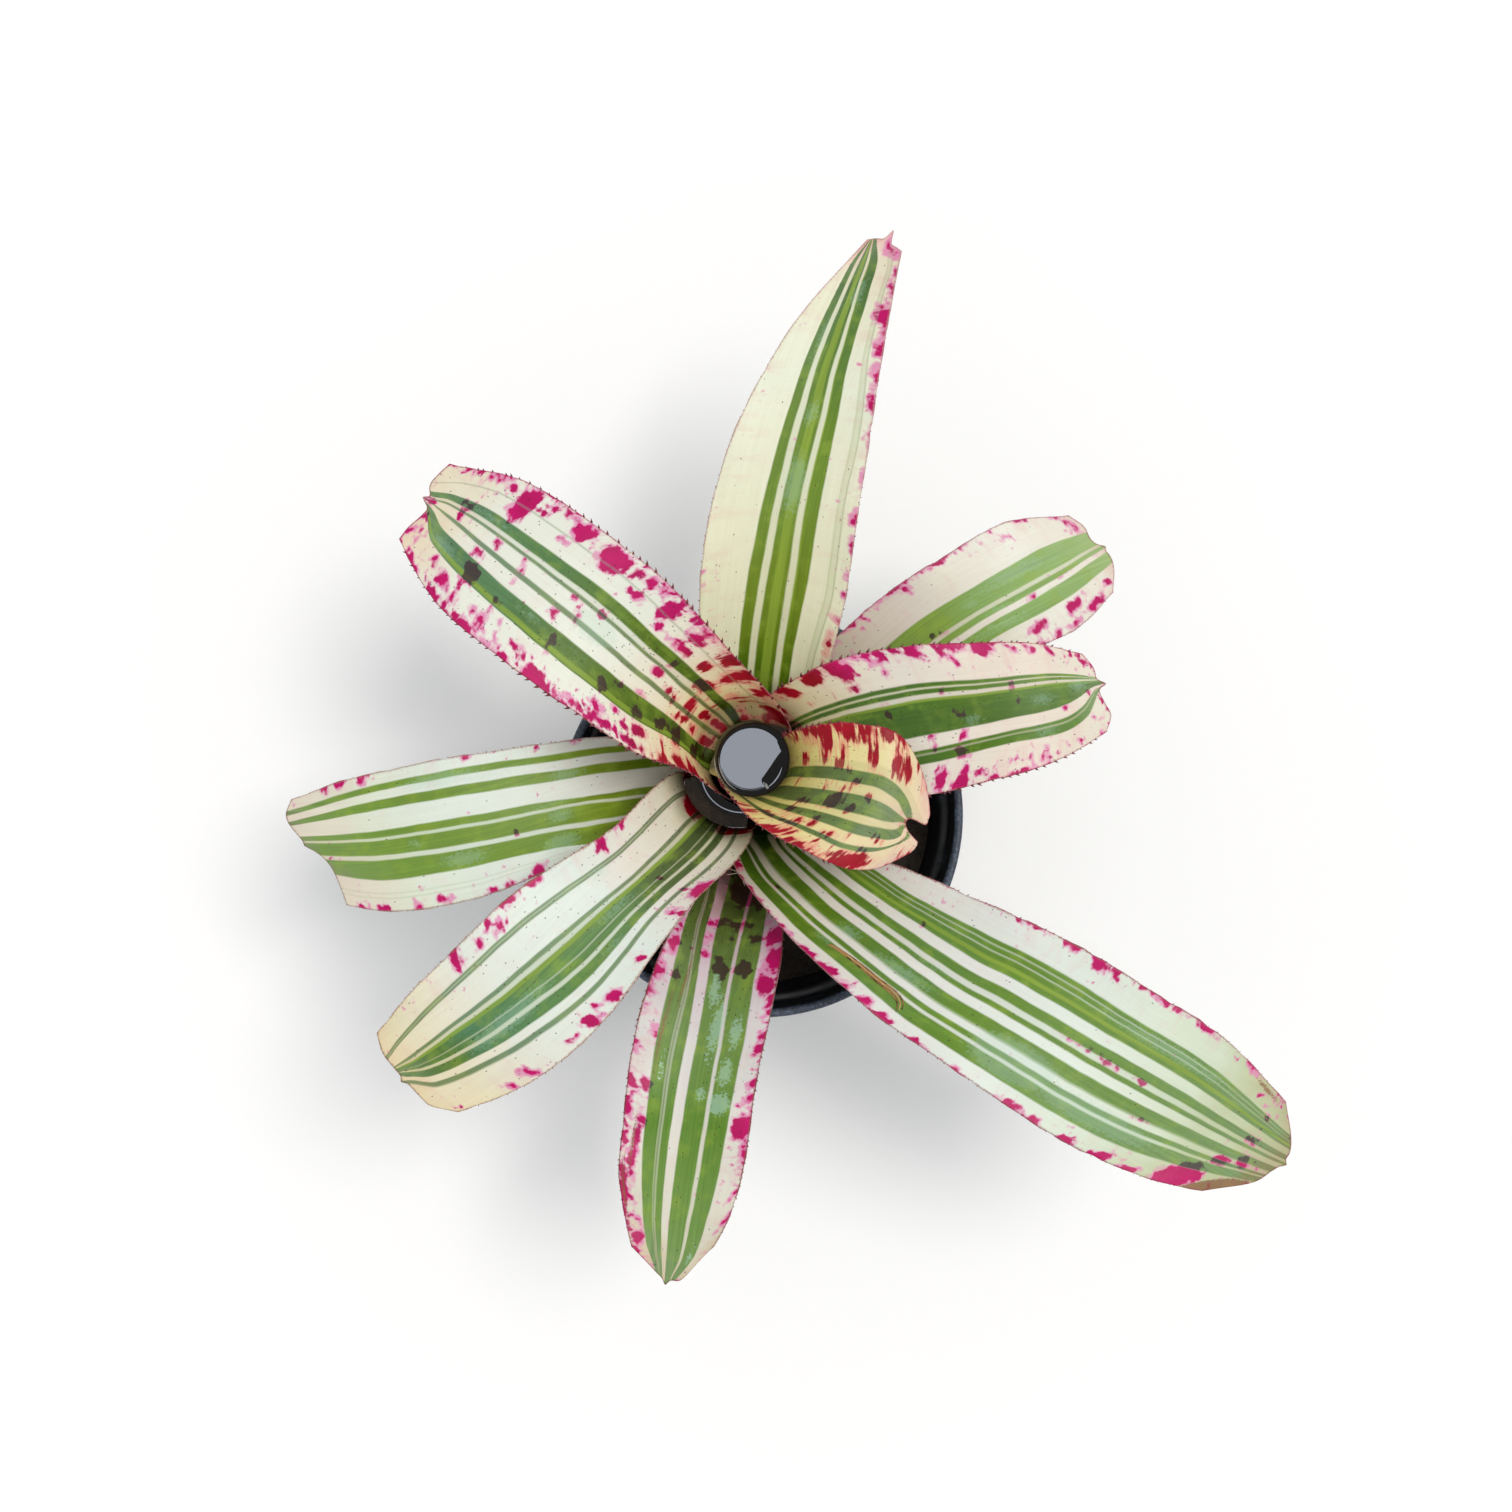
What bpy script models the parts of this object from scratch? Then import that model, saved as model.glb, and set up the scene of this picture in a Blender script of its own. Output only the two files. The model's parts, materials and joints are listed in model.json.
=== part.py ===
"""Neoregelia bromeliad with banded leaves, growing in a round nursery pot.

The pot stands at the origin on its flat underside. The rosette grows from a short stem a little
off the pot's centre and leans slightly towards +Y. Nine leaves are numbered from the innermost
out. Each one lies on its own vase-shaped surface round the stem, wider and lower than the vase
of the leaf inside it, so that the sheaths nest and hold water in the middle.
"""

import math
from dataclasses import dataclass

import bmesh
import bpy
import numpy as np
from mathutils import Vector

MM = 0.001
COLLECTION_NAME = "neoregelia_in_pot"
SEAT_GAP = 0.3

# Pot, in millimetres
POT_HEIGHT = 120.0
POT_RIM_RADIUS = 78.0
POT_FOOT_RADIUS = 56.0
POT_WALL = 1.6
POT_FLOOR = 2.4
FLOOR_ROUNDING = 2.0
RIM_BAND_DEPTH = 19.0
RIM_LIP_WIDTH = 3.4
RIM_LEDGE_WIDTH = 4.0
POT_SEGMENTS = 60
DRAIN_HOLES = 6
DRAIN_HOLE_RADIUS = 4.5
DRAIN_CIRCLE_RADIUS = 42.0

# Potting mix and stem, in millimetres
MIX_LEVEL = 88.0
MIX_CROWN = 1.0
MIX_SEGMENTS = 48
STEM_RADIUS = 9.0
STEM_HEIGHT = 27.0
STEM_BURIED = 26.0
STEM_SEGMENTS = 28

# Rosette, in millimetres
ROSETTE_FOOT = Vector((-1.5, 12.0, MIX_LEVEL))
CUP_CENTRE = Vector((-3.4, 21.6, 150.0))
SHEATH_HALF_TURN = 97.0

# Water in the cup, in millimetres and degrees; below, the ring's place from the stem to the level
CUP_SPOKES = 36
CUP_LAYERS = (1.0, 0.9, 0.7, 0.45, 0.2, 0.0)
CUP_FLOOR = STEM_HEIGHT + 3.0
CHORD_ALLOWANCE = 1.0
SHEATH_EDGE_CLEARANCE = 4.0
SHEATH_EDGE_BLEND = 10.0

# Water between leaf_04 and leaf_02, in millimetres; widths as shares across the outer leaf
POOL_LEVEL = 141.0
POOL_DEPTH = 11.0
POOL_LAYERS = (0.0, 0.25, 0.6, 1.0)
POOL_HALF_WIDTH = 0.8
POOL_STEPS = 15
POOL_REACH = 35.0
FACET_ALLOWANCE = 0.5

# Leaf blades, in millimetres
BLADE_THICKNESS = 0.9
BLADE_COLUMNS = 8
SHEATH_ROWS = 7
BLADE_ROWS = 22
SPINE_LENGTH = 1.6
SPINE_WIDTH = 1.7
SPINE_LEAN = 0.7
MUCRO_WIDTH = 2.2

# Stations along the blade (0 at the sheath's top, 1 at the tip) and across it (-1 to 1)
BEARING_STATIONS = (0.0, 0.2, 0.45, 0.72, 1.0)
WIDTH_STATIONS = (0.0, 0.12, 0.3, 0.6, 0.85, 1.0)
TIP_STATIONS = (-1.0, -0.7, -0.25, 0.0, 0.25, 0.7, 1.0)
CHANNEL_STATIONS = (0.0, 0.12, 0.3, 0.6, 1.0)


@dataclass(frozen=True)
class LeafShape:
    """One leaf, in millimetres and degrees.

    rise: distance from the stem's axis and height over the mix, from the root of the sheath
        to the tip; the third point is the top of the sheath.
    bearings: compass bearing of the midline, counter-clockwise from +X.
    half_widths: from the midline to a margin.
    tip_cut: how far the end stays short of the full length, across the leaf.
    channel: how far the margins are raised above the midline.
    wave: height and length of the ripples along the margins.
    mucro: length of the point at the leaf's end.
    mucro_place: where the point stands, across the leaf.
    """

    name: str
    rise: tuple
    bearings: tuple
    half_widths: tuple
    tip_cut: tuple
    channel: tuple
    wave: tuple
    mucro: float
    mucro_place: float = 0.0


LEAVES = (
    LeafShape(
        name="leaf_01",
        rise=((10, 24), (13.6, 29), (14.4, 60), (19, 76), (32, 90), (48, 95), (68.5, 89)),
        bearings=(300, 313, 328, 335, 333),
        half_widths=(22.5, 23.5, 24.5, 26.5, 24.5, 12),
        tip_cut=(5, 1, 0, 9, 1, 0.5, 4),
        channel=(1.5, 3, 1, -2),
        wave=(0.4, 23),
        mucro=1.5,
    ),
    LeafShape(
        name="leaf_02",
        rise=((10, 21.3), (15.6, 27), (16.6, 58), (21, 70), (34, 85), (60, 100), (100, 107), (149.5, 98)),
        bearings=(122, 142, 143, 143, 142.5),
        half_widths=(35, 28, 29, 29.5, 25.5, 15),
        tip_cut=(1, 0.5, 1.5, 6, 6, 4.5, 4.5),
        channel=(3, 4, 2, 1),
        wave=(0.6, 31),
        mucro=4.5,
    ),
    LeafShape(
        name="leaf_03",
        rise=((10, 18.6), (17.4, 24.7), (18.8, 52), (23.5, 62), (36, 72), (60, 81), (95, 85), (131, 78)),
        bearings=(17, 12.5, 10, 9, 9.5),
        half_widths=(25, 27, 29.5, 26.5, 20.5, 13),
        tip_cut=(3, 0.5, 2, 3, 3.5, 3.5, 6),
        channel=(3, 4, 3, 1),
        wave=(0.8, 34),
        mucro=3.5,
        mucro_place=0.25,
    ),
    LeafShape(
        name="leaf_04",
        rise=((10, 15.9), (19.2, 22.5), (22, 42), (30, 53), (45, 64), (75, 78), (120, 84), (170, 72)),
        bearings=(228, 230, 228, 227, 223.5),
        half_widths=(19.5, 23, 21.5, 28, 25.5, 19),
        tip_cut=(3, 0.5, 0, 0, 0, 0.5, 6),
        channel=(5, 6, 3, 1),
        wave=(0.8, 38),
        mucro=1.5,
    ),
    LeafShape(
        name="leaf_05",
        rise=((10, 13.2), (20.8, 20.3), (24, 36), (31, 46), (45, 56), (75, 71), (130, 86), (196, 90)),
        bearings=(84, 83, 82, 79, 75),
        half_widths=(26, 26, 28.5, 24.5, 14.5, 6),
        tip_cut=(3, 2, 1, 0, 0, 0.5, 2),
        channel=(3, 4, 3, 2),
        wave=(0.6, 44),
        mucro=4.5,
    ),
    LeafShape(
        name="leaf_06",
        rise=((10, 10.5), (22.4, 18), (26, 30), (33, 39), (47, 49), (80, 64), (140, 73), (239.5, 58)),
        bearings=(276, 300, 313.5, 319, 322.5),
        half_widths=(20.5, 21, 27, 31.5, 28, 16),
        tip_cut=(16.5, 6, 1.5, 0, 0, 5, 12),
        channel=(4, 5, 3, 1),
        wave=(0.8, 41),
        mucro=1.5,
    ),
    LeafShape(
        name="leaf_07",
        rise=((10, 7.8), (24, 15.6), (28, 25), (35, 33), (49, 43), (75, 55), (115, 61), (176.5, 50)),
        bearings=(184, 188.5, 193, 193, 190),
        half_widths=(23, 18.5, 21.5, 27, 24.5, 17),
        tip_cut=(2.5, 0, 3.5, 7.5, 13.5, 17, 17.5),
        channel=(3, 4, 3, 1),
        wave=(0.8, 36),
        mucro=1.5,
    ),
    LeafShape(
        name="leaf_08",
        rise=((10, 5.1), (25.6, 13), (30, 20), (37, 28), (50, 38), (75, 51), (110, 60), (155, 58)),
        bearings=(35, 34, 35.5, 33.5, 31.5),
        half_widths=(28, 25, 24, 23, 23.5, 14.5),
        tip_cut=(6, 2, 0, 1, 2.5, 2, 4),
        channel=(3, 3, 2, 1),
        wave=(0.6, 33),
        mucro=1.5,
    ),
    LeafShape(
        name="leaf_09",
        rise=((10, 2.4), (27, 9.6), (32, 15), (39, 22), (52, 31), (75, 41), (120, 49), (192, 38)),
        bearings=(270, 263, 259.5, 260, 260.5),
        half_widths=(21.5, 17.5, 22.5, 23.5, 20, 9.5),
        tip_cut=(10, 5.5, 1, 0, 0, 3, 15),
        channel=(3, 4, 3, 2),
        wave=(1.2, 29),
        mucro=2.0,
    ),
)


def knot_curve(stations, values, x, tight=False):
    """Read a smooth curve through the knots; a tight one never swings past a knot."""
    stations = np.asarray(stations, dtype=float)
    values = np.asarray(values, dtype=float)
    step = np.diff(stations)
    slope = np.diff(values) / step
    tangent = np.empty(len(stations))
    tangent[0] = slope[0]
    tangent[-1] = slope[-1]
    tangent[1:-1] = (slope[:-1] * step[1:] + slope[1:] * step[:-1]) / (step[:-1] + step[1:])
    if tight:
        limit = 2.2 * np.minimum(abs(slope[:-1]), abs(slope[1:]))
        turning = slope[:-1] * slope[1:] <= 0.0
        tangent[1:-1] = np.where(turning, 0.0, np.clip(tangent[1:-1], -limit, limit))
    x = np.clip(x, stations[0], stations[-1])
    i = np.clip(np.searchsorted(stations, x, side="right") - 1, 0, len(step) - 1)
    q = (x - stations[i]) / step[i]
    start = (2 * q**3 - 3 * q**2 + 1) * values[i] + (q**3 - 2 * q**2 + q) * step[i] * tangent[i]
    end = (3 * q**2 - 2 * q**3) * values[i + 1] + (q**3 - q**2) * step[i] * tangent[i + 1]
    return start + end


class LeafSurface:
    """The middle surface of one leaf, in the rosette's own frame."""

    SAMPLES = 200

    def __init__(self, shape):
        self.shape = shape
        rise = np.asarray(shape.rise, dtype=float)
        chord = np.concatenate(([0.0], np.cumsum(np.hypot(*np.diff(rise, axis=0).T))))
        along = np.linspace(0.0, chord[-1], self.SAMPLES)
        self.radius = knot_curve(chord, rise[:, 0], along, tight=True)
        self.height = knot_curve(chord, rise[:, 1], along, tight=True)
        steps = np.hypot(np.diff(self.radius), np.diff(self.height))
        self.path = np.concatenate(([0.0], np.cumsum(steps)))
        self.length = self.path[-1]
        self.sheath_length = float(np.interp(chord[2], along, self.path))
        turn = math.radians(SHEATH_HALF_TURN)
        blade_length = self.length - self.sheath_length
        blade_stations = [self.sheath_length + blade_length * w for w in WIDTH_STATIONS]
        self.width_stations = [0.0, 0.55 * self.sheath_length, *blade_stations]
        self.widths = [turn * rise[0, 0], turn * 0.97 * rise[1, 0], *shape.half_widths]

    def points(self, row, across):
        """Return positions for distances along the midline and shares across the leaf."""
        shape = self.shape
        blade_length = self.length - self.sheath_length
        row_share = np.clip((row - self.sheath_length) / blade_length, 0.0, 1.0)
        s = row - knot_curve(TIP_STATIONS, shape.tip_cut, across) * row_share**2
        radius = np.interp(s, self.path, self.radius)
        height = np.interp(s, self.path, self.height)
        climb = np.interp(s, self.path, np.gradient(self.height, self.path))
        reach = np.interp(s, self.path, np.gradient(self.radius, self.path))
        slope = np.arctan2(climb, reach)
        share = np.clip((s - self.sheath_length) / blade_length, 0.0, 1.0)
        bearing = np.radians(knot_curve(BEARING_STATIONS, shape.bearings, share))
        half_width = knot_curve(self.width_stations, self.widths, s)
        angle = bearing + across * half_width / radius
        lift = knot_curve(CHANNEL_STATIONS, (0.0, *shape.channel), share) * across**2
        wave_height, wave_length = shape.wave
        ripple = np.sin(2 * math.pi * s / wave_length + 1.3 * np.sign(across))
        lift = lift + wave_height * ripple * abs(across) ** 3 * np.clip(4 * share, 0.0, 1.0)
        outward = radius - np.sin(slope) * lift
        upward = height + np.cos(slope) * lift
        return np.stack((outward * np.cos(angle), outward * np.sin(angle), upward), axis=-1)


def new_material(name, colour, roughness, metallic=0.0):
    """Return a plain Principled material."""
    material = bpy.data.materials.new(name)
    material.use_nodes = True
    shader = material.node_tree.nodes["Principled BSDF"]
    shader.inputs["Base Color"].default_value = (*colour, 1.0)
    shader.inputs["Roughness"].default_value = roughness
    shader.inputs["Metallic"].default_value = metallic
    material.diffuse_color = (*colour, 1.0)
    return material


def add_object(name, mesh, collection, material=None, parent=None):
    """Link a mesh as a named object; with a parent, it sits in the parent's frame."""
    obj = bpy.data.objects.new(name, mesh)
    collection.objects.link(obj)
    if material is not None:
        mesh.materials.append(material)
    obj.parent = parent
    return obj


def add_turned(name, profile, segments, collection, material=None, parent=None):
    """Turn a profile of (radius, height) points in millimetres round the Z axis.

    The profile starts and ends on the axis and runs down the outer side.
    """
    mesh = bpy.data.meshes.new(name)
    verts = [(r * MM, 0.0, z * MM) for r, z in profile]
    edges = [(i, i + 1) for i in range(len(verts) - 1)]
    mesh.from_pydata(verts, edges, [])
    obj = add_object(name, mesh, collection, material, parent)
    screw = obj.modifiers.new("turn", "SCREW")
    screw.steps = segments
    screw.render_steps = segments
    screw.use_merge_vertices = True
    screw.merge_threshold = 0.00001
    screw.use_normal_calculate = True
    return obj


def add_loft(name, rings, collection, material, parent=None):
    """Join rings of points (in millimetres, counter-clockwise, top ring first) into a solid."""
    bm = bmesh.new()
    layers = []
    for ring in rings:
        layers.append([bm.verts.new(Vector(point) * MM) for point in ring])
    count = len(layers[0])
    for upper, lower in zip(layers, layers[1:]):
        for i in range(count):
            j = (i + 1) % count
            bm.faces.new((upper[j], upper[i], lower[i], lower[j]))
    bm.faces.new(layers[0])
    bm.faces.new(reversed(layers[-1]))
    mesh = bpy.data.meshes.new(name)
    bm.to_mesh(mesh)
    bm.free()
    return add_object(name, mesh, collection, material, parent)


def pot_inner_radius(height):
    """Return the radius of the pot's inner wall below its ledge."""
    top = POT_RIM_RADIUS - RIM_LIP_WIDTH - RIM_LEDGE_WIDTH
    bottom = POT_FOOT_RADIUS - POT_WALL
    start = POT_FLOOR + FLOOR_ROUNDING
    end = POT_HEIGHT - RIM_BAND_DEPTH
    return bottom + (top - bottom) * (height - start) / (end - start)


def add_pot(collection, cutters, material):
    """Add the pot: a flat foot, a tapered wall, an inner ledge and a wide rim band."""
    ledge_height = POT_HEIGHT - RIM_BAND_DEPTH
    ledge_radius = pot_inner_radius(ledge_height)
    band_radius = POT_RIM_RADIUS - RIM_LIP_WIDTH
    profile = (
        (0.0, POT_FLOOR),
        (POT_FOOT_RADIUS - POT_WALL - FLOOR_ROUNDING, POT_FLOOR),
        (POT_FOOT_RADIUS - POT_WALL, POT_FLOOR + FLOOR_ROUNDING),
        (ledge_radius, ledge_height),
        (ledge_radius + RIM_LEDGE_WIDTH - 0.8, ledge_height + 0.6),
        (band_radius, POT_HEIGHT - 1.2),
        (band_radius + 0.7, POT_HEIGHT - 0.3),
        (band_radius + 1.5, POT_HEIGHT),
        (POT_RIM_RADIUS - 0.8, POT_HEIGHT),
        (POT_RIM_RADIUS, POT_HEIGHT - 0.9),
        (POT_RIM_RADIUS, POT_HEIGHT - 3.5),
        (POT_RIM_RADIUS - 1.4, POT_HEIGHT - 4.2),
        (band_radius + POT_WALL - 0.6, ledge_height - 0.2),
        (band_radius + POT_WALL - 1.0, ledge_height - 1.2),
        (ledge_radius + POT_WALL, ledge_height - 2.6),
        (POT_FOOT_RADIUS, 3.0),
        (POT_FOOT_RADIUS - 1.5, 0.8),
        (POT_FOOT_RADIUS - 3.0, 0.0),
        (0.0, 0.0),
    )
    pot = add_turned("pot", profile, POT_SEGMENTS, collection, material)
    for i in range(DRAIN_HOLES):
        angle = 2 * math.pi * i / DRAIN_HOLES
        bm = bmesh.new()
        bmesh.ops.create_cone(
            bm,
            cap_ends=True,
            segments=14,
            radius1=DRAIN_HOLE_RADIUS * MM,
            radius2=DRAIN_HOLE_RADIUS * MM,
            depth=4 * POT_FLOOR * MM,
        )
        mesh = bpy.data.meshes.new(f"drain_cutter_{i + 1}")
        bm.to_mesh(mesh)
        bm.free()
        cutter = add_object(mesh.name, mesh, cutters)
        x = DRAIN_CIRCLE_RADIUS * math.cos(angle)
        y = DRAIN_CIRCLE_RADIUS * math.sin(angle)
        cutter.location = Vector((x, y, POT_FLOOR / 2)) * MM
        cut_with(pot, cutter)


def cut_with(obj, cutter):
    """Cut one object with a guide object that stays out of the model."""
    cutter.hide_render = True
    cutter.display_type = "WIRE"
    boolean = obj.modifiers.new(cutter.name, "BOOLEAN")
    boolean.operation = "DIFFERENCE"
    boolean.solver = "EXACT"
    boolean.object = cutter


def stem_profile(extra=0.0):
    """Return the stem's outline, top to bottom, in the rosette's frame."""
    return (
        (0.0, STEM_HEIGHT + extra),
        (0.55 * STEM_RADIUS + extra, STEM_HEIGHT - 1.2 + extra),
        (0.88 * STEM_RADIUS + extra, STEM_HEIGHT - 3.6 + extra),
        (STEM_RADIUS + extra, STEM_HEIGHT - 7.0),
        (STEM_RADIUS + extra, -0.7 * STEM_BURIED),
        (0.7 * STEM_RADIUS + extra, -STEM_BURIED - extra),
        (0.0, -STEM_BURIED - extra),
    )


def add_mix(collection, cutters, rosette, material):
    """Add the potting mix, slightly crowned, with a plain hole for the stem."""
    gap = SEAT_GAP
    floor = POT_FLOOR + gap
    profile = (
        (0.0, MIX_LEVEL + MIX_CROWN),
        (0.45 * POT_FOOT_RADIUS, MIX_LEVEL + 0.8 * MIX_CROWN),
        (POT_FOOT_RADIUS, MIX_LEVEL),
        (pot_inner_radius(MIX_LEVEL - 1.5) - gap, MIX_LEVEL - 1.5),
        (pot_inner_radius(floor + 3.0) - gap, floor + 3.0),
        (POT_FOOT_RADIUS - POT_WALL - 3.0 - gap, floor),
        (0.0, floor),
    )
    mix = add_turned("potting_mix", profile, MIX_SEGMENTS, collection, material)
    hole = add_turned("stem_cutter", stem_profile(gap), STEM_SEGMENTS, cutters, parent=rosette)
    cut_with(mix, hole)


def leaf_rows(surface):
    """Return the distances of the mesh rows from the root, closer together in the sheath."""
    sheath = np.linspace(0.0, surface.sheath_length, SHEATH_ROWS + 1)
    blade = np.linspace(surface.sheath_length, surface.length, BLADE_ROWS + 1)
    return np.concatenate((sheath, blade[1:]))


def add_tooth(bm, edge, tip):
    """Raise a narrow tooth from the middle of a boundary edge."""
    first, last = edge.verts
    length = edge.calc_length()
    share = 0.5 * SPINE_WIDTH * MM / length
    _, foot = bmesh.utils.edge_split(edge, first, 0.5 - share)
    rest = next(e for e in foot.link_edges if last in e.verts)
    rest_share = 2 * share / (0.5 + share)
    _, heel = bmesh.utils.edge_split(rest, foot, rest_share)
    base = next(e for e in foot.link_edges if heel in e.verts)
    point = bm.verts.new(tip)
    if base.link_loops[0].vert == foot:
        bm.faces.new((heel, foot, point))
    else:
        bm.faces.new((foot, heel, point))


def add_spines(bm, grid):
    """Set spines along both margins, on every second row of the blade."""
    for column in (0, BLADE_COLUMNS):
        inner = 1 if column == 0 else BLADE_COLUMNS - 1
        for row in range(SHEATH_ROWS + 1, SHEATH_ROWS + BLADE_ROWS - 1, 2):
            first = grid[row, column]
            last = grid[row + 1, column]
            along = (last.co - first.co).normalized()
            middle = (first.co + last.co) / 2
            inside = (grid[row, inner].co + grid[row + 1, inner].co) / 2
            outward = middle - inside
            outward = (outward - along * outward.dot(along)).normalized()
            tip = middle + (outward * SPINE_LENGTH + along * SPINE_LEAN) * MM
            edge = next(e for e in first.link_edges if last in e.verts)
            add_tooth(bm, edge, tip)


def add_mucro(grid, length, place):
    """Draw the leaf's end out into a short point, at a place across it."""
    column = round((place + 1) / 2 * BLADE_COLUMNS)
    last = SHEATH_ROWS + BLADE_ROWS
    tip = grid[last, column]
    before = grid[last - 1, column]
    forward = (tip.co - before.co).normalized()
    for side in (column - 1, column + 1):
        neighbour = grid[last, side]
        edge = next(e for e in tip.link_edges if neighbour in e.verts)
        bmesh.utils.edge_split(edge, tip, MUCRO_WIDTH * MM / 2 / edge.calc_length())
    tip.co += forward * length * MM


def add_leaf(shape, collection, rosette, material):
    """Add one leaf: a grid laid on its surface, with spines, and given its thickness."""
    surface = LeafSurface(shape)
    rows = leaf_rows(surface)
    bm = bmesh.new()
    bmesh.ops.create_grid(bm, x_segments=BLADE_COLUMNS, y_segments=len(rows) - 1, size=1.0)
    grid = {}
    for vert in bm.verts:
        column = round((vert.co.x + 1) / 2 * BLADE_COLUMNS)
        row = round((vert.co.y + 1) / 2 * (len(rows) - 1))
        across = 2 * column / BLADE_COLUMNS - 1
        grid[row, column] = vert
        vert.co = Vector(surface.points(np.array(rows[row]), np.array(across))) * MM
    add_spines(bm, grid)
    add_mucro(grid, shape.mucro, shape.mucro_place)
    mesh = bpy.data.meshes.new(shape.name)
    bm.to_mesh(mesh)
    bm.free()
    obj = add_object(shape.name, mesh, collection, material, rosette)
    triangulate = obj.modifiers.new("triangles", "TRIANGULATE")
    triangulate.quad_method = "FIXED"
    solidify = obj.modifiers.new("thickness", "SOLIDIFY")
    solidify.thickness = BLADE_THICKNESS * MM
    solidify.offset = 0.0
    return obj


def level_height(rosette_matrix, x, y, level):
    """Return the height in the rosette's frame at which a level plane passes over (x, y)."""
    up = rosette_matrix.to_3x3() @ Vector((0.0, 0.0, 1.0))
    foot = rosette_matrix @ (Vector((x, y, 0.0)) * MM)
    return (level * MM - foot.z) / up.z / MM


def sheath_inner_radius(surface, height):
    """Return the radius of a sheath's inner face at a height in the rosette's frame."""
    rising = np.maximum.accumulate(surface.height)
    return float(np.interp(height, rising, surface.radius)) - BLADE_THICKNESS / 2


def sheath_half_angle(surface, height):
    """Return the angle that a sheath covers to each side of its midline at a height."""
    rising = np.maximum.accumulate(surface.height)
    s = np.interp(height, rising, surface.path)
    half_width = knot_curve(surface.width_stations, surface.widths, s)
    return float(half_width / np.interp(s, surface.path, surface.radius))


def add_tank_water(collection, rosette, surfaces, material):
    """Add the water in the central cup, which the two innermost sheaths hold."""
    inner, outer = surfaces["leaf_01"], surfaces["leaf_02"]
    clear = math.radians(SHEATH_EDGE_CLEARANCE)
    blend = math.radians(SHEATH_EDGE_BLEND)
    middle = math.radians(inner.shape.bearings[0])
    rings = []
    for share in CUP_LAYERS:
        ring = []
        for i in range(CUP_SPOKES):
            angle = 2 * math.pi * i / CUP_SPOKES
            away = abs((angle - middle + math.pi) % (2 * math.pi) - math.pi)
            radius = sheath_inner_radius(inner, CUP_FLOOR)
            for _ in range(3):
                x, y = radius * math.cos(angle), radius * math.sin(angle)
                top = level_height(rosette.matrix_world, x, y, CUP_CENTRE.z)
                height = CUP_FLOOR + (top - CUP_FLOOR) * share
                near = sheath_inner_radius(inner, height)
                far = sheath_inner_radius(outer, height)
                past = away - sheath_half_angle(inner, height) - clear
                mix = min(max(past / blend, 0.0), 1.0)
                radius = near + (far - near) * mix - SEAT_GAP - CHORD_ALLOWANCE
            ring.append((radius * math.cos(angle), radius * math.sin(angle), height))
        rings.append(ring)
    add_loft("tank_water", rings, collection, material, rosette)


def add_axil_water(collection, rosette, surfaces, material):
    """Add the small pool that stands between leaf_04 and the back of leaf_02."""
    trough, back = surfaces["leaf_04"], surfaces["leaf_02"]
    shares = np.linspace(-POOL_HALF_WIDTH, POOL_HALF_WIDTH, POOL_STEPS)
    rows = np.linspace(0.3 * trough.sheath_length, trough.sheath_length + POOL_REACH, 160)
    grid = trough.points(rows[:, None], shares[None, :])
    turn = np.array(rosette.matrix_world.to_3x3())
    foot = np.array(rosette.matrix_world.translation) / MM
    world_height = (grid @ turn.T + foot)[..., 2]
    outer_clearance = BLADE_THICKNESS / 2 + SEAT_GAP + FACET_ALLOWANCE
    inner_clearance = SEAT_GAP + FACET_ALLOWANCE
    rings = []
    for layer in POOL_LAYERS:
        level = POOL_LEVEL - layer * POOL_DEPTH
        outer_ring = []
        inner_ring = []
        for column in range(len(shares)):
            row = np.interp(level, world_height[:, column], rows)
            x, y, z = trough.points(np.array(row), np.array(shares[column]))
            reach = math.hypot(x, y) - outer_clearance
            angle = math.atan2(y, x)
            outer_ring.append((reach * math.cos(angle), reach * math.sin(angle), z))
            wall = sheath_inner_radius(back, z) + BLADE_THICKNESS + inner_clearance
            inner_ring.append((wall * math.cos(angle), wall * math.sin(angle), z))
        rings.append(outer_ring + inner_ring[::-1])
    add_loft("axil_water", rings, collection, material, rosette)


def clear_scene():
    """Remove whatever objects the file holds."""
    for obj in list(bpy.data.objects):
        bpy.data.objects.remove(obj, do_unlink=True)


def new_collection(name):
    """Return a new collection linked to the scene."""
    collection = bpy.data.collections.new(name)
    bpy.context.scene.collection.children.link(collection)
    return collection


def main():
    """Build the potted plant."""
    clear_scene()
    parts = new_collection(COLLECTION_NAME)
    cutters = new_collection("cutters")

    plastic = new_material("black_pot_plastic", (0.02, 0.022, 0.03), 0.42)
    soil = new_material("potting_mix", (0.045, 0.03, 0.02), 0.95)
    stock = new_material("stem_tissue", (0.36, 0.3, 0.14), 0.7)
    water = new_material("tank_water", (0.32, 0.38, 0.45), 0.05)
    pale_leaf = new_material("banded_leaf", (0.5, 0.62, 0.3), 0.38)

    rosette = bpy.data.objects.new("rosette", None)
    parts.objects.link(rosette)
    rosette.location = ROSETTE_FOOT * MM
    lean = Vector((0.0, 0.0, 1.0)).rotation_difference(CUP_CENTRE - ROSETTE_FOOT)
    rosette.rotation_euler = lean.to_euler()
    bpy.context.view_layer.update()

    add_pot(parts, cutters, plastic)
    add_mix(parts, cutters, rosette, soil)
    add_turned("stem", stem_profile(), STEM_SEGMENTS, parts, stock, rosette)
    surfaces = {}
    for shape in LEAVES:
        surfaces[shape.name] = LeafSurface(shape)
        add_leaf(shape, parts, rosette, pale_leaf)
    add_tank_water(parts, rosette, surfaces, water)
    add_axil_water(parts, rosette, surfaces, water)


main()
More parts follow.
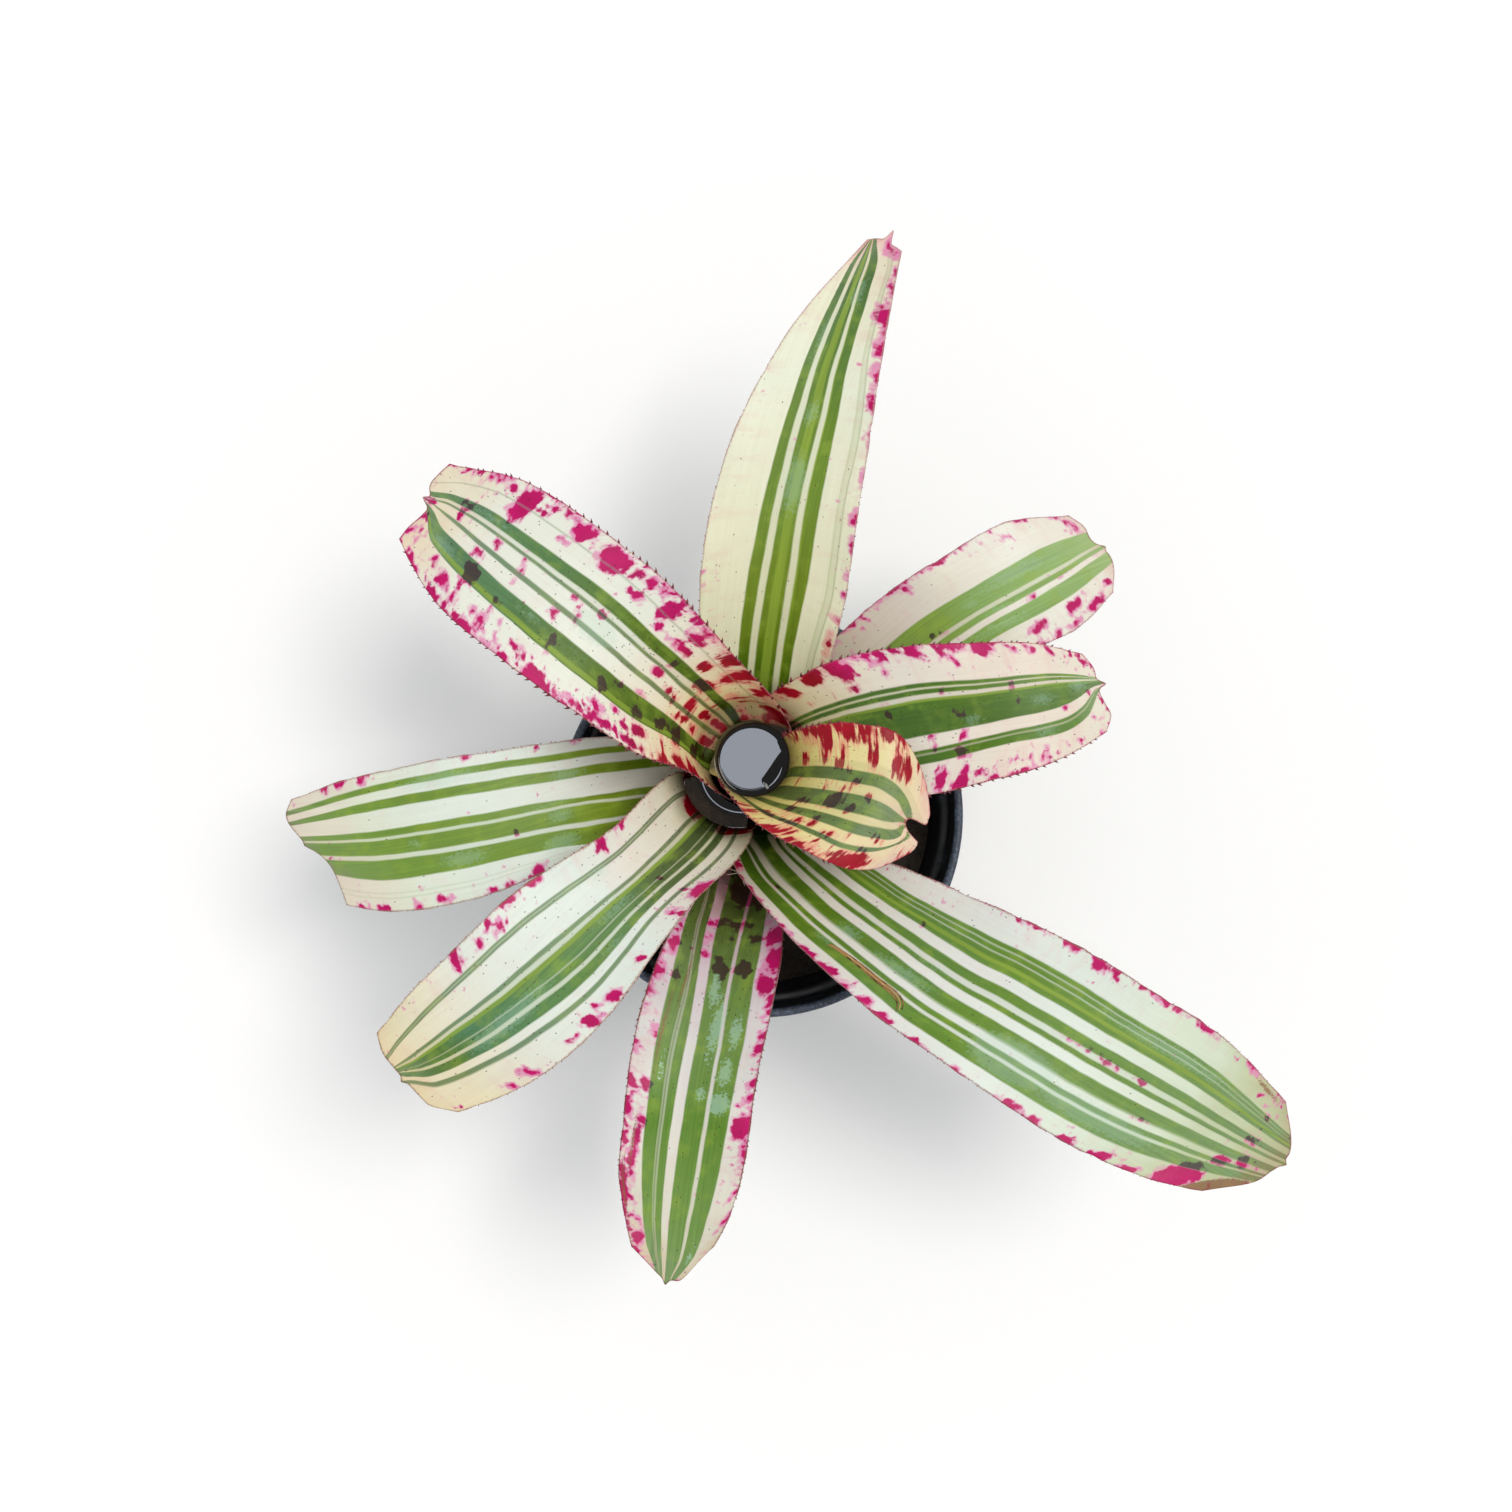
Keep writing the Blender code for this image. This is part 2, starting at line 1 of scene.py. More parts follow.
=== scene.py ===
"""Looks of a neoregelia bromeliad in a round black nursery pot, seen from straight above.

Every leaf is laid again on the vase-shaped surface that its solid follows, with many more rows
and columns, thin margins and marginal spines. Lengthwise bands, crosswise marks and bloom with
painted glints are painted in each leaf's own coordinates, so they follow the leaf wherever it bends.
Painted shade darkens the leaf bases and the tissue by the water.
"""

import json
import logging
import math
from dataclasses import dataclass
from enum import Enum

import bmesh
import bpy
import numpy as np
from mathutils import Matrix, Vector

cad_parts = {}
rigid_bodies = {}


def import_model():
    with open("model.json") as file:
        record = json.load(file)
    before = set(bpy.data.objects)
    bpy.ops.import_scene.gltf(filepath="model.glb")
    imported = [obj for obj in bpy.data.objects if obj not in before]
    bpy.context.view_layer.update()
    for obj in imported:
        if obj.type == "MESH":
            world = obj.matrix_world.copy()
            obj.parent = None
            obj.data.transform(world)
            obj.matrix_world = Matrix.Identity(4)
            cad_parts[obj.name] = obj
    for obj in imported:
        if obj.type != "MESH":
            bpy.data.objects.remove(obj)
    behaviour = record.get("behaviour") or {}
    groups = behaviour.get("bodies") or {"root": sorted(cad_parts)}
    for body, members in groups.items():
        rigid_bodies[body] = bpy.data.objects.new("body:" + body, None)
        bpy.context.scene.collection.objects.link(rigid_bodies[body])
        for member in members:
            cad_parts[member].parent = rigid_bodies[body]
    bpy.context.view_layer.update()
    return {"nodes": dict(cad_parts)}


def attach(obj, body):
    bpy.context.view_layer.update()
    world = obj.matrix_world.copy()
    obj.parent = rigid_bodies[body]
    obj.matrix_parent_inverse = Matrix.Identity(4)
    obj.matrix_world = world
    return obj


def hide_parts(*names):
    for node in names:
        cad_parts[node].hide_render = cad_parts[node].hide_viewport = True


MM = 0.001
BODY = "root"

# Pot, in millimetres
POT_HEIGHT = 120.0
POT_RIM_RADIUS = 78.0
POT_FOOT_RADIUS = 56.0
POT_WALL = 1.6
POT_FLOOR = 2.4
FLOOR_ROUNDING = 2.0
RIM_BAND_DEPTH = 19.0
RIM_LIP_WIDTH = 3.4
RIM_LEDGE_WIDTH = 4.0

# Potting mix, in millimetres
MIX_LEVEL = 88.0

# Rosette, in millimetres
ROSETTE_FOOT = Vector((-1.5, 12.0, MIX_LEVEL))
CUP_CENTRE = Vector((-3.4, 21.6, 150.0))
POOL_LEVEL = 141.0
SHEATH_HALF_TURN = 97.0
BLADE_THICKNESS = 0.9

# Stations along the blade (0 at the sheath's top, 1 at the tip) and across it (-1 to 1)
BEARING_STATIONS = (0.0, 0.2, 0.45, 0.72, 1.0)
WIDTH_STATIONS = (0.0, 0.12, 0.3, 0.6, 0.85, 1.0)
TIP_STATIONS = (-1.0, -0.7, -0.25, 0.0, 0.25, 0.7, 1.0)
CHANNEL_STATIONS = (0.0, 0.12, 0.3, 0.6, 1.0)

# Photograph: a camera straight above, in millimetres, and its focal length in pixels
CAMERA_PLACE = Vector((-1.7, 22.7, 880.0))
FRAME_PIXELS = 1512.0
FOCAL_PIXELS = 1978.1
SENSOR_WIDTH = 36.0

# Linear light that a soft sheen adds to the leaves' look, and the least that any tissue shows
SHEEN = 0.012
BLACKEST = 0.001

# Leaves that hold water: its level, how far from the axis it stands and how high the darkening creeps above
# it, which is partly wet tissue and partly painted shade in the cup and the pool
WATER_LINES = {
    "leaf_01": (CUP_CENTRE.z, 24.0, 3.0),
    "leaf_02": (CUP_CENTRE.z, 24.0, 9.0),
    "leaf_04": (POOL_LEVEL, 42.0, 8.0),
}

# A healed scratch on leaf_06: its course across and along the blade; the shift across, the half
# thickness and the colour of each strand; how far the shift applies at its start and its end
SCRATCH_COURSE = (
    (-0.63, 0.262), (-0.6, 0.268), (-0.575, 0.29), (-0.575, 0.32), (-0.59, 0.35), (-0.6, 0.38),
    (-0.65, 0.4), (-0.76, 0.415),
)
SCRATCH_SIDES = ((-0.024, 0.36, "4c2a18"), (0.0, 0.42, "c9a56c"), (0.024, 0.34, "5e3820"))
SCRATCH_SPREAD = (0.5, 1.6)
SCRATCH_LIFT = 0.55
SCRATCH_CREST = "a97f4e"

# Dry fibres at the leaf bases: places in the photograph, and their height in millimetres
FIBRE_PIXELS = (
    ((722, 866), (738, 872), (757, 881)),
    ((726, 875), (741, 872), (756, 866)),
    ((733, 864), (740, 874), (745, 886)),
)
FIBRE_HEIGHT = 138.0
FIBRE_RADIUS = 0.16

log = logging.getLogger("bromeliad")


class Band(Enum):
    """What a lengthwise band of a leaf is: its shares of green, of yellow and of depth."""

    CREAM = (0.0, 0.0, 0.0)
    LINE = (0.4, 0.0, 0.35)
    FAINT = (0.16, 0.3, 0.0)
    LIME = (0.3, 0.75, 0.0)
    PALE = (0.62, 0.25, 0.0)
    GREEN = (1.0, 0.0, 0.0)
    GOLD = (1.0, 0.85, 0.0)
    GREY = (0.86, 0.0, 0.45)
    DEEP = (1.0, 0.0, 0.65)


class Gloss(Enum):
    """What the pale patches on a leaf are: how rough they look. Their pale tint is partly painted glint and
    sheen.
    """

    SCURF = 0.52
    WET = 0.12


@dataclass(frozen=True)
class LeafShape:
    """One leaf, in millimetres and degrees, as in the part's source.

    rise: distance from the stem's axis and height over the mix, from root to tip.
    bearings: compass bearing of the midline, counter-clockwise from +X.
    half_widths: from the midline to a margin.
    tip_cut: how far the end stays short of the full length, across the leaf.
    channel: how far the margins are raised above the midline.
    wave: height and length of the ripples along the margins.
    mucro: length of the point at the leaf's end.
    mucro_place: where the point stands, across the leaf.
    """

    name: str
    rise: tuple
    bearings: tuple
    half_widths: tuple
    tip_cut: tuple
    channel: tuple
    wave: tuple
    mucro: float
    mucro_place: float = 0.0


@dataclass(frozen=True)
class LeafDress:
    """The markings of one leaf.

    Shares run from 0 at the sheath's top to 1 at the tip, and places across from -1 to 1.

    stations: shares at which the guides are given.
    guides: for each guide line, its place across at every station.
    canon: the place across that the bands give to each guide line.
    bands: (place across where it starts, kind), from the clockwise margin.
    ground: (share, colour) of the cream tissue; dark towards the sheath, partly the sheath's own tone and
    partly painted shade where other leaves cover the bases.
    green: (share, colour) of the green tissue, dark towards the sheath in the same way.
    spots: (first share, last share, first across, last across, slant) of each mark.
    bloom: pale patches of scurf or water film, partly painted glints and sheen, as the spots.
    dry: dead brown patches, as the spots.
    scatter: density of small marks at the margins, at the sheath and at the tip.
    red_until: share to which marks are crimson, before they turn magenta.
    pale: how far the marks have faded to pink.
    streak_width: how broad the crimson streaks are, in millimetres.
    edge: colour of the dry line along the margins.
    gloss: what the pale patches are.
    specks: share of the dark specks that show.
    stain: strength of the peach stains in the cream tissue.
    shade: how light the green tissue is: partly the leaf's own tone, partly painted light and shade matched
    to how lit each leaf is.
    spine: how large the marginal spines are.
    """

    stations: tuple
    guides: tuple
    canon: tuple
    bands: tuple
    ground: tuple
    green: tuple
    spots: tuple
    bloom_and_glint: tuple = ()
    scatter: tuple = (0.4, 0.0, 0.2)
    red_until: float = 0.1
    pale: float = 0.0
    streak_width: float = 2.0
    edge: str = "a8566a"
    gloss: Gloss = Gloss.SCURF
    specks: float = 0.3
    stain: float = 0.3
    shade: float = 1.0
    spine: float = 0.45
    dry: tuple = ()


SHAPES = (
    LeafShape(
        name="leaf_01",
        rise=((10, 24), (13.6, 29), (14.4, 60), (19, 76), (32, 90), (48, 95), (68.5, 89)),
        bearings=(300, 313, 328, 335, 333),
        half_widths=(22.5, 23.5, 24.5, 26.5, 24.5, 12),
        tip_cut=(5, 1, 0, 9, 1, 0.5, 4),
        channel=(1.5, 3, 1, -2),
        wave=(0.4, 23),
        mucro=1.5,
    ),
    LeafShape(
        name="leaf_02",
        rise=((10, 21.3), (15.6, 27), (16.6, 58), (21, 70), (34, 85), (60, 100), (100, 107), (149.5, 98)),
        bearings=(122, 142, 143, 143, 142.5),
        half_widths=(35, 28, 29, 29.5, 25.5, 15),
        tip_cut=(1, 0.5, 1.5, 6, 6, 4.5, 4.5),
        channel=(3, 4, 2, 1),
        wave=(0.6, 31),
        mucro=4.5,
    ),
    LeafShape(
        name="leaf_03",
        rise=((10, 18.6), (17.4, 24.7), (18.8, 52), (23.5, 62), (36, 72), (60, 81), (95, 85), (131, 78)),
        bearings=(17, 12.5, 10, 9, 9.5),
        half_widths=(25, 27, 29.5, 26.5, 20.5, 13),
        tip_cut=(3, 0.5, 2, 3, 3.5, 3.5, 6),
        channel=(3, 4, 3, 1),
        wave=(0.8, 34),
        mucro=3.5,
        mucro_place=0.25,
    ),
    LeafShape(
        name="leaf_04",
        rise=((10, 15.9), (19.2, 22.5), (22, 42), (30, 53), (45, 64), (75, 78), (120, 84), (170, 72)),
        bearings=(228, 230, 228, 227, 223.5),
        half_widths=(19.5, 23, 21.5, 28, 25.5, 19),
        tip_cut=(3, 0.5, 0, 0, 0, 0.5, 6),
        channel=(5, 6, 3, 1),
        wave=(0.8, 38),
        mucro=1.5,
    ),
    LeafShape(
        name="leaf_05",
        rise=((10, 13.2), (20.8, 20.3), (24, 36), (31, 46), (45, 56), (75, 71), (130, 86), (196, 90)),
        bearings=(84, 83, 82, 79, 75),
        half_widths=(26, 26, 28.5, 24.5, 14.5, 6),
        tip_cut=(3, 2, 1, 0, 0, 0.5, 2),
        channel=(3, 4, 3, 2),
        wave=(0.6, 44),
        mucro=4.5,
    ),
    LeafShape(
        name="leaf_06",
        rise=((10, 10.5), (22.4, 18), (26, 30), (33, 39), (47, 49), (80, 64), (140, 73), (239.5, 58)),
        bearings=(276, 300, 313.5, 319, 322.5),
        half_widths=(20.5, 21, 27, 31.5, 28, 16),
        tip_cut=(16.5, 6, 1.5, 0, 0, 5, 12),
        channel=(4, 5, 3, 1),
        wave=(0.8, 41),
        mucro=1.5,
    ),
    LeafShape(
        name="leaf_07",
        rise=((10, 7.8), (24, 15.6), (28, 25), (35, 33), (49, 43), (75, 55), (115, 61), (176.5, 50)),
        bearings=(184, 188.5, 193, 193, 190),
        half_widths=(23, 18.5, 21.5, 27, 24.5, 17),
        tip_cut=(2.5, 0, 3.5, 7.5, 13.5, 17, 17.5),
        channel=(3, 4, 3, 1),
        wave=(0.8, 36),
        mucro=1.5,
    ),
    LeafShape(
        name="leaf_08",
        rise=((10, 5.1), (25.6, 13), (30, 20), (37, 28), (50, 38), (75, 51), (110, 60), (155, 58)),
        bearings=(35, 34, 35.5, 33.5, 31.5),
        half_widths=(28, 25, 24, 23, 23.5, 14.5),
        tip_cut=(6, 2, 0, 1, 2.5, 2, 4),
        channel=(3, 3, 2, 1),
        wave=(0.6, 33),
        mucro=1.5,
    ),
    LeafShape(
        name="leaf_09",
        rise=((10, 2.4), (27, 9.6), (32, 15), (39, 22), (52, 31), (75, 41), (120, 49), (192, 38)),
        bearings=(270, 263, 259.5, 260, 260.5),
        half_widths=(21.5, 17.5, 22.5, 23.5, 20, 9.5),
        tip_cut=(10, 5.5, 1, 0, 0, 3, 15),
        channel=(3, 4, 3, 2),
        wave=(1.2, 29),
        mucro=2.0,
    ),
)

DRESSES = {
    "leaf_01": LeafDress(
        stations=(0, 0.2, 0.35, 0.5, 0.7, 0.8, 0.87, 0.93, 1.0),
        guides=(
            (-0.62, -0.68, -0.73, -0.69, -0.74, -0.7, -0.58, -0.3, -0.12),
            (-0.5, -0.6, -0.63, -0.61, -0.66, -0.6, -0.5, -0.25, -0.1),
            (-0.38, -0.44, -0.45, -0.46, -0.49, -0.44, -0.37, -0.2, -0.08),
            (-0.25, -0.31, -0.33, -0.31, -0.33, -0.28, -0.22, -0.15, -0.06),
            (-0.17, -0.21, -0.22, -0.22, -0.21, -0.19, -0.15, -0.1, -0.04),
            (0.11, 0.08, 0.06, 0.04, 0.05, 0.035, 0.03, 0.02, 0.02),
            (0.28, 0.24, 0.22, 0.2, 0.2, 0.17, 0.15, 0.1, 0.05),
            (0.45, 0.42, 0.4, 0.38, 0.37, 0.33, 0.28, 0.2, 0.1),
        ),
        canon=(-0.69, -0.61, -0.46, -0.31, -0.22, 0.04, 0.2, 0.38),
        bands=(
            (-1.0, Band.CREAM), (-0.69, Band.GREEN), (-0.61, Band.CREAM), (-0.46, Band.GREEN),
            (-0.31, Band.FAINT), (-0.22, Band.GREEN), (0.04, Band.FAINT), (0.2, Band.GREEN),
            (0.38, Band.FAINT), (0.5, Band.CREAM),
        ),
        ground=(
            (-0.3, "6b4a36"), (0.0, "8d7c50"), (0.12, "c4b566"), (0.25, "dccf7a"), (0.45, "e8db92"),
            (0.7, "e9dba4"), (0.9, "e9d6ae"), (1.0, "e6c8b6"),
        ),
        green=(
            (-0.3, "2c3018"), (0.0, "3d4820"), (0.2, "5d6b3a"), (0.4, "677843"), (0.65, "6f8653"),
            (0.85, "788e60"), (1.0, "86976a"),
        ),
        spots=(
            (0.26, 0.3, 0.38, 0.6), (0.27, 0.3, 0.1, 0.38), (0.29, 0.35, 0.76, 1.0, 0.12),
            (0.35, 0.41, 0.72, 1.0, 0.15), (0.4, 0.48, 0.46, 1.0, 0.06), (0.47, 0.52, 0.34, 0.52),
            (0.49, 0.55, 0.8, 1.0), (0.5, 0.53, 0.5, 0.78), (0.54, 0.6, 0.72, 1.0),
            (0.61, 0.66, 0.76, 1.0), (0.64, 0.68, 0.4, 0.74, 0.05), (0.66, 0.7, 0.72, 1.0),
            (0.72, 0.8, 0.82, 1.0, 0.1), (0.76, 0.8, 0.45, 0.9, 0.1), (0.8, 0.86, 0.85, 1.0, 0.1),
            (0.8, 0.85, 0.44, 0.8, 0.12), (0.28, 0.32, -1.0, -0.74, -0.08),
            (0.33, 0.37, -1.0, -0.76, -0.1), (0.44, 0.48, -1.0, -0.8, 0.08),
            (0.47, 0.54, -1.0, -0.7, 0.12), (0.56, 0.6, -1.0, -0.86), (0.6, 0.66, -1.0, -0.86),
            (0.68, 0.73, -1.0, -0.88, 0.1), (0.74, 0.77, -0.9, -0.7, 0.1),
            (0.76, 0.86, -1.0, -0.68, 0.06), (0.86, 0.9, -1.0, -0.8), (0.61, 0.66, -0.67, -0.54),
            (0.46, 0.5, -0.6, -0.48), (0.52, 0.55, -0.6, -0.46), (0.4, 0.42, -0.64, -0.44),
            (0.8, 0.83, -0.5, -0.36, -0.1), (0.5, 0.61, -0.24, 0.04, 0.3), (0.35, 0.44, -0.46, -0.32),
            (0.36, 0.43, -0.22, -0.14), (0.45, 0.48, -0.22, -0.12, 0.2), (0.48, 0.5, 0.02, 0.15, -0.1),
            (0.54, 0.57, 0.27, 0.4), (0.6, 0.64, 0.18, 0.26), (0.69, 0.73, 0.28, 0.38),
            (0.74, 0.78, -0.03, 0.08, -0.2), (0.64, 0.69, -0.24, -0.08, 0.35),
            (0.51, 0.55, -0.46, -0.36), (0.58, 0.62, 0.08, 0.14), (0.43, 0.5, -0.69, -0.6),
            (0.78, 0.82, -0.7, -0.6), (0.33, 0.4, -0.72, -0.6),
        ),
        scatter=(0.85, 0.7, 0.7),
        red_until=1.1,
        streak_width=1.3,
        edge="b0324a",
        specks=1.05,
        stain=0.45,
        spine=1.25,
    ),
    "leaf_02": LeafDress(
        stations=(0, 0.1, 0.2, 0.3, 0.5, 0.7, 0.85, 0.93, 1.0),
        guides=(
            (-0.55, -0.62, -0.68, -0.7, -0.69, -0.69, -0.68, -0.65, -0.4),
            (-0.2, -0.26, -0.38, -0.42, -0.42, -0.42, -0.41, -0.38, -0.2),
            (-0.08, -0.13, -0.25, -0.26, -0.265, -0.27, -0.27, -0.26, -0.12),
            (-0.01, -0.03, -0.12, -0.185, -0.175, -0.2, -0.195, -0.19, -0.08),
            (0.2, 0.2, 0.12, 0.065, 0.07, 0.04, 0.02, -0.01, -0.02),
            (0.38, 0.42, 0.31, 0.275, 0.3, 0.265, 0.225, 0.2, 0.02),
            (0.63, 0.66, 0.58, 0.57, 0.585, 0.535, 0.51, 0.47, 0.15),
        ),
        canon=(-0.69, -0.42, -0.265, -0.175, 0.07, 0.3, 0.585),
        bands=(
            (-1.0, Band.CREAM), (-0.705, Band.LINE), (-0.68, Band.CREAM), (-0.42, Band.GREEN),
            (-0.265, Band.FAINT), (-0.2, Band.GREY), (-0.15, Band.CREAM), (0.035, Band.GREY),
            (0.105, Band.CREAM), (0.3, Band.GREEN), (0.5, Band.GOLD), (0.57, Band.GREEN),
            (0.585, Band.CREAM),
        ),
        ground=(
            (-0.3, "4a3022"), (0.0, "9d8a58"), (0.08, "d6c288"), (0.16, "e6d3a2"), (0.27, "eae0c6"),
            (0.4, "e9ecdc"), (0.8, "ebeee0"), (0.9, "ebe4cc"), (1.0, "e9dabc"),
        ),
        green=(
            (-0.3, "23240f"), (0.0, "3f4c22"), (0.12, "4f5d24"), (0.24, "627d26"), (0.42, "6b8b2c"),
            (0.56, "68904a"), (0.7, "6f9c68"), (0.88, "719b70"), (1.0, "8fae7c"),
        ),
        spots=(
            (0.15, 0.19, -1.0, -0.4, -0.02), (0.14, 0.2, -0.42, -0.2), (0.145, 0.175, -0.1, 0.14),
            (0.15, 0.19, 0.2, 0.32, 0.1), (0.15, 0.18, 0.38, 0.7), (0.14, 0.175, 0.72, 1.0, -0.05),
            (0.205, 0.235, -1.0, -0.7, -0.04), (0.205, 0.23, -0.66, -0.46), (0.195, 0.235, 0.37, 0.55),
            (0.195, 0.22, 0.82, 1.0), (0.045, 0.07, -0.4, -0.24), (0.1, 0.12, -0.5, -0.3),
            (0.05, 0.09, -1.0, -0.55, -0.06), (0.11, 0.14, -1.0, -0.7, -0.06),
            (0.04, 0.08, -0.02, 0.16), (0.095, 0.12, 0.0, 0.14), (0.1, 0.13, 0.26, 0.44),
            (0.05, 0.08, 0.26, 0.4), (0.08, 0.12, 0.44, 0.66), (0.1, 0.14, 0.78, 1.0),
            (0.2, 0.21, 0.66, 0.8), (0.27, 0.29, -0.98, -0.88), (0.28, 0.31, -0.98, -0.86),
            (0.27, 0.32, -0.85, -0.68), (0.265, 0.32, -0.6, -0.47), (0.32, 0.345, -1.0, -0.9),
            (0.27, 0.3, -0.18, -0.06), (0.22, 0.245, -0.05, 0.04), (0.28, 0.31, 0.22, 0.34),
            (0.2, 0.22, 0.02, 0.14), (0.25, 0.29, 0.62, 0.76), (0.3, 0.32, 0.7, 0.78),
            (0.265, 0.3, 0.4, 0.56), (0.265, 0.31, 0.84, 0.96), (0.265, 0.28, -0.4, -0.24),
            (0.36, 0.4, -0.93, -0.6), (0.355, 0.375, -0.58, -0.48), (0.35, 0.38, 0.82, 0.95),
            (0.33, 0.35, 0.58, 0.66), (0.37, 0.4, 0.68, 0.8), (0.38, 0.4, 0.82, 0.95),
            (0.375, 0.405, 0.37, 0.57), (0.34, 0.36, 0.3, 0.36), (0.415, 0.435, -0.95, -0.84),
            (0.44, 0.465, -0.98, -0.8), (0.475, 0.495, -0.92, -0.76), (0.435, 0.47, -0.68, -0.56),
            (0.42, 0.46, 0.86, 0.98), (0.475, 0.495, 0.9, 1.0), (0.51, 0.58, -0.98, -0.6),
            (0.51, 0.575, 0.82, 1.0), (0.525, 0.55, 0.33, 0.58), (0.565, 0.58, 0.08, 0.22),
            (0.51, 0.53, -0.02, 0.1), (0.53, 0.55, -0.18, -0.1), (0.575, 0.59, 0.78, 0.86),
            (0.59, 0.62, 0.72, 0.8), (0.6, 0.64, 0.92, 1.0), (0.61, 0.665, -0.98, -0.7),
            (0.64, 0.66, -0.64, -0.56), (0.67, 0.7, -0.98, -0.88), (0.72, 0.74, -0.9, -0.84),
            (0.725, 0.74, -0.8, -0.7), (0.7, 0.72, 0.6, 1.0, 0.03), (0.73, 0.745, 0.7, 0.8),
            (0.71, 0.76, 0.9, 1.0), (0.755, 0.805, -0.98, -0.42), (0.77, 0.82, 0.26, 0.54),
            (0.8, 0.825, 0.04, 0.22), (0.79, 0.8, 0.56, 0.66), (0.785, 0.805, 0.72, 0.86),
            (0.82, 0.865, 0.62, 0.84), (0.82, 0.87, 0.88, 1.0), (0.82, 0.845, -0.92, -0.78),
            (0.85, 0.87, -1.0, -0.9), (0.88, 0.895, 0.55, 0.7), (0.88, 0.9, -0.36, -0.1, 0.09),
            (0.885, 0.9, -1.0, -0.8), (0.77, 0.79, 0.94, 1.0), (0.77, 0.785, -0.2, -0.05),
            (0.69, 0.71, 0.42, 0.52), (0.69, 0.7, -0.14, 0.08), (0.47, 0.485, -0.24, -0.14),
            (0.92, 0.93, -1.0, -0.9), (0.93, 0.95, 0.93, 1.0), (0.88, 0.9, -0.4, -0.3),
        ),
        bloom_and_glint=(
            (0.4, 0.54, -0.2, 0.2), (0.75, 0.9, -0.4, -0.28), (0.84, 0.96, 0.26, 0.5),
            (0.56, 0.66, 0.3, 0.42),
        ),
        scatter=(1.02, 0.98, 0.66),
        red_until=0.22,
        edge="a63a58",
        specks=1.1,
        stain=0.35,
        shade=0.78,
        spine=1.25,
    ),
    "leaf_03": LeafDress(
        stations=(0, 0.2, 0.45, 0.7, 0.85, 0.93, 1.0),
        guides=(
            (-0.55, -0.56, -0.57, -0.52, -0.57, -0.45, 0.1),
            (-0.36, -0.37, -0.38, -0.34, -0.33, -0.2, 0.2), (-0.2, -0.2, -0.2, -0.16, -0.12, 0.0, 0.27),
            (0.23, 0.24, 0.26, 0.27, 0.32, 0.33, 0.35), (0.43, 0.44, 0.47, 0.46, 0.49, 0.48, 0.42),
        ),
        canon=(-0.57, -0.375, -0.2, 0.26, 0.47),
        bands=(
            (-1.0, Band.CREAM), (-0.57, Band.GREEN), (-0.45, Band.PALE), (-0.425, Band.GREEN),
            (-0.375, Band.CREAM), (-0.2, Band.DEEP), (0.12, Band.GREEN), (0.22, Band.GOLD),
            (0.26, Band.FAINT), (0.32, Band.GREEN), (0.385, Band.LIME), (0.41, Band.GREEN),
            (0.47, Band.CREAM),
        ),
        ground=(
            (-0.3, "5a3a28"), (0.0, "c2b07c"), (0.1, "dfce9d"), (0.22, "e8dcba"), (0.42, "eae4d6"),
            (0.7, "e9ddcd"), (0.85, "e8dccb"), (1.0, "e8e3cf"),
        ),
        green=(
            (-0.3, "2a3015"), (0.0, "495f2c"), (0.2, "5d7d3a"), (0.45, "567c34"), (0.6, "5a7e26"),
            (0.75, "65893a"), (0.9, "6d9148"), (1.0, "9ab27e"),
        ),
        spots=(
            (0.035, 0.095, 0.45, 1.0, 0.04), (0.01, 0.045, 0.62, 0.92), (0.03, 0.08, 0.22, 0.48),
            (0.13, 0.17, 0.7, 0.92), (0.13, 0.165, 0.82, 1.0), (0.21, 0.265, 0.78, 1.0, 0.04),
            (0.275, 0.335, 0.66, 1.0), (0.29, 0.31, 0.5, 0.6), (0.352, 0.375, 0.9, 1.0),
            (0.377, 0.4, 0.78, 1.0), (0.404, 0.432, 0.82, 1.0), (0.45, 0.47, 0.88, 1.0),
            (0.49, 0.53, 0.8, 1.0), (0.565, 0.58, 0.82, 1.0), (0.585, 0.645, 0.87, 1.0),
            (0.59, 0.605, 0.68, 0.82), (0.665, 0.715, 0.8, 1.0), (0.765, 0.785, 0.84, 0.96),
            (0.815, 0.84, 0.84, 0.97), (0.87, 0.895, 0.84, 0.97), (0.155, 0.168, 0.5, 0.57),
            (0.35, 0.37, 0.06, 0.22), (0.55, 0.58, -0.05, 0.07), (0.54, 0.58, -0.56, -0.4),
            (0.525, 0.54, 0.32, 0.38), (0.735, 0.743, 0.16, 0.36), (0.49, 0.52, -0.97, -0.64),
            (0.54, 0.585, -1.0, -0.82), (0.555, 0.58, -0.82, -0.66), (0.47, 0.485, -0.36, -0.2),
            (0.555, 0.575, -0.33, -0.21), (0.6, 0.625, -0.9, -0.8), (0.785, 0.8, -0.9, -0.76),
            (0.795, 0.82, -1.0, -0.9), (0.875, 0.885, -0.18, -0.1), (0.64, 0.67, -1.0, -0.92),
            (0.7, 0.76, -1.0, -0.94), (0.72, 0.74, 0.9, 1.0), (0.4, 0.41, 0.64, 0.74),
            (0.1, 0.12, 0.85, 1.0), (0.15, 0.2, -1.0, -0.8), (0.25, 0.3, -1.0, -0.85),
            (0.36, 0.4, -1.0, -0.8),
        ),
        bloom_and_glint=(
            (0.57, 0.63, -0.18, 0.0), (0.77, 0.86, -0.05, 0.18), (0.76, 0.84, -0.56, -0.36),
            (0.9, 0.97, 0.1, 0.4),
        ),
        scatter=(0.78, 0.74, 0.42),
        red_until=0.24,
        edge="a8485c",
        specks=0.7,
        stain=0.5,
        shade=0.95,
        spine=1.2,
        dry=((0.52, 0.6, -1.0, -0.985), (0.62, 0.75, -1.0, -0.985)),
    ),
    "leaf_04": LeafDress(
        stations=(0, 0.2, 0.35, 0.5, 0.7, 0.85, 0.95, 1.0),
        guides=(
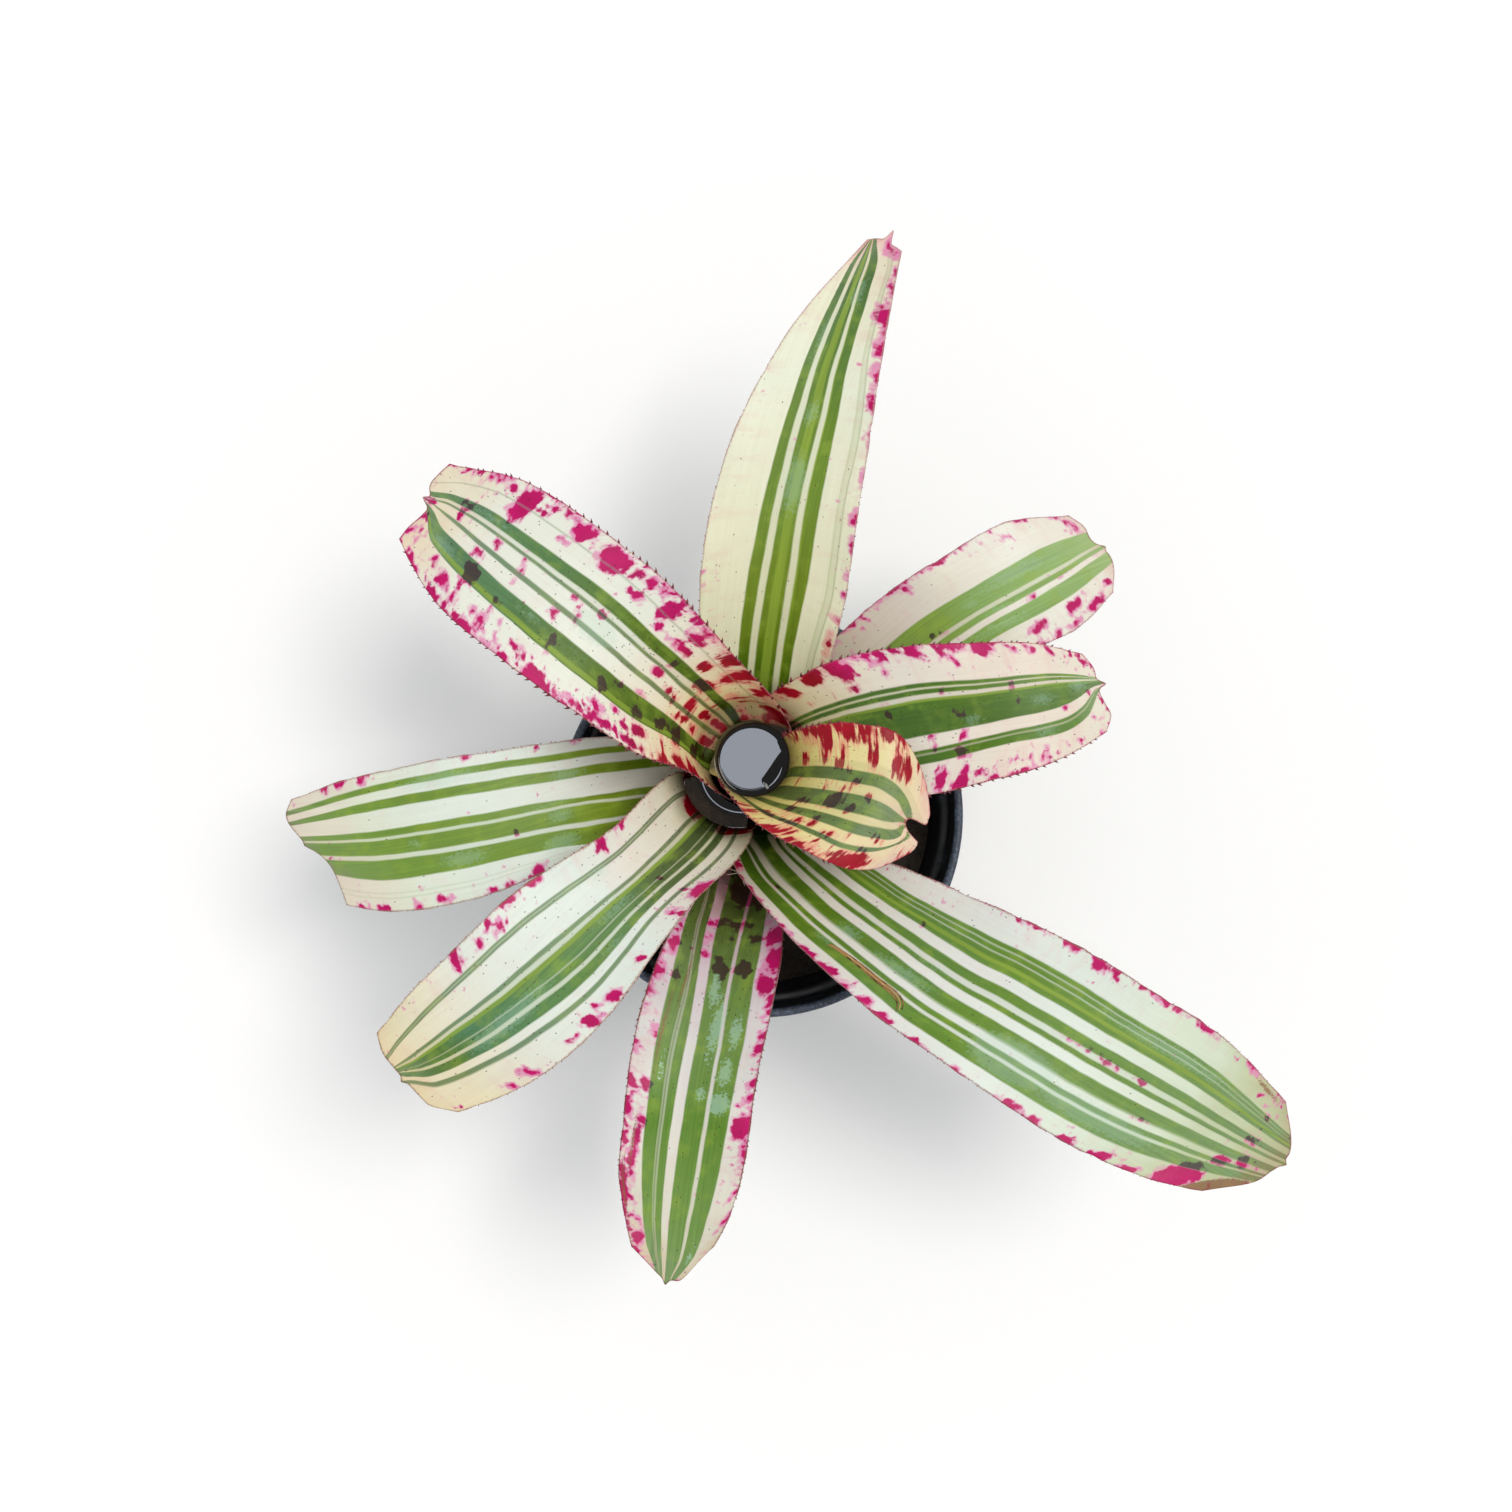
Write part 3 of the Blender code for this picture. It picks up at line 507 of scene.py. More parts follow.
            (-0.6, -0.61, -0.61, -0.62, -0.66, -0.64, -0.6, -0.5),
            (-0.15, -0.15, -0.14, -0.16, -0.24, -0.27, -0.28, -0.3),
            (-0.04, -0.05, -0.06, -0.06, -0.15, -0.2, -0.2, -0.26),
            (0.32, 0.31, 0.28, 0.3, 0.15, 0.09, -0.02, -0.2),
            (0.5, 0.49, 0.46, 0.5, 0.37, 0.28, 0.18, -0.1),
            (0.69, 0.68, 0.61, 0.65, 0.52, 0.43, 0.34, 0.0),
        ),
        canon=(-0.62, -0.16, -0.06, 0.29, 0.49, 0.65),
        bands=(
            (-1.0, Band.CREAM), (-0.665, Band.GREY), (-0.63, Band.PALE), (-0.615, Band.GREY),
            (-0.58, Band.CREAM), (-0.195, Band.GREY), (-0.125, Band.LIME), (-0.06, Band.GOLD),
            (0.01, Band.GREEN), (0.17, Band.PALE), (0.185, Band.GREEN), (0.29, Band.LIME),
            (0.345, Band.GREEN), (0.49, Band.CREAM), (0.615, Band.GREY), (0.685, Band.CREAM),
        ),
        ground=(
            (-0.3, "3a2a1c"), (0.0, "8f8560"), (0.08, "cfc6a2"), (0.15, "e3dcc6"), (0.3, "e8e3d6"),
            (0.42, "e3ece2"), (0.7, "e6ebdf"), (0.82, "ece8d2"), (0.93, "ece2be"), (1.0, "e9d6ae"),
        ),
        green=(
            (-0.3, "1f2412"), (0.0, "39442a"), (0.1, "59683f"), (0.25, "6a7f4a"), (0.4, "7ba064"),
            (0.6, "74a05c"), (0.8, "679a6e"), (0.9, "6a9048"), (1.0, "8aa672"),
        ),
        spots=(
            (0.05, 0.095, -0.62, -0.05), (0.03, 0.07, -1.0, -0.6), (0.04, 0.085, 0.3, 0.7, -0.05),
            (0.02, 0.07, 0.66, 1.0, -0.06), (0.26, 0.29, -1.0, -0.9), (0.325, 0.35, -1.0, -0.78),
            (0.24, 0.3, 0.76, 1.0), (0.335, 0.35, 0.7, 1.0), (0.48, 0.52, -1.0, -0.92),
            (0.55, 0.6, -1.0, -0.93), (0.6, 0.62, -0.9, -0.74), (0.625, 0.645, -0.97, -0.86),
            (0.63, 0.64, -0.85, -0.76), (0.665, 0.685, -0.9, -0.76), (0.725, 0.75, -1.0, -0.72),
            (0.55, 0.585, 0.8, 0.97), (0.595, 0.605, 0.76, 0.84), (0.615, 0.655, 0.8, 0.98),
            (0.79, 0.815, 0.74, 0.97), (0.85, 0.87, 0.84, 0.98), (0.68, 0.7, 0.84, 0.92),
            (0.455, 0.475, 0.82, 0.92), (0.27, 0.285, 0.14, 0.24), (0.27, 0.28, 0.62, 0.7),
        ),
        bloom_and_glint=(
            (0.33, 0.46, -0.02, 0.16), (0.34, 0.4, -0.66, -0.4), (0.42, 0.5, 0.36, 0.5),
            (0.6, 0.86, 0.0, 0.3),
        ),
        scatter=(0.34, 0.6, 0.2),
        red_until=0.12,
        edge="9c6a54",
        specks=0.77,
        stain=0.3,
        shade=0.8,
        spine=0.6,
    ),
    "leaf_05": LeafDress(
        stations=(0, 0.15, 0.3, 0.5, 0.6, 0.7, 0.8, 0.9, 0.95, 1.0),
        guides=(
            (-0.72, -0.73, -0.8, -0.79, -0.84, -0.79, -0.71, -0.7, -0.75, -0.6),
            (-0.4, -0.4, -0.44, -0.46, -0.46, -0.41, -0.36, -0.26, -0.12, 0.7),
            (-0.25, -0.25, -0.27, -0.265, -0.28, -0.225, -0.155, 0.08, 0.26, 0.8),
            (-0.16, -0.16, -0.17, -0.18, -0.195, -0.14, -0.075, 0.145, 0.355, 0.84),
            (0.14, 0.14, 0.09, 0.06, 0.07, 0.135, 0.225, 0.41, 0.6, 0.88),
            (0.235, 0.235, 0.185, 0.155, 0.175, 0.225, 0.315, 0.51, 0.71, 0.9),
            (0.4, 0.4, 0.35, 0.305, 0.32, 0.38, 0.48, 0.68, 0.85, 0.93),
        ),
        canon=(-0.79, -0.46, -0.265, -0.18, 0.06, 0.155, 0.305),
        bands=(
            (-1.0, Band.CREAM), (-0.8, Band.LINE), (-0.785, Band.FAINT), (-0.72, Band.LIME),
            (-0.695, Band.CREAM), (-0.46, Band.GREEN), (-0.285, Band.GOLD), (-0.265, Band.FAINT),
            (-0.18, Band.GREEN), (-0.13, Band.GOLD), (-0.02, Band.GREEN), (0.06, Band.FAINT),
            (0.155, Band.GREEN), (0.305, Band.CREAM),
        ),
        ground=(
            (-0.3, "6a5034"), (0.0, "cfc79f"), (0.12, "e6e6c4"), (0.3, "eae9c8"), (0.5, "ebecd0"),
            (0.7, "eaeed6"), (0.85, "e8e8cc"), (0.95, "e9dfc6"), (1.0, "e4b6ae"),
        ),
        green=(
            (-0.3, "2c3412"), (0.0, "4a6420"), (0.12, "64851f"), (0.25, "86a02a"), (0.45, "85a63e"),
            (0.6, "7ea13a"), (0.75, "6f9645"), (0.9, "5f8448"), (1.0, "7f9a68"),
        ),
        spots=(
            (0.18, 0.235, -0.96, -0.84), (0.255, 0.27, -1.0, -0.86), (0.39, 0.42, -1.0, -0.92),
            (0.44, 0.475, -1.0, -0.88), (0.66, 0.7, -1.0, -0.86), (0.715, 0.765, -1.0, -0.84),
            (0.77, 0.815, -1.0, -0.78), (0.83, 0.88, -1.0, -0.6), (0.9, 0.925, -1.0, -0.8),
            (0.3, 0.32, -1.0, -0.94), (0.34, 0.36, -1.0, -0.94), (0.52, 0.55, -1.0, -0.94),
            (0.6, 0.63, -1.0, -0.95), (0.94, 0.96, -1.0, -0.86), (0.975, 1.0, -1.0, 0.1),
            (0.1, 0.15, -1.0, -0.7), (0.02, 0.07, -0.6, -0.3),
        ),
        bloom_and_glint=(
            (0.42, 0.56, -0.22, 0.1), (0.6, 0.66, -0.16, 0.08), (0.72, 0.86, 0.2, 0.42),
            (0.84, 0.92, -0.2, 0.2),
        ),
        scatter=(0.42, 0.3, 0.3),
        red_until=0.2,
        pale=0.7,
        edge="b58a86",
        specks=0.12,
        stain=0.42,
        shade=0.78,
    ),
    "leaf_06": LeafDress(
        stations=(0, 0.1, 0.2, 0.3, 0.5, 0.7, 0.85, 1.0),
        guides=(
            (-0.8, -0.8, -0.79, -0.77, -0.81, -0.76, -0.71, -0.6),
            (-0.36, -0.38, -0.405, -0.45, -0.5, -0.46, -0.41, -0.38),
            (0.12, 0.06, -0.07, -0.14, -0.23, -0.19, -0.165, -0.14),
            (0.54, 0.48, 0.37, 0.245, 0.165, 0.19, 0.19, 0.2),
            (0.72, 0.66, 0.5, 0.385, 0.31, 0.33, 0.33, 0.34),
            (0.97, 0.95, 0.83, 0.68, 0.65, 0.63, 0.625, 0.6),
        ),
        canon=(-0.81, -0.5, -0.23, 0.165, 0.31, 0.65),
        bands=(
            (-1.0, Band.CREAM), (-0.81, Band.GREEN), (-0.62, Band.FAINT), (-0.575, Band.GREEN),
            (-0.5, Band.CREAM), (-0.41, Band.PALE), (-0.385, Band.GREEN), (-0.23, Band.CREAM),
            (-0.105, Band.GREEN), (-0.035, Band.FAINT), (0.04, Band.GREEN), (0.165, Band.CREAM),
            (0.31, Band.GREEN), (0.375, Band.GOLD), (0.43, Band.GREEN), (0.5, Band.PALE),
            (0.512, Band.GREEN), (0.575, Band.PALE), (0.59, Band.GREEN), (0.65, Band.CREAM),
        ),
        ground=(
            (-0.3, "3c2c20"), (0.0, "a9a184"), (0.1, "d6cfba"), (0.2, "e3ddd0"), (0.4, "e4e6de"),
            (0.6, "e2ebdf"), (0.8, "d9e4cc"), (0.92, "c2cba2"), (1.0, "b7b48a"),
        ),
        green=(
            (-0.3, "1c2410"), (0.0, "34451c"), (0.1, "527024"), (0.2, "66872c"), (0.35, "6b9046"),
            (0.5, "6c9232"), (0.7, "739848"), (0.85, "7c9e5c"), (0.95, "84a06c"), (1.0, "8a8a5e"),
        ),
        spots=(
            (0.255, 0.285, -1.0, -0.9), (0.295, 0.33, -1.0, -0.88), (0.34, 0.355, -1.0, -0.86),
            (0.37, 0.392, -1.0, -0.87), (0.405, 0.435, -1.0, -0.91), (0.54, 0.565, -1.0, -0.95),
            (0.63, 0.67, -1.0, -0.93), (0.68, 0.705, -1.0, -0.93), (0.74, 0.77, -1.0, -0.91),
            (0.8, 0.83, -1.0, -0.88), (0.85, 0.88, -1.0, -0.92), (0.89, 0.95, -1.0, -0.6, -0.08),
            (0.915, 0.935, -0.5, -0.3), (0.945, 0.965, -0.42, -0.12, -0.05), (0.53, 0.56, 0.92, 1.0),
            (0.58, 0.61, 0.86, 1.0), (0.62, 0.635, 0.9, 1.0), (0.67, 0.77, 0.95, 1.0),
            (0.79, 0.83, 0.92, 1.0), (0.6, 0.62, 0.03, 0.07), (0.64, 0.66, 0.05, 0.1),
            (0.67, 0.7, 0.02, 0.09), (0.735, 0.745, 0.02, 0.08), (0.89, 0.92, -0.72, -0.54),
            (0.93, 0.95, 0.02, 0.2), (0.94, 0.955, 0.5, 0.64), (0.775, 0.79, -0.37, -0.32),
            (0.32, 0.327, 0.38, 0.42), (0.125, 0.135, -0.5, -0.4), (0.2, 0.24, -1.0, -0.95),
            (0.9, 0.93, 0.9, 1.0), (0.46, 0.5, -1.0, -0.95), (0.1, 0.2, -1.0, -0.96),
            (0.44, 0.5, 0.97, 1.0), (0.07, 0.1, -1.0, -0.8),
        ),
        bloom_and_glint=(
            (0.23, 0.27, -0.66, -0.5), (0.23, 0.28, -0.4, -0.14), (0.3, 0.42, -0.42, -0.2),
            (0.5, 0.66, -0.8, -0.25), (0.6, 0.92, 0.44, 0.62), (0.6, 0.85, -0.75, -0.4),
            (0.34, 0.44, -0.06, 0.04),
        ),
        scatter=(0.5, 0.2, 0.62),
        red_until=0.05,
        edge="9a5a60",
        specks=0.16,
        stain=0.25,
        spine=0.55,
        dry=(
            (0.955, 1.02, -1.0, -0.62), (0.2, 0.34, 0.985, 1.0), (0.93, 0.97, 0.86, 0.94),
            (0.45, 0.62, 0.985, 1.0),
        ),
    ),
    "leaf_07": LeafDress(
        stations=(0.0, 0.1, 0.2, 0.3, 0.4, 0.5, 0.7, 0.85, 1.0),
        guides=(
            (-0.88, -0.86, -0.83, -0.79, -0.8, -0.84, -0.84, -0.8, -0.76),
            (-0.49, -0.49, -0.505, -0.49, -0.555, -0.59, -0.62, -0.585, -0.52),
            (-0.27, -0.27, -0.3, -0.32, -0.375, -0.43, -0.48, -0.46, -0.43),
            (0.12, 0.12, 0.11, 0.04, -0.075, -0.13, -0.185, -0.185, -0.19),
            (0.35, 0.32, 0.26, 0.14, 0.07, 0.01, -0.06, -0.07, -0.08),
            (0.9, 0.8, 0.68, 0.545, 0.4, 0.31, 0.225, 0.195, 0.2),
            (0.99, 0.98, 0.95, 0.93, 0.73, 0.61, 0.54, 0.53, 0.48),
        ),
        canon=(-0.84, -0.59, -0.43, -0.13, 0.01, 0.31, 0.61),
        bands=(
            (-1.0, Band.CREAM), (-0.84, Band.GREEN), (-0.735, Band.CREAM), (-0.59, Band.GREEN),
            (-0.435, Band.CREAM), (-0.13, Band.GREEN), (-0.015, Band.LIME), (0.035, Band.GREEN),
            (0.275, Band.FAINT), (0.345, Band.GREEN), (0.61, Band.CREAM), (0.77, Band.FAINT),
            (0.785, Band.CREAM), (0.83, Band.FAINT), (0.845, Band.CREAM),
        ),
        ground=(
            (-0.3, "5a4632"), (0.0, "b3a48c"), (0.1, "d3ccbe"), (0.25, "dcdcd4"), (0.45, "e3ebe0"),
            (0.6, "e4ede2"), (0.8, "e2e8d2"), (0.92, "e6e0cc"), (1.0, "e2d8c4"),
        ),
        green=(
            (-0.3, "2a3014"), (0.0, "566c24"), (0.12, "6a7f24"), (0.25, "7d9428"), (0.4, "809f48"),
            (0.6, "7f9f44"), (0.8, "7ea048"), (0.95, "84a35a"), (1.0, "8a9c6a"),
        ),
        spots=(
            (0.79, 0.82, -1.0, -0.88), (0.85, 0.88, -1.0, -0.89), (0.895, 0.915, -1.0, -0.88),
            (0.45, 0.485, 0.82, 1.0, 0.1), (0.49, 0.51, 0.95, 1.0), (0.535, 0.565, 0.92, 1.0),
            (0.58, 0.61, 0.92, 1.0), (0.7, 0.735, 0.85, 0.98), (0.78, 0.805, 0.88, 1.0),
            (0.87, 0.905, 0.88, 1.0), (0.94, 0.97, 0.92, 1.0), (0.472, 0.48, 0.24, 0.34),
            (0.3, 0.32, -1.0, -0.95), (0.55, 0.565, -1.0, -0.96), (0.2, 0.23, 0.9, 1.0),
            (0.3, 0.33, 0.92, 1.0), (0.1, 0.16, -1.0, -0.86), (0.03, 0.07, -1.0, -0.7),
        ),
        bloom_and_glint=(
            (0.27, 0.37, -0.56, -0.28), (0.32, 0.4, 0.1, 0.38), (0.29, 0.46, -0.06, 0.06),
            (0.33, 0.44, 0.5, 0.88), (0.55, 0.7, 0.28, 0.54), (0.7, 0.74, 0.0, 0.16),
            (0.5, 0.72, -0.86, -0.6), (0.4, 0.6, -0.74, -0.6),
        ),
        scatter=(0.36, 0.1, 0.34),
        red_until=0.05,
        edge="a07a70",
        specks=0.1,
        stain=0.2,
    ),
    "leaf_08": LeafDress(
        stations=(0.0, 0.4, 0.55, 0.75, 0.9, 1.0),
        guides=(
            (-0.64, -0.64, -0.62, -0.54, -0.5, -0.48), (-0.36, -0.34, -0.31, -0.245, -0.17, -0.1),
            (-0.14, -0.12, -0.1, -0.065, -0.01, 0.08), (0.32, 0.33, 0.31, 0.335, 0.42, 0.5),
        ),
        canon=(-0.55, -0.245, -0.065, 0.34),
        bands=(
            (-1.0, Band.CREAM), (-0.55, Band.GREEN), (-0.295, Band.CREAM), (-0.195, Band.GREEN),
            (-0.1, Band.LIME), (-0.035, Band.GREEN), (0.34, Band.CREAM),
        ),
        ground=(
            (-0.3, "4e3a28"), (0.0, "b0a284"), (0.2, "cfc4ae"), (0.45, "ded4c8"), (0.62, "e9e4d4"),
            (0.8, "efeee0"), (0.95, "ece6d6"), (1.0, "e2cdbc"),
        ),
        green=(
            (-0.3, "262c14"), (0.0, "586c30"), (0.3, "7b9548"), (0.5, "87a44c"), (0.65, "8cae62"),
            (0.85, "93b36e"), (1.0, "a3bd7c"),
        ),
        spots=(
            (0.3, 0.38, 0.94, 1.0), (0.42, 0.53, 0.92, 1.0), (0.5, 0.52, 0.78, 0.95),
            (0.59, 0.66, 0.93, 1.0), (0.69, 0.72, 0.95, 1.0), (0.55, 0.57, 0.95, 1.0),
            (0.835, 0.865, -0.97, -0.88), (0.89, 0.95, -0.98, -0.8),
            (0.965, 0.985, -0.84, -0.68, -0.06), (0.965, 0.985, 0.54, 0.88), (0.72, 0.76, -1.0, -0.93),
            (0.71, 0.76, -0.8, -0.62), (0.83, 0.88, -0.78, -0.58), (0.45, 0.5, -0.08, 0.02),
            (0.745, 0.765, -0.3, -0.22), (0.84, 0.87, -0.15, -0.07), (0.67, 0.69, -0.22, -0.15),
            (0.95, 0.97, 0.92, 1.0), (0.86, 0.9, 0.96, 1.0), (0.2, 0.27, 0.9, 1.0),
            (0.78, 0.8, -1.0, -0.9), (0.64, 0.68, -1.0, -0.92), (0.55, 0.6, -1.0, -0.9),
        ),
        bloom_and_glint=(
            (0.58, 0.64, 0.0, 0.2), (0.62, 0.9, 0.08, 0.34), (0.62, 0.7, -0.24, -0.12),
            (0.55, 0.75, -0.55, -0.35),
        ),
        scatter=(0.56, 0.1, 0.62),
        red_until=0.05,
        pale=0.4,
        edge="a86a72",
        specks=0.1,
        stain=0.35,
        shade=1.1,
    ),
    "leaf_09": LeafDress(
        stations=(0, 0.1, 0.2, 0.3, 0.4, 0.5, 0.7, 0.85, 0.95, 1.0),
        guides=(
            (-0.97, -0.95, -0.93, -0.77, -0.69, -0.66, -0.65, -0.61, -0.6, -0.4),
            (-0.9, -0.85, -0.69, -0.5, -0.4, -0.39, -0.395, -0.395, -0.37, -0.25),
            (-0.75, -0.66, -0.52, -0.37, -0.26, -0.2, -0.24, -0.24, -0.21, -0.15),
            (-0.5, -0.42, -0.32, -0.19, -0.09, -0.04, -0.075, -0.09, -0.07, -0.05),
            (0.1, 0.11, 0.14, 0.17, 0.23, 0.3, 0.26, 0.24, 0.3, 0.15),
            (0.18, 0.19, 0.2, 0.23, 0.29, 0.36, 0.33, 0.32, 0.38, 0.2),
            (0.62, 0.62, 0.62, 0.6, 0.65, 0.69, 0.64, 0.61, 0.67, 0.35),
        ),
        canon=(-0.66, -0.39, -0.2, -0.04, 0.3, 0.36, 0.69),
        bands=(
            (-1.0, Band.CREAM), (-0.66, Band.GREEN), (-0.43, Band.PALE), (-0.405, Band.GREY),
            (-0.39, Band.PALE), (-0.35, Band.GREEN), (-0.2, Band.CREAM), (-0.04, Band.GREEN),
            (0.3, Band.FAINT), (0.36, Band.GREEN), (0.69, Band.CREAM),
        ),
        ground=(
            (-0.3, "2a1a14"), (0.0, "4c3430"), (0.12, "8a6a6c"), (0.2, "c4a6ae"), (0.32, "dccbd2"),
            (0.5, "dfdcd8"), (0.7, "e6e2d6"), (0.9, "dfdcc8"), (1.0, "d4c4a4"),
        ),
        green=(
            (-0.3, "17180c"), (0.0, "2c2c18"), (0.12, "454a28"), (0.22, "5d6f36"), (0.35, "74924c"),
            (0.5, "78994e"), (0.65, "668f34"), (0.8, "779c4c"), (0.93, "7fa05c"), (1.0, "86a070"),
        ),
        spots=(
            (0.19, 0.215, -0.32, 0.62), (0.225, 0.255, 0.34, 0.62), (0.23, 0.245, -0.02, 0.12),
            (0.285, 0.335, -0.16, 0.16, 0.1), (0.29, 0.335, 0.24, 0.56, 0.04),
            (0.2, 0.22, -0.56, -0.28), (0.24, 0.26, -0.48, -0.3), (0.28, 0.3, -0.42, -0.22),
            (0.22, 0.265, 0.68, 1.0), (0.27, 0.34, 0.72, 1.0, 0.04), (0.33, 0.38, 0.66, 0.97, 0.1),
            (0.385, 0.415, 0.86, 1.0), (0.465, 0.49, 0.88, 1.0), (0.495, 0.525, 0.85, 1.0),
            (0.575, 0.6, 0.86, 1.0), (0.605, 0.625, 0.84, 1.0), (0.65, 0.71, 0.7, 1.0, 0.08),
            (0.73, 0.78, 0.88, 1.0, 0.2), (0.28, 0.315, -0.97, -0.74), (0.34, 0.39, -1.0, -0.84),
            (0.345, 0.37, -0.72, -0.56), (0.41, 0.43, -1.0, -0.86), (0.48, 0.505, -0.8, -0.62),
            (0.595, 0.625, -0.8, -0.6), (0.61, 0.635, -1.0, -0.84), (0.665, 0.705, -1.0, -0.86),
            (0.68, 0.7, -0.78, -0.62, -0.05), (0.74, 0.76, -1.0, -0.93), (0.7, 0.82, -0.86, -0.7, -0.6),
            (0.82, 0.95, -1.0, -0.86, -0.5), (0.865, 0.88, -0.86, -0.74), (0.15, 0.17, 0.2, 0.62),
            (0.05, 0.16, -0.4, 0.7), (0.905, 0.915, -0.8, -0.68), (0.88, 0.885, -0.04, 0.08),
            (0.53, 0.56, -1.0, -0.9), (0.84, 0.86, 0.86, 1.0), (0.9, 0.93, 0.88, 1.0),
            (0.94, 0.97, -0.95, -0.6, -0.1), (0.42, 0.44, 0.9, 1.0),
        ),
        bloom_and_glint=(
            (0.32, 0.41, -0.1, 0.14, 0.2), (0.36, 0.53, 0.08, 0.34), (0.41, 0.5, 0.4, 0.64),
            (0.5, 0.58, 0.36, 0.62), (0.58, 0.635, 0.26, 0.68), (0.57, 0.61, 0.06, 0.26),
            (0.52, 0.6, -0.56, -0.44), (0.92, 0.97, 0.46, 0.64),
        ),
        scatter=(0.86, 0.8, 0.6),
        red_until=0.04,
        pale=0.3,
        edge="7a3a34",
        gloss=Gloss.WET,
        specks=0.56,
        stain=0.4,
        spine=0.75,
        dry=(
            (0.38, 0.57, -0.63, -0.57), (0.3, 0.42, -0.5, -0.44), (0.7, 0.8, -0.85, -0.78, -1.2),
            (0.78, 0.95, -0.96, -0.9), (0.55, 0.68, 0.98, 1.0), (0.72, 0.9, 0.98, 1.0),
            (0.4, 0.52, -1.0, -0.98),
        ),
    ),
}


def linear(colour: str) -> tuple[float, float, float, float]:
    """Turn an sRGB hex value into linear light.

    Args:
        colour: six hex digits, red first.

    Returns:
        The linear red, green and blue, and an alpha of 1.
    """
    parts = [int(colour[i : i + 2], 16) / 255 for i in (0, 2, 4)]
    light = [c / 12.92 if c <= 0.04045 else ((c + 0.055) / 1.055) ** 2.4 for c in parts]
    return (*light, 1.0)


def without_sheen(colour: str, share: float) -> tuple[float, float, float, float]:
    """Return the tissue's own linear colour, given as it looks under a soft sheen.

    Args:
        colour: six hex digits of the look.
        share: how much of the rest is the tissue's.

    Returns:
        The linear colour and an alpha of 1.
    """
    return (*(max(c - SHEEN, BLACKEST) * share for c in linear(colour)[:3]), 1.0)


def knot_curve(stations: object, values: object, x: object, tight: bool = False) -> np.ndarray:
    """Read a smooth curve through the knots.

    Args:
        stations: rising places of the knots.
        values: the value at each knot.
        x: where to read.
        tight: whether the curve may never swing past a knot.

    Returns:
        The values at x.
    """
    stations = np.asarray(stations, dtype=float)
    values = np.asarray(values, dtype=float)
    step = np.diff(stations)
    slope = np.diff(values) / step
    tangent = np.empty(len(stations))
    tangent[0] = slope[0]
    tangent[-1] = slope[-1]
    tangent[1:-1] = (slope[:-1] * step[1:] + slope[1:] * step[:-1]) / (step[:-1] + step[1:])
    if tight:
        limit = 2.2 * np.minimum(abs(slope[:-1]), abs(slope[1:]))
        turning = slope[:-1] * slope[1:] <= 0.0
        tangent[1:-1] = np.where(turning, 0.0, np.clip(tangent[1:-1], -limit, limit))
    x = np.clip(x, stations[0], stations[-1])
    i = np.clip(np.searchsorted(stations, x, side="right") - 1, 0, len(step) - 1)
    q = (x - stations[i]) / step[i]
    start = (2 * q**3 - 3 * q**2 + 1) * values[i] + (q**3 - 2 * q**2 + q) * step[i] * tangent[i]
    end = (3 * q**2 - 2 * q**3) * values[i + 1] + (q**3 - q**2) * step[i] * tangent[i + 1]
    return start + end


def feed(tree: bpy.types.NodeTree, node: bpy.types.Node, inputs: dict) -> None:
    """Link a node's inputs or set their values.

    Args:
        tree: the node tree.
        node: the node that is fed.
        inputs: input name or number to a value, a socket, or a node whose first live output is meant.
    """
    for name, value in inputs.items():
        if isinstance(value, bpy.types.Node):
            value = next(socket for socket in value.outputs if socket.enabled)
        if isinstance(value, bpy.types.NodeSocket):
            tree.links.new(value, node.inputs[name])
        else:
            node.inputs[name].default_value = value


def add_node(
    tree: bpy.types.NodeTree, kind: str, inputs: dict | None = None, **settings: object
) -> bpy.types.Node:
    """Add a node with its settings and links.

    Args:
        tree: the node tree.
        kind: the node's type name.
        inputs: what feeds its inputs.
        settings: the node's own properties.

    Returns:
        The new node.
    """
    node = tree.nodes.new(kind)
    for name, value in settings.items():
        setattr(node, name, value)
    feed(tree, node, inputs or {})
    return node


def math_node(tree: bpy.types.NodeTree, operation: str, *values: object) -> bpy.types.Node:
    """Add a sum, a product or the like of two or three values."""
    return add_node(tree, "ShaderNodeMath", dict(enumerate(values)), operation=operation)


def remap(
    tree: bpy.types.NodeTree,
    value: object,
    given: tuple[float, float],
    wanted: tuple[float, float] = (0.0, 1.0),
    smooth: bool = False,
) -> bpy.types.Node:
    """Add a node that carries a value from one range to another, clamped at both ends.

    Args:
        tree: the node tree.
        value: what is remapped.
        given: the range that it comes in.
        wanted: the range that it goes to.
        smooth: whether both ends ease in.

    Returns:
        The new node.
    """
    ends = {"From Min": given[0], "From Max": given[1], "To Min": wanted[0], "To Max": wanted[1]}
    course = "SMOOTHSTEP" if smooth else "LINEAR"
    return add_node(tree, "ShaderNodeMapRange", {"Value": value, **ends}, interpolation_type=course)


def mix_colours(tree: bpy.types.NodeTree, share: object, first: object, second: object) -> bpy.types.Node:
    """Add a blend of two colours by the second one's share."""
    return add_node(tree, "ShaderNodeMix", {0: share, 6: first, 7: second}, data_type="RGBA")


def mix_values(tree: bpy.types.NodeTree, share: object, first: object, second: object) -> bpy.types.Node:
    """Add a blend of two values by the second one's share."""
    return add_node(tree, "ShaderNodeMix", {0: share, 2: first, 3: second}, data_type="FLOAT")


def brighten(tree: bpy.types.NodeTree, colour: object, factor: object) -> bpy.types.Node:
    """Add a colour's product with a factor."""
    return add_node(tree, "ShaderNodeVectorMath", {0: colour, "Scale": factor}, operation="SCALE")


def stretch(tree: bpy.types.NodeTree, vector: object, scale: tuple[float, float, float]) -> bpy.types.Node:
    """Add a scaling of a place along each axis."""
    return add_node(tree, "ShaderNodeMapping", {"Vector": vector, "Scale": scale})


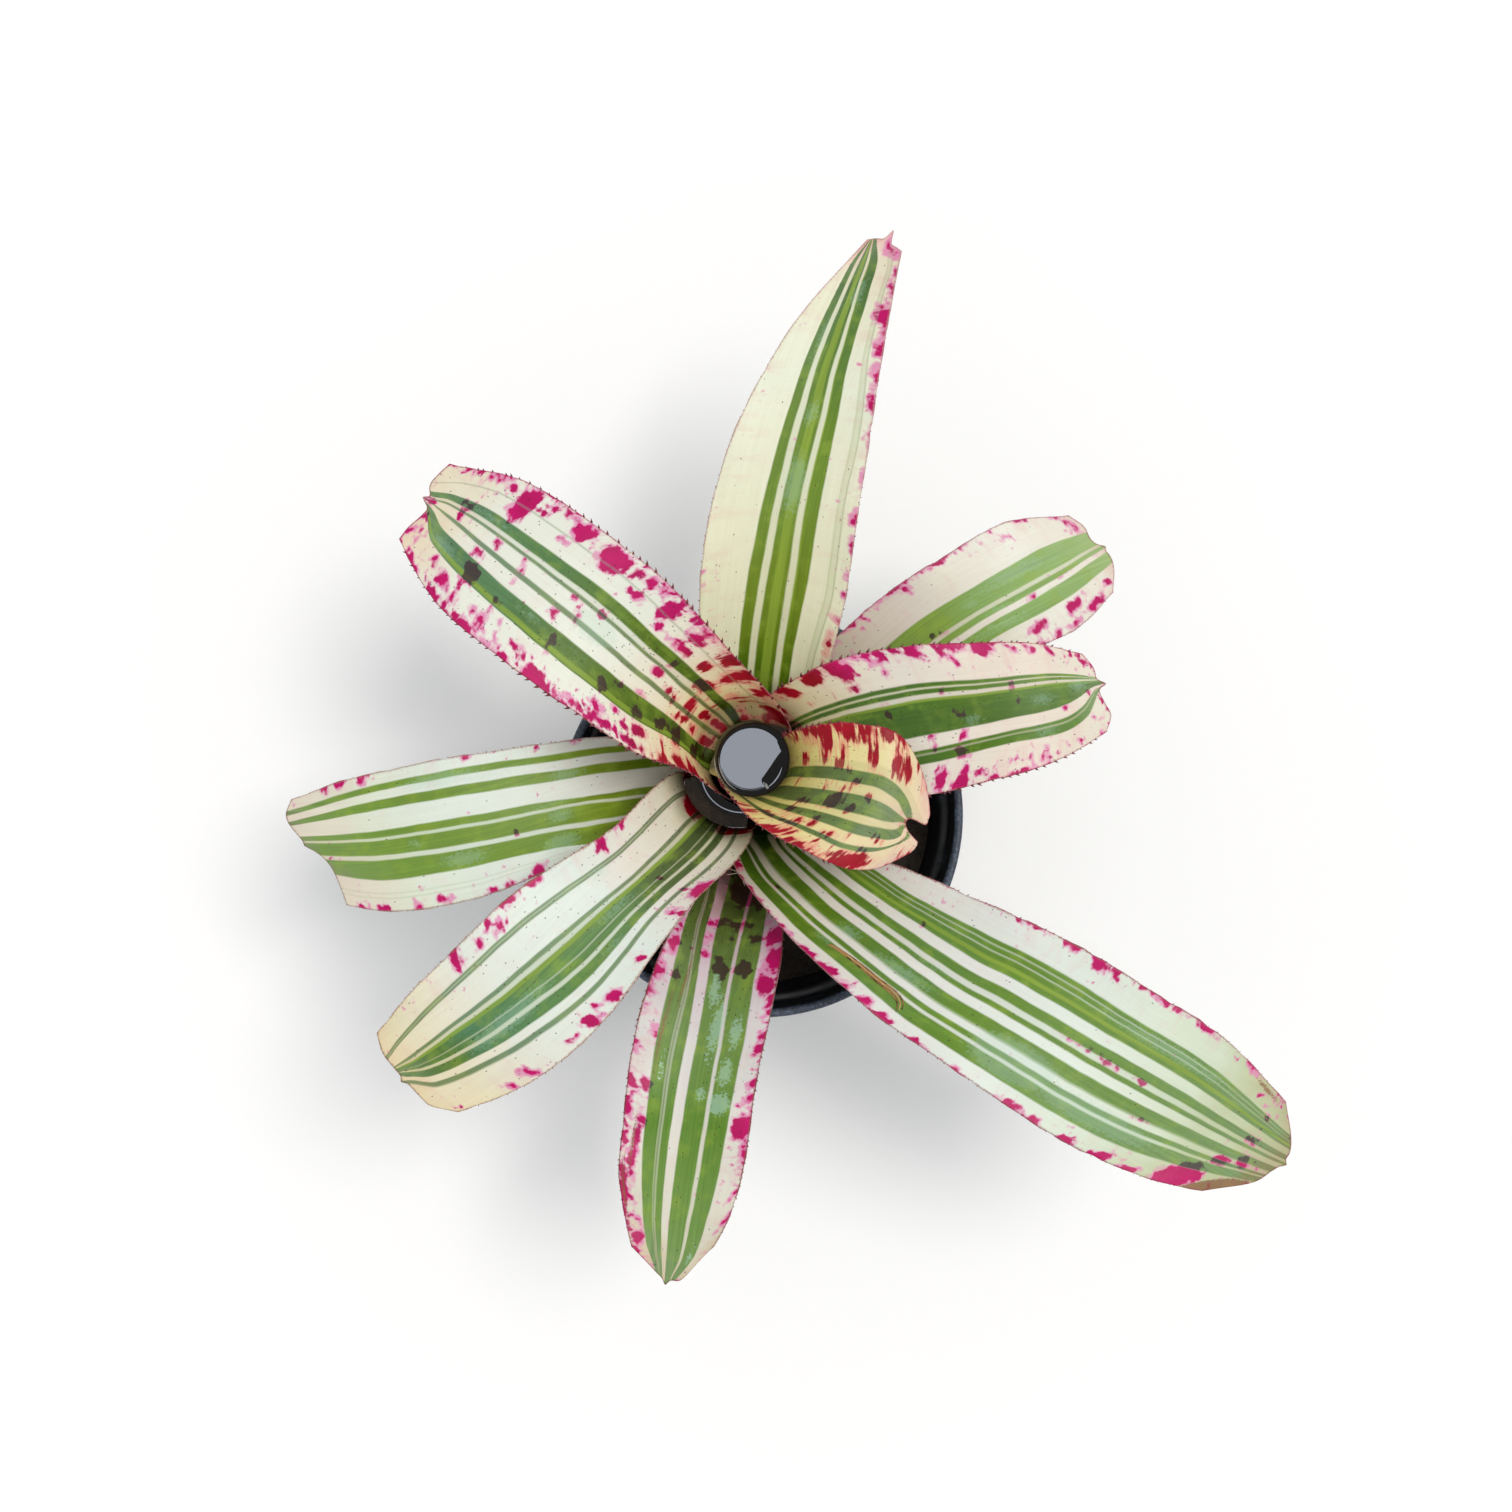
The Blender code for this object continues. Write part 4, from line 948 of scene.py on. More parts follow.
def noise_field(
    tree: bpy.types.NodeTree, vector: object, scale: float, detail: float = 2.0, roughness: float = 0.5
) -> bpy.types.Node:
    """Add a noise over places, with its scale, its octaves and their strength."""
    inputs = {"Vector": vector, "Scale": scale, "Detail": detail, "Roughness": roughness}
    return add_node(tree, "ShaderNodeTexNoise", inputs)


def bump_node(tree: bpy.types.NodeTree, height: object, depth: float, strength: float) -> bpy.types.Node:
    """Add a relief of a depth in millimetres.

    Args:
        tree: the node tree.
        height: what the relief follows.
        depth: how deep it is.
        strength: how much of it shows.

    Returns:
        The new node.
    """
    return add_node(
        tree, "ShaderNodeBump", {"Height": height, "Distance": depth * MM, "Strength": strength}
    )


def add_ramp(tree: bpy.types.NodeTree, place: object, stops: list[tuple[float, tuple]]) -> bpy.types.Node:
    """Add a colour ramp.

    Args:
        tree: the node tree.
        place: what picks the colour.
        stops: place and colour of each, in rising order, 32 at most.

    Returns:
        The ramp's node.
    """
    node = add_node(tree, "ShaderNodeValToRGB", {"Fac": place})
    elements = node.color_ramp.elements
    while len(elements) > 1:
        elements.remove(elements[-1])
    elements[0].position, elements[0].color = stops[0]
    for place_of_stop, colour in stops[1:]:
        elements.new(place_of_stop).color = colour
    return node


def tone_ramp(tree: bpy.types.NodeTree, place: object, *stops: tuple[float, str]) -> bpy.types.Node:
    """Add a colour ramp out of places and sRGB hex values."""
    return add_ramp(tree, place, [(at, linear(colour)) for at, colour in stops])


def object_places(tree: bpy.types.NodeTree) -> bpy.types.NodeSocket:
    """Add the object's own coordinates and return their socket."""
    return add_node(tree, "ShaderNodeTexCoord").outputs["Object"]


def new_material(name: str) -> tuple[bpy.types.Material, bpy.types.NodeTree, bpy.types.Node]:
    """Return a new material, its node tree and its shader.

    Args:
        name: the material's name.

    Returns:
        The three of them.
    """
    material = bpy.data.materials.new(name)
    material.use_nodes = True
    return material, material.node_tree, material.node_tree.nodes["Principled BSDF"]


def new_tree(name: str, inputs: dict[str, str], output: str) -> tuple[bpy.types.NodeTree, dict]:
    """Return a new geometry-node tree and the sockets of what it is given.

    Args:
        name: the tree's name.
        inputs: the kind of each input by its name.
        output: the name of the geometry that comes out.

    Returns:
        The tree, and its inputs' sockets by name.
    """
    tree = bpy.data.node_groups.new(name, "GeometryNodeTree")
    for key, kind in inputs.items():
        tree.interface.new_socket(key, in_out="INPUT", socket_type=f"NodeSocket{kind}")
    tree.interface.new_socket(output, in_out="OUTPUT", socket_type="NodeSocketGeometry")
    given = add_node(tree, "NodeGroupInput").outputs
    return tree, {key: given[key] for key in inputs}


def run_tree(obj: bpy.types.Object, tree: bpy.types.NodeTree, values: dict, name: str) -> bpy.types.Object:
    """Run a geometry-node tree on an object and keep the result as a plain piece.

    Args:
        obj: the object, which is removed.
        tree: the tree.
        values: what its inputs get, by name.
        name: the new piece's name.

    Returns:
        The plain piece.
    """
    modifier = obj.modifiers.new(tree.name, "NODES")
    modifier.node_group = tree
    for item in tree.interface.items_tree:
        if item.in_out == "INPUT" and item.name in values:
            modifier[item.identifier] = values[item.name]
    return bake_down(obj, name)


def write_field(mesh: bpy.types.Mesh, key: str, field: np.ndarray) -> None:
    """Store a value or a vector for each vertex.

    Args:
        mesh: the mesh.
        key: the attribute's name.
        field: one value, or one row of three, for each vertex.
    """
    kind, slot = ("FLOAT", "value") if field.ndim == 1 else ("FLOAT_VECTOR", "vector")
    layer = mesh.attributes.new(key, kind, "POINT")
    layer.data.foreach_set(slot, field.astype(np.float32).ravel())


def unit(vectors: np.ndarray, spare: float = 0.0) -> np.ndarray:
    """Return vectors at length 1, with a spare length that keeps zero ones finite."""
    return vectors / (np.linalg.norm(vectors, axis=-1, keepdims=True) + spare)


def new_piece(
    name: str, verts: np.ndarray, faces: list, material: bpy.types.Material | None
) -> bpy.types.Object:
    """Link a smooth mesh, given in millimetres, as an object at the origin.

    Args:
        name: the piece's name.
        verts: positions in millimetres.
        faces: tuples or rows of vertex numbers.
        material: its material, or None.

    Returns:
        The new object.
    """
    mesh = bpy.data.meshes.new(name)
    mesh.from_pydata((np.asarray(verts) * MM).tolist(), [], [tuple(map(int, face)) for face in faces])
    mesh.polygons.foreach_set("use_smooth", [True] * len(mesh.polygons))
    obj = bpy.data.objects.new(name, mesh)
    bpy.context.scene.collection.objects.link(obj)
    if material is not None:
        mesh.materials.append(material)
    mesh.update()
    return obj


def bake_down(obj: bpy.types.Object, name: str) -> bpy.types.Object:
    """Turn an object with live modifiers into a plain mesh of its own.

    Args:
        obj: the object, which is removed.
        name: the new piece's name.

    Returns:
        The plain piece.
    """
    evaluated = obj.evaluated_get(bpy.context.evaluated_depsgraph_get())
    mesh = bpy.data.meshes.new_from_object(evaluated)
    bpy.data.objects.remove(obj)
    mesh.name = name
    plain = bpy.data.objects.new(name, mesh)
    bpy.context.scene.collection.objects.link(plain)
    return plain


def claim(piece: bpy.types.Object, slot: str, *nodes: str) -> None:
    """Tie a piece to the frame: its body and the nodes that it stands for.

    Args:
        piece: the finished piece.
        slot: not used.
        nodes: the CAD nodes that it replaces.
    """
    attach(piece, BODY)
    if nodes:
        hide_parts(*nodes)
    log.info("%s: %d faces", piece.name, len(piece.data.polygons))


def rosette_frame() -> tuple[np.ndarray, np.ndarray]:
    """Return the rosette's turn as a 3 by 3 matrix and its foot in millimetres."""
    lean = Vector((0.0, 0.0, 1.0)).rotation_difference(CUP_CENTRE - ROSETTE_FOOT)
    return np.array(lean.to_matrix()), np.array(ROSETTE_FOOT)


def to_world(points: np.ndarray) -> np.ndarray:
    """Carry points in millimetres from the rosette's frame into the row frame."""
    turn, foot = rosette_frame()
    return points @ turn.T + foot


def world_at_pixel(x: float, y: float, height: float) -> np.ndarray:
    """Return the place in millimetres that the photograph shows at a pixel, at a height.

    Args:
        x: pixels from the left.
        y: pixels from the top.
        height: millimetres over the floor.

    Returns:
        The place in the row frame.
    """
    scale = (CAMERA_PLACE.z - height) / FOCAL_PIXELS
    middle = FRAME_PIXELS / 2
    return np.array((CAMERA_PLACE.x + (x - middle) * scale, CAMERA_PLACE.y - (y - middle) * scale, height))


class LeafSurface:
    """The middle surface of one leaf, in the rosette's own frame."""

    SAMPLES = 200
    SHEATH_WAIST = (0.55, 0.97)

    def __init__(self, shape: LeafShape) -> None:
        """Measure the leaf's path and widths.

        Args:
            shape: the leaf's sizes.
        """
        self.shape = shape
        rise = np.asarray(shape.rise, dtype=float)
        chord = np.concatenate(([0.0], np.cumsum(np.hypot(*np.diff(rise, axis=0).T))))
        along = np.linspace(0.0, chord[-1], self.SAMPLES)
        self.radius = knot_curve(chord, rise[:, 0], along, tight=True)
        self.height = knot_curve(chord, rise[:, 1], along, tight=True)
        steps = np.hypot(np.diff(self.radius), np.diff(self.height))
        self.path = np.concatenate(([0.0], np.cumsum(steps)))
        self.length = float(self.path[-1])
        self.sheath_length = float(np.interp(chord[2], along, self.path))
        self.blade_length = self.length - self.sheath_length
        turn = math.radians(SHEATH_HALF_TURN)
        blade_stations = [self.sheath_length + self.blade_length * w for w in WIDTH_STATIONS]
        waist_place, waist_width = self.SHEATH_WAIST
        self.width_stations = [0.0, waist_place * self.sheath_length, *blade_stations]
        self.widths = [turn * rise[0, 0], turn * waist_width * rise[1, 0], *shape.half_widths]

    def half_width(self, s: np.ndarray) -> np.ndarray:
        """Return the distance from the midline to a margin, at distances along the leaf."""
        return knot_curve(self.width_stations, self.widths, s)

    def trim(self, row: np.ndarray, across: np.ndarray) -> np.ndarray:
        """Return distances along the leaf once its end is cut to shape.

        Args:
            row: distances along the midline.
            across: places across the leaf.

        Returns:
            The distances along the leaf.
        """
        row_share = np.clip((row - self.sheath_length) / self.blade_length, 0.0, 1.0)
        return row - knot_curve(TIP_STATIONS, self.shape.tip_cut, across) * row_share**2

    def points(self, row: np.ndarray, across: np.ndarray) -> np.ndarray:
        """Return positions in the rosette's frame.

        Args:
            row: distances along the midline.
            across: places across the leaf.

        Returns:
            Positions in millimetres.
        """
        shape = self.shape
        s = self.trim(row, across)
        radius = np.interp(s, self.path, self.radius)
        height = np.interp(s, self.path, self.height)
        climb = np.interp(s, self.path, np.gradient(self.height, self.path))
        reach = np.interp(s, self.path, np.gradient(self.radius, self.path))
        slope = np.arctan2(climb, reach)
        share = np.clip((s - self.sheath_length) / self.blade_length, 0.0, 1.0)
        bearing = np.radians(knot_curve(BEARING_STATIONS, shape.bearings, share))
        angle = bearing + across * self.half_width(s) / radius
        lift = knot_curve(CHANNEL_STATIONS, (0.0, *shape.channel), share) * across**2
        wave_height, wave_length = shape.wave
        ripple = np.sin(2 * math.pi * s / wave_length + 1.3 * np.sign(across))
        lift = lift + wave_height * ripple * abs(across) ** 3 * np.clip(4 * share, 0.0, 1.0)
        outward = radius - np.sin(slope) * lift
        upward = height + np.cos(slope) * lift
        return np.stack((outward * np.cos(angle), outward * np.sin(angle), upward), axis=-1)

    def inner_radius(self, height: float) -> float:
        """Return the radius of a sheath's inner face at a height in the rosette's frame."""
        rising = np.maximum.accumulate(self.height)
        return float(np.interp(height, rising, self.radius)) - BLADE_THICKNESS / 2

    def half_angle(self, height: float) -> float:
        """Return the angle that a sheath covers to each side of its midline at a height.

        Args:
            height: height over the mix.

        Returns:
            The angle in radians.
        """
        rising = np.maximum.accumulate(self.height)
        s = np.interp(height, rising, self.path)
        return float(self.half_width(s) / np.interp(s, self.path, self.radius))


def patch_field(
    patches: tuple, share: np.ndarray, across: np.ndarray, length: float, width: np.ndarray
) -> np.ndarray:
    """Return how deep each place lies inside the nearest of some oval patches.

    Args:
        patches: first and last share, first and last place across, and a slant, of each.
        share: shares along the leaf.
        across: places across it.
        length: the blade's length in millimetres.
        width: the leaf's half width in millimetres.

    Returns:
        Millimetres to the nearest outline, above 0 inside a patch and -6 at least.
    """
    field = np.full(np.broadcast(share, across).shape, -6.0)
    for patch in patches:
        first, last, left, right = patch[:4]
        slant = patch[4] if len(patch) > 4 else 0.0
        left = left - 0.1 if left <= -1.0 else left
        right = right + 0.1 if right >= 1.0 else right
        middle = (left + right) / 2
        shift = share - (first + last) / 2 - slant * (across - middle)
        reach = (2 * shift / (last - first)) ** 2 + abs(2 * (across - middle) / (right - left)) ** 2.4
        size = np.minimum((last - first) * length, (right - left) * width) / 2
        field = np.maximum(field, (1.0 - np.sqrt(reach)) * size)
    return field


@dataclass(frozen=True)
class LeafFields:
    """What the layers of a leaf's look share: the fields painted on the leaf and three noises.

    read: the painted values by name.
    flat: millimetres across and along the leaf.
    mottle: soft patches some 7 mm across.
    flecks: flecks about a millimetre across.
    grit: grains about half a millimetre across.
    """

    read: dict[str, bpy.types.NodeSocket]
    flat: bpy.types.NodeSocket
    mottle: bpy.types.Node
    flecks: bpy.types.Node
    grit: bpy.types.Node


@dataclass(frozen=True)
class BandedLeafFinish:
    """Living bromeliad leaf: leathery, satin, with cream and green tissue side by side.

    The eye gets lengthwise bands with slightly soft borders, crosswise crimson to magenta marks
    that turn maroon on the green, dark specks, powdery pale scurf with painted glints and sheen,
    painted shade at the bases and by the water, and fine parallel veins.
    """

    KEYS = ("band", "share", "mark", "bloom_and_glint", "dry", "edge", "under", "wet_and_shade", "scatter")

    name: str
    dress: LeafDress
    vein_spacing: float = 0.9
    vein_height: float = 0.045
    lump_size: tuple[float, float] = (3.4, 2.6)
    streak_length: float = 9.0
    speck_spacing: float = 1.8
    border: float = 0.011
    sway: float = 0.05
    cream_light: float = 0.95
    green_light: float = 0.84

    def fields(self, tree: bpy.types.NodeTree) -> LeafFields:
        """Add the nodes that every layer reads.

        Args:
            tree: the node tree.

        Returns:
            The shared fields.
        """
        read = {
            key: add_node(tree, "ShaderNodeAttribute", attribute_name=key).outputs["Fac"]
            for key in self.KEYS
        }
        flat = add_node(tree, "ShaderNodeAttribute", attribute_name="flat").outputs["Vector"]
        mottle = noise_field(tree, flat, 0.14, 4.0)
        flecks = noise_field(tree, flat, 0.9, 4.0, 0.7)
        grit = noise_field(tree, flat, 1.7, 2.0)
        return LeafFields(read, flat, mottle, flecks, grit)

    def band_stops(self, low: float, high: float) -> list[tuple[float, tuple]]:
        """Return the ramp stops of the bands in one half of the leaf.

        Args:
            low: place across where the half starts.
            high: place across where it ends.

        Returns:
            Place and mask colour of each stop.
        """
        bands = self.dress.bands
        inside = [kind for start, kind in bands if start <= low + 1e-6][-1]
        stops = [(0.0, (*inside.value, 1.0))]
        for start, kind in bands:
            if low < start < high:
                place = (start - low) / (high - low)
                stops.append((place - self.border, stops[-1][1]))
                stops.append((place + self.border, (*kind.value, 1.0)))
        return stops

    def tissue_stops(self, tones: tuple, light: float) -> list[tuple[float, tuple]]:
        """Return the ramp stops of one kind of tissue, from the sheath at -0.3 to the tip at 1.

        Args:
            tones: share along the blade and colour of each stop.
            light: how much of the colour is the tissue's.

        Returns:
            Place and linear colour of each stop.
        """
        return [((share + 0.3) / 1.3, without_sheen(colour, light)) for share, colour in tones]

    def band_masks(self, tree: bpy.types.NodeTree, fields: LeafFields) -> bpy.types.Node:
        """Add the bands, whose borders sway slowly, as masks of green, yellow and depth.

        Args:
            tree: the node tree.
            fields: the shared fields.

        Returns:
            The node whose outputs are the masks.
        """
        sway = noise_field(tree, stretch(tree, fields.flat, (0.02, 0.045, 1.0)), 1.0, 2.0)
        swayed = math_node(tree, "MULTIPLY_ADD", sway, self.sway, fields.read["band"])
        band = math_node(tree, "SUBTRACT", swayed, self.sway / 2)
        left_place = math_node(tree, "ADD", band, 1.0)
        left = add_ramp(tree, left_place, self.band_stops(-1.0, 0.0))
        right = add_ramp(tree, band, self.band_stops(0.0, 1.0))
        mask = mix_colours(tree, math_node(tree, "GREATER_THAN", band, 0.0), left, right)
        return add_node(tree, "ShaderNodeSeparateColor", {"Color": mask})

    def tissue(
        self, tree: bpy.types.NodeTree, fields: LeafFields, masks: bpy.types.Node
    ) -> bpy.types.Node:
        """Add the colour of the living tissue without its marks.

        Args:
            tree: the material's tree.
            fields: the shared fields.
            masks: the bands' masks.

        Returns:
            The colour's node.
        """
        dress = self.dress
        greenness, yellow, depth = masks.outputs

        # Colours change slowly along the leaf and grow dark towards the sheath: partly the sheath's own
        # tone, partly painted shade where other leaves cover the bases
        wander = noise_field(tree, fields.flat, 0.06, 2.0)
        drift = math_node(tree, "MULTIPLY_ADD", wander, 0.16, fields.read["share"])
        place = remap(tree, drift, (-0.22, 1.08))
        ground = add_ramp(tree, place, self.tissue_stops(dress.ground, self.cream_light))
        # The green's lightness per leaf is partly painted light and shade
        green = add_ramp(tree, place, self.tissue_stops(dress.green, self.green_light * dress.shade))

        # Cream tissue: peach and pink stains some 8 mm across, strongest towards the margins
        stain_noise = noise_field(tree, stretch(tree, fields.flat, (0.07, 0.2, 1.0)), 1.0, 4.0, 0.6)
        stain_band = remap(tree, stain_noise, (0.5, 0.75))
        near_edge = remap(tree, fields.read["edge"], (14.0, 1.0), (0.35, 1.0))
        stain = math_node(tree, "MULTIPLY", stain_band, near_edge)
        stain_share = math_node(tree, "MULTIPLY", stain, dress.stain)
        stained = mix_colours(tree, stain_share, ground, linear("dfa3a2"))

        # Green tissue: yellower or deeper by band, streaked along the veins
        streaks = noise_field(tree, stretch(tree, fields.flat, (0.9, 0.02, 1.0)), 1.0, 4.0, 0.65)
        golden = math_node(tree, "MULTIPLY", yellow, 0.75)
        warm_patch = remap(tree, fields.mottle, (0.5, 0.7), (0.0, 0.4))
        warmth = math_node(tree, "MAXIMUM", golden, warm_patch)
        warm_green = mix_colours(tree, warmth, green, linear("8fa838"))
        deep_share = math_node(tree, "MULTIPLY", depth, 0.55)
        deep_green = mix_colours(tree, deep_share, warm_green, linear("3f5c24"))
        leaf_green = brighten(tree, deep_green, remap(tree, streaks, (0.3, 0.7), (0.84, 1.16)))
        leaf_cream = brighten(tree, stained, remap(tree, streaks, (0.3, 0.7), (0.955, 1.03)))
        return mix_colours(tree, greenness, leaf_cream, leaf_green)

    def bloom_and_glint_share(self, tree: bpy.types.NodeTree, fields: LeafFields) -> bpy.types.Node:
        """Add the share of scurf, or of a film of water, in patches broken up by flecks; its pale tint is
        partly a painted glint and sheen.

        Args:
            tree: the node tree.
            fields: the shared fields.

        Returns:
            The share's node.
        """
        edge = math_node(tree, "MULTIPLY_ADD", fields.flecks, 2.6, fields.read["bloom_and_glint"])
        if self.dress.gloss is Gloss.WET:
            return remap(tree, edge, (1.52, 1.7), (0.0, 0.5))
        return remap(tree, edge, (1.35, 1.9), (0.0, 0.24))

    def mark_field(
        self, tree: bpy.types.NodeTree, fields: LeafFields, reds: bpy.types.Node
    ) -> bpy.types.Node:
        """Add how deep each place lies in a mark, above 0 inside.

        The marks are lumps some 3 mm across that run together, drawn out crosswise near the cup.

        Args:
            tree: the material's tree.
            fields: the shared fields.
            reds: 0 where the marks are crimson, 1 where they are magenta.

        Returns:
            The field's node.
        """
        noises = []
        for shift in (0.0, 31.0):
            kinds = []
            for size in ((self.streak_length, self.dress.streak_width), self.lump_size):
                spread = stretch(tree, fields.flat, (1 / size[0], 1 / size[1], 1.0))
                spread.inputs["Location"].default_value = (shift, shift, 0.0)
                kinds.append(noise_field(tree, spread, 1.0, 1.5, 0.45))
            noises.append(mix_values(tree, reds, *kinds))
        rag, loose = noises
        cluster = noise_field(tree, fields.flat, 0.085, 1.0)
        ragged = math_node(tree, "MULTIPLY_ADD", rag, 5.6, fields.read["mark"])
        placed = math_node(tree, "SUBTRACT", ragged, 2.7)
        thick = math_node(tree, "MULTIPLY_ADD", fields.read["scatter"], 3.4, cluster)
        thicker = math_node(tree, "MULTIPLY_ADD", cluster, 4.0, thick)
        spread_out = math_node(tree, "MULTIPLY_ADD", loose, 9.0, thicker)
        loose_mark = math_node(tree, "SUBTRACT", spread_out, 10.5)
        smooth_mark = math_node(tree, "MAXIMUM", placed, loose_mark)
        gritty = math_node(tree, "MULTIPLY_ADD", fields.grit, 0.8, smooth_mark)
        return math_node(tree, "SUBTRACT", gritty, 0.4)

    def marked(
        self,
        tree: bpy.types.NodeTree,
        fields: LeafFields,
        greenness: bpy.types.NodeSocket,
        base: bpy.types.Node,
    ) -> bpy.types.Node:
        """Add the marks over a colour: a soft halo and a core on cream, maroon on green.

        Args:
            tree: the material's tree.
            fields: the shared fields.
            greenness: the mask of the green bands.
            base: the colour under the marks.

        Returns:
            The colour's node.
        """
        dress = self.dress
        share = fields.read["share"]
        reds = remap(tree, share, (dress.red_until, dress.red_until + 0.1))
        mark = self.mark_field(tree, fields, reds)
        paleness = remap(tree, fields.mottle, (0.46, 0.66), (dress.pale, 1.2 + dress.pale))
        deep_mark = math_node(tree, "SUBTRACT", mark, paleness)
        halo = remap(tree, mark, (-1.25, 0.5), smooth=True)
        core = remap(tree, deep_mark, (-0.5, 0.5), smooth=True)
        blood, magenta = (
            mix_colours(tree, fields.mottle, *(without_sheen(shade, self.cream_light) for shade in shades))
            for shades in (("740418", "c20a36"), ("a0044e", "da0a78"))
        )
        pigment = mix_colours(tree, reds, blood, magenta)
        tint = mix_colours(tree, reds, linear("e2606a"), linear("dc78ae"))
        cream_share = math_node(tree, "SUBTRACT", 1.0, greenness)
        halo_share = math_node(tree, "MULTIPLY", halo, cream_share)
        halo_strength = remap(tree, reds, (0.0, 1.0), (0.5, 0.8))
        halo_soft = math_node(tree, "MULTIPLY", halo_share, halo_strength)
        haloed = mix_colours(tree, halo_soft, base, tint)
        core_share = math_node(tree, "MULTIPLY", core, cream_share)
        on_cream = mix_colours(tree, core_share, haloed, pigment)
        maroon_share = math_node(tree, "MULTIPLY", core, greenness)
        maroon_soft = math_node(tree, "MULTIPLY", maroon_share, 0.86)
        maroon = mix_colours(tree, share, linear("300a0a"), linear("412838"))
        return mix_colours(tree, maroon_soft, on_cream, maroon)

    def specked(
        self, tree: bpy.types.NodeTree, fields: LeafFields, base: bpy.types.Node
    ) -> bpy.types.Node:
        """Add dark dots under half a millimetre across over a colour, on some of the cells only.

        Args:
            tree: the node tree.
            fields: the shared fields.
            base: the colour underneath.

        Returns:
            The colour's node.
        """
        specks = self.dress.specks
        drawn = stretch(tree, fields.flat, (1.35, 0.75, 1.0))
        cells = add_node(tree, "ShaderNodeTexVoronoi", {"Vector": drawn, "Scale": 1 / self.speck_spacing})
        cell_pick = add_node(tree, "ShaderNodeSeparateColor", {"Color": cells.outputs["Color"]})
        crowd = remap(tree, fields.read["share"], (0.75, 0.05), (0.3 * specks, specks))
        picked = math_node(tree, "LESS_THAN", cell_pick, crowd)
        dot = remap(tree, cells.outputs["Distance"], (0.19, 0.09), (0.0, 0.85))
        speck = math_node(tree, "MULTIPLY", picked, dot)
        return mix_colours(tree, speck, base, linear("2c0d14"))

    def withered(
        self, tree: bpy.types.NodeTree, fields: LeafFields, base: bpy.types.Node
    ) -> bpy.types.Node:
        """Add dead brown tissue with frayed borders and the thin dry line of the margins.

        Args:
            tree: the node tree.
            fields: the shared fields.
            base: the colour underneath.

        Returns:
            The colour's node.
        """
        fray = math_node(tree, "MULTIPLY_ADD", fields.grit, 2.4, fields.read["dry"])
        dead = remap(tree, fray, (1.0, 1.7), (0.0, 0.85))
        browns = mix_colours(tree, fields.mottle, linear("4e2a1c"), linear("a9794c"))
        dried = mix_colours(tree, dead, base, browns)
        rim_noise = math_node(tree, "MULTIPLY_ADD", fields.grit, -1.6, fields.read["edge"])
        rim = remap(tree, rim_noise, (-0.05, -0.75), (0.0, 0.75))
        return mix_colours(tree, rim, dried, linear(self.dress.edge))

    def relief(self, tree: bpy.types.NodeTree, fields: LeafFields) -> bpy.types.Node:
        """Add veins that run along the leaf, with pores and slight puckers between them.

        Args:
            tree: the node tree.
            fields: the shared fields.

        Returns:
            The bump's node.
        """
        veins = noise_field(tree, stretch(tree, fields.flat, (1 / self.vein_spacing, 0.012, 1.0)), 1.0, 2.0)
        pucker = noise_field(tree, stretch(tree, fields.flat, (0.1, 0.35, 1.0)), 1.0, 3.0)
        puckered = math_node(tree, "MULTIPLY_ADD", pucker, 1.6, veins)
        grain = math_node(tree, "MULTIPLY_ADD", fields.flecks, 0.35, puckered)
        return bump_node(tree, grain, self.vein_height, 1.0)

    def material(self) -> bpy.types.Material:
        """Return the leaf's material, which reads the leaf's own attributes."""
        material, tree, shader = new_material(self.name)
        fields = self.fields(tree)
        masks = self.band_masks(tree, fields)
        bloom_and_glint = self.bloom_and_glint_share(tree, fields)
        # Pale patches: partly scurf and water film, partly painted glints and sheen
        bloomed_and_glinted = mix_colours(tree, bloom_and_glint, self.tissue(tree, fields, masks), linear("a9cdb6"))
        blotched = self.marked(tree, fields, masks.outputs[0], bloomed_and_glinted)
        upper = self.withered(tree, fields, self.specked(tree, fields, blotched))

        # Underside: grey scurf dulls the bands
        scurf = noise_field(tree, stretch(tree, fields.flat, (0.12, 0.9, 1.0)), 1.0, 5.0, 0.7)
        scurf_share = remap(tree, scurf, (0.3, 0.7), (0.3, 0.72))
        under = math_node(tree, "MULTIPLY", scurf_share, fields.read["under"])
        dulled = mix_colours(tree, under, upper, linear("a9ad94"))

        # Tissue by the water line is darker: partly wet tissue, partly painted shade inside the cup and the
        # axil pool
        wet_and_shade = fields.read["wet_and_shade"]
        colour = brighten(tree, dulled, remap(tree, wet_and_shade, (0.0, 1.0), (1.0, 0.2)))

        # Satin skin: rougher on scurf, wet patches shine
        skin = remap(tree, fields.flecks, (0.3, 0.7), (0.36, 0.5))
        patch_mix = math_node(tree, "MULTIPLY", bloom_and_glint, 2.0)
        patched = mix_values(tree, patch_mix, skin, self.dress.gloss.value)
        wetted = mix_values(tree, wet_and_shade, patched, Gloss.WET.value)
        roughness = math_node(tree, "MULTIPLY_ADD", under, 0.35, wetted)
        normal = self.relief(tree, fields)
        feed(tree, shader, {"Base Color": colour, "Roughness": roughness, "Normal": normal})
        shader.inputs["IOR"].default_value = 1.43
        shader.inputs["Specular IOR Level"].default_value = 0.3
        return material


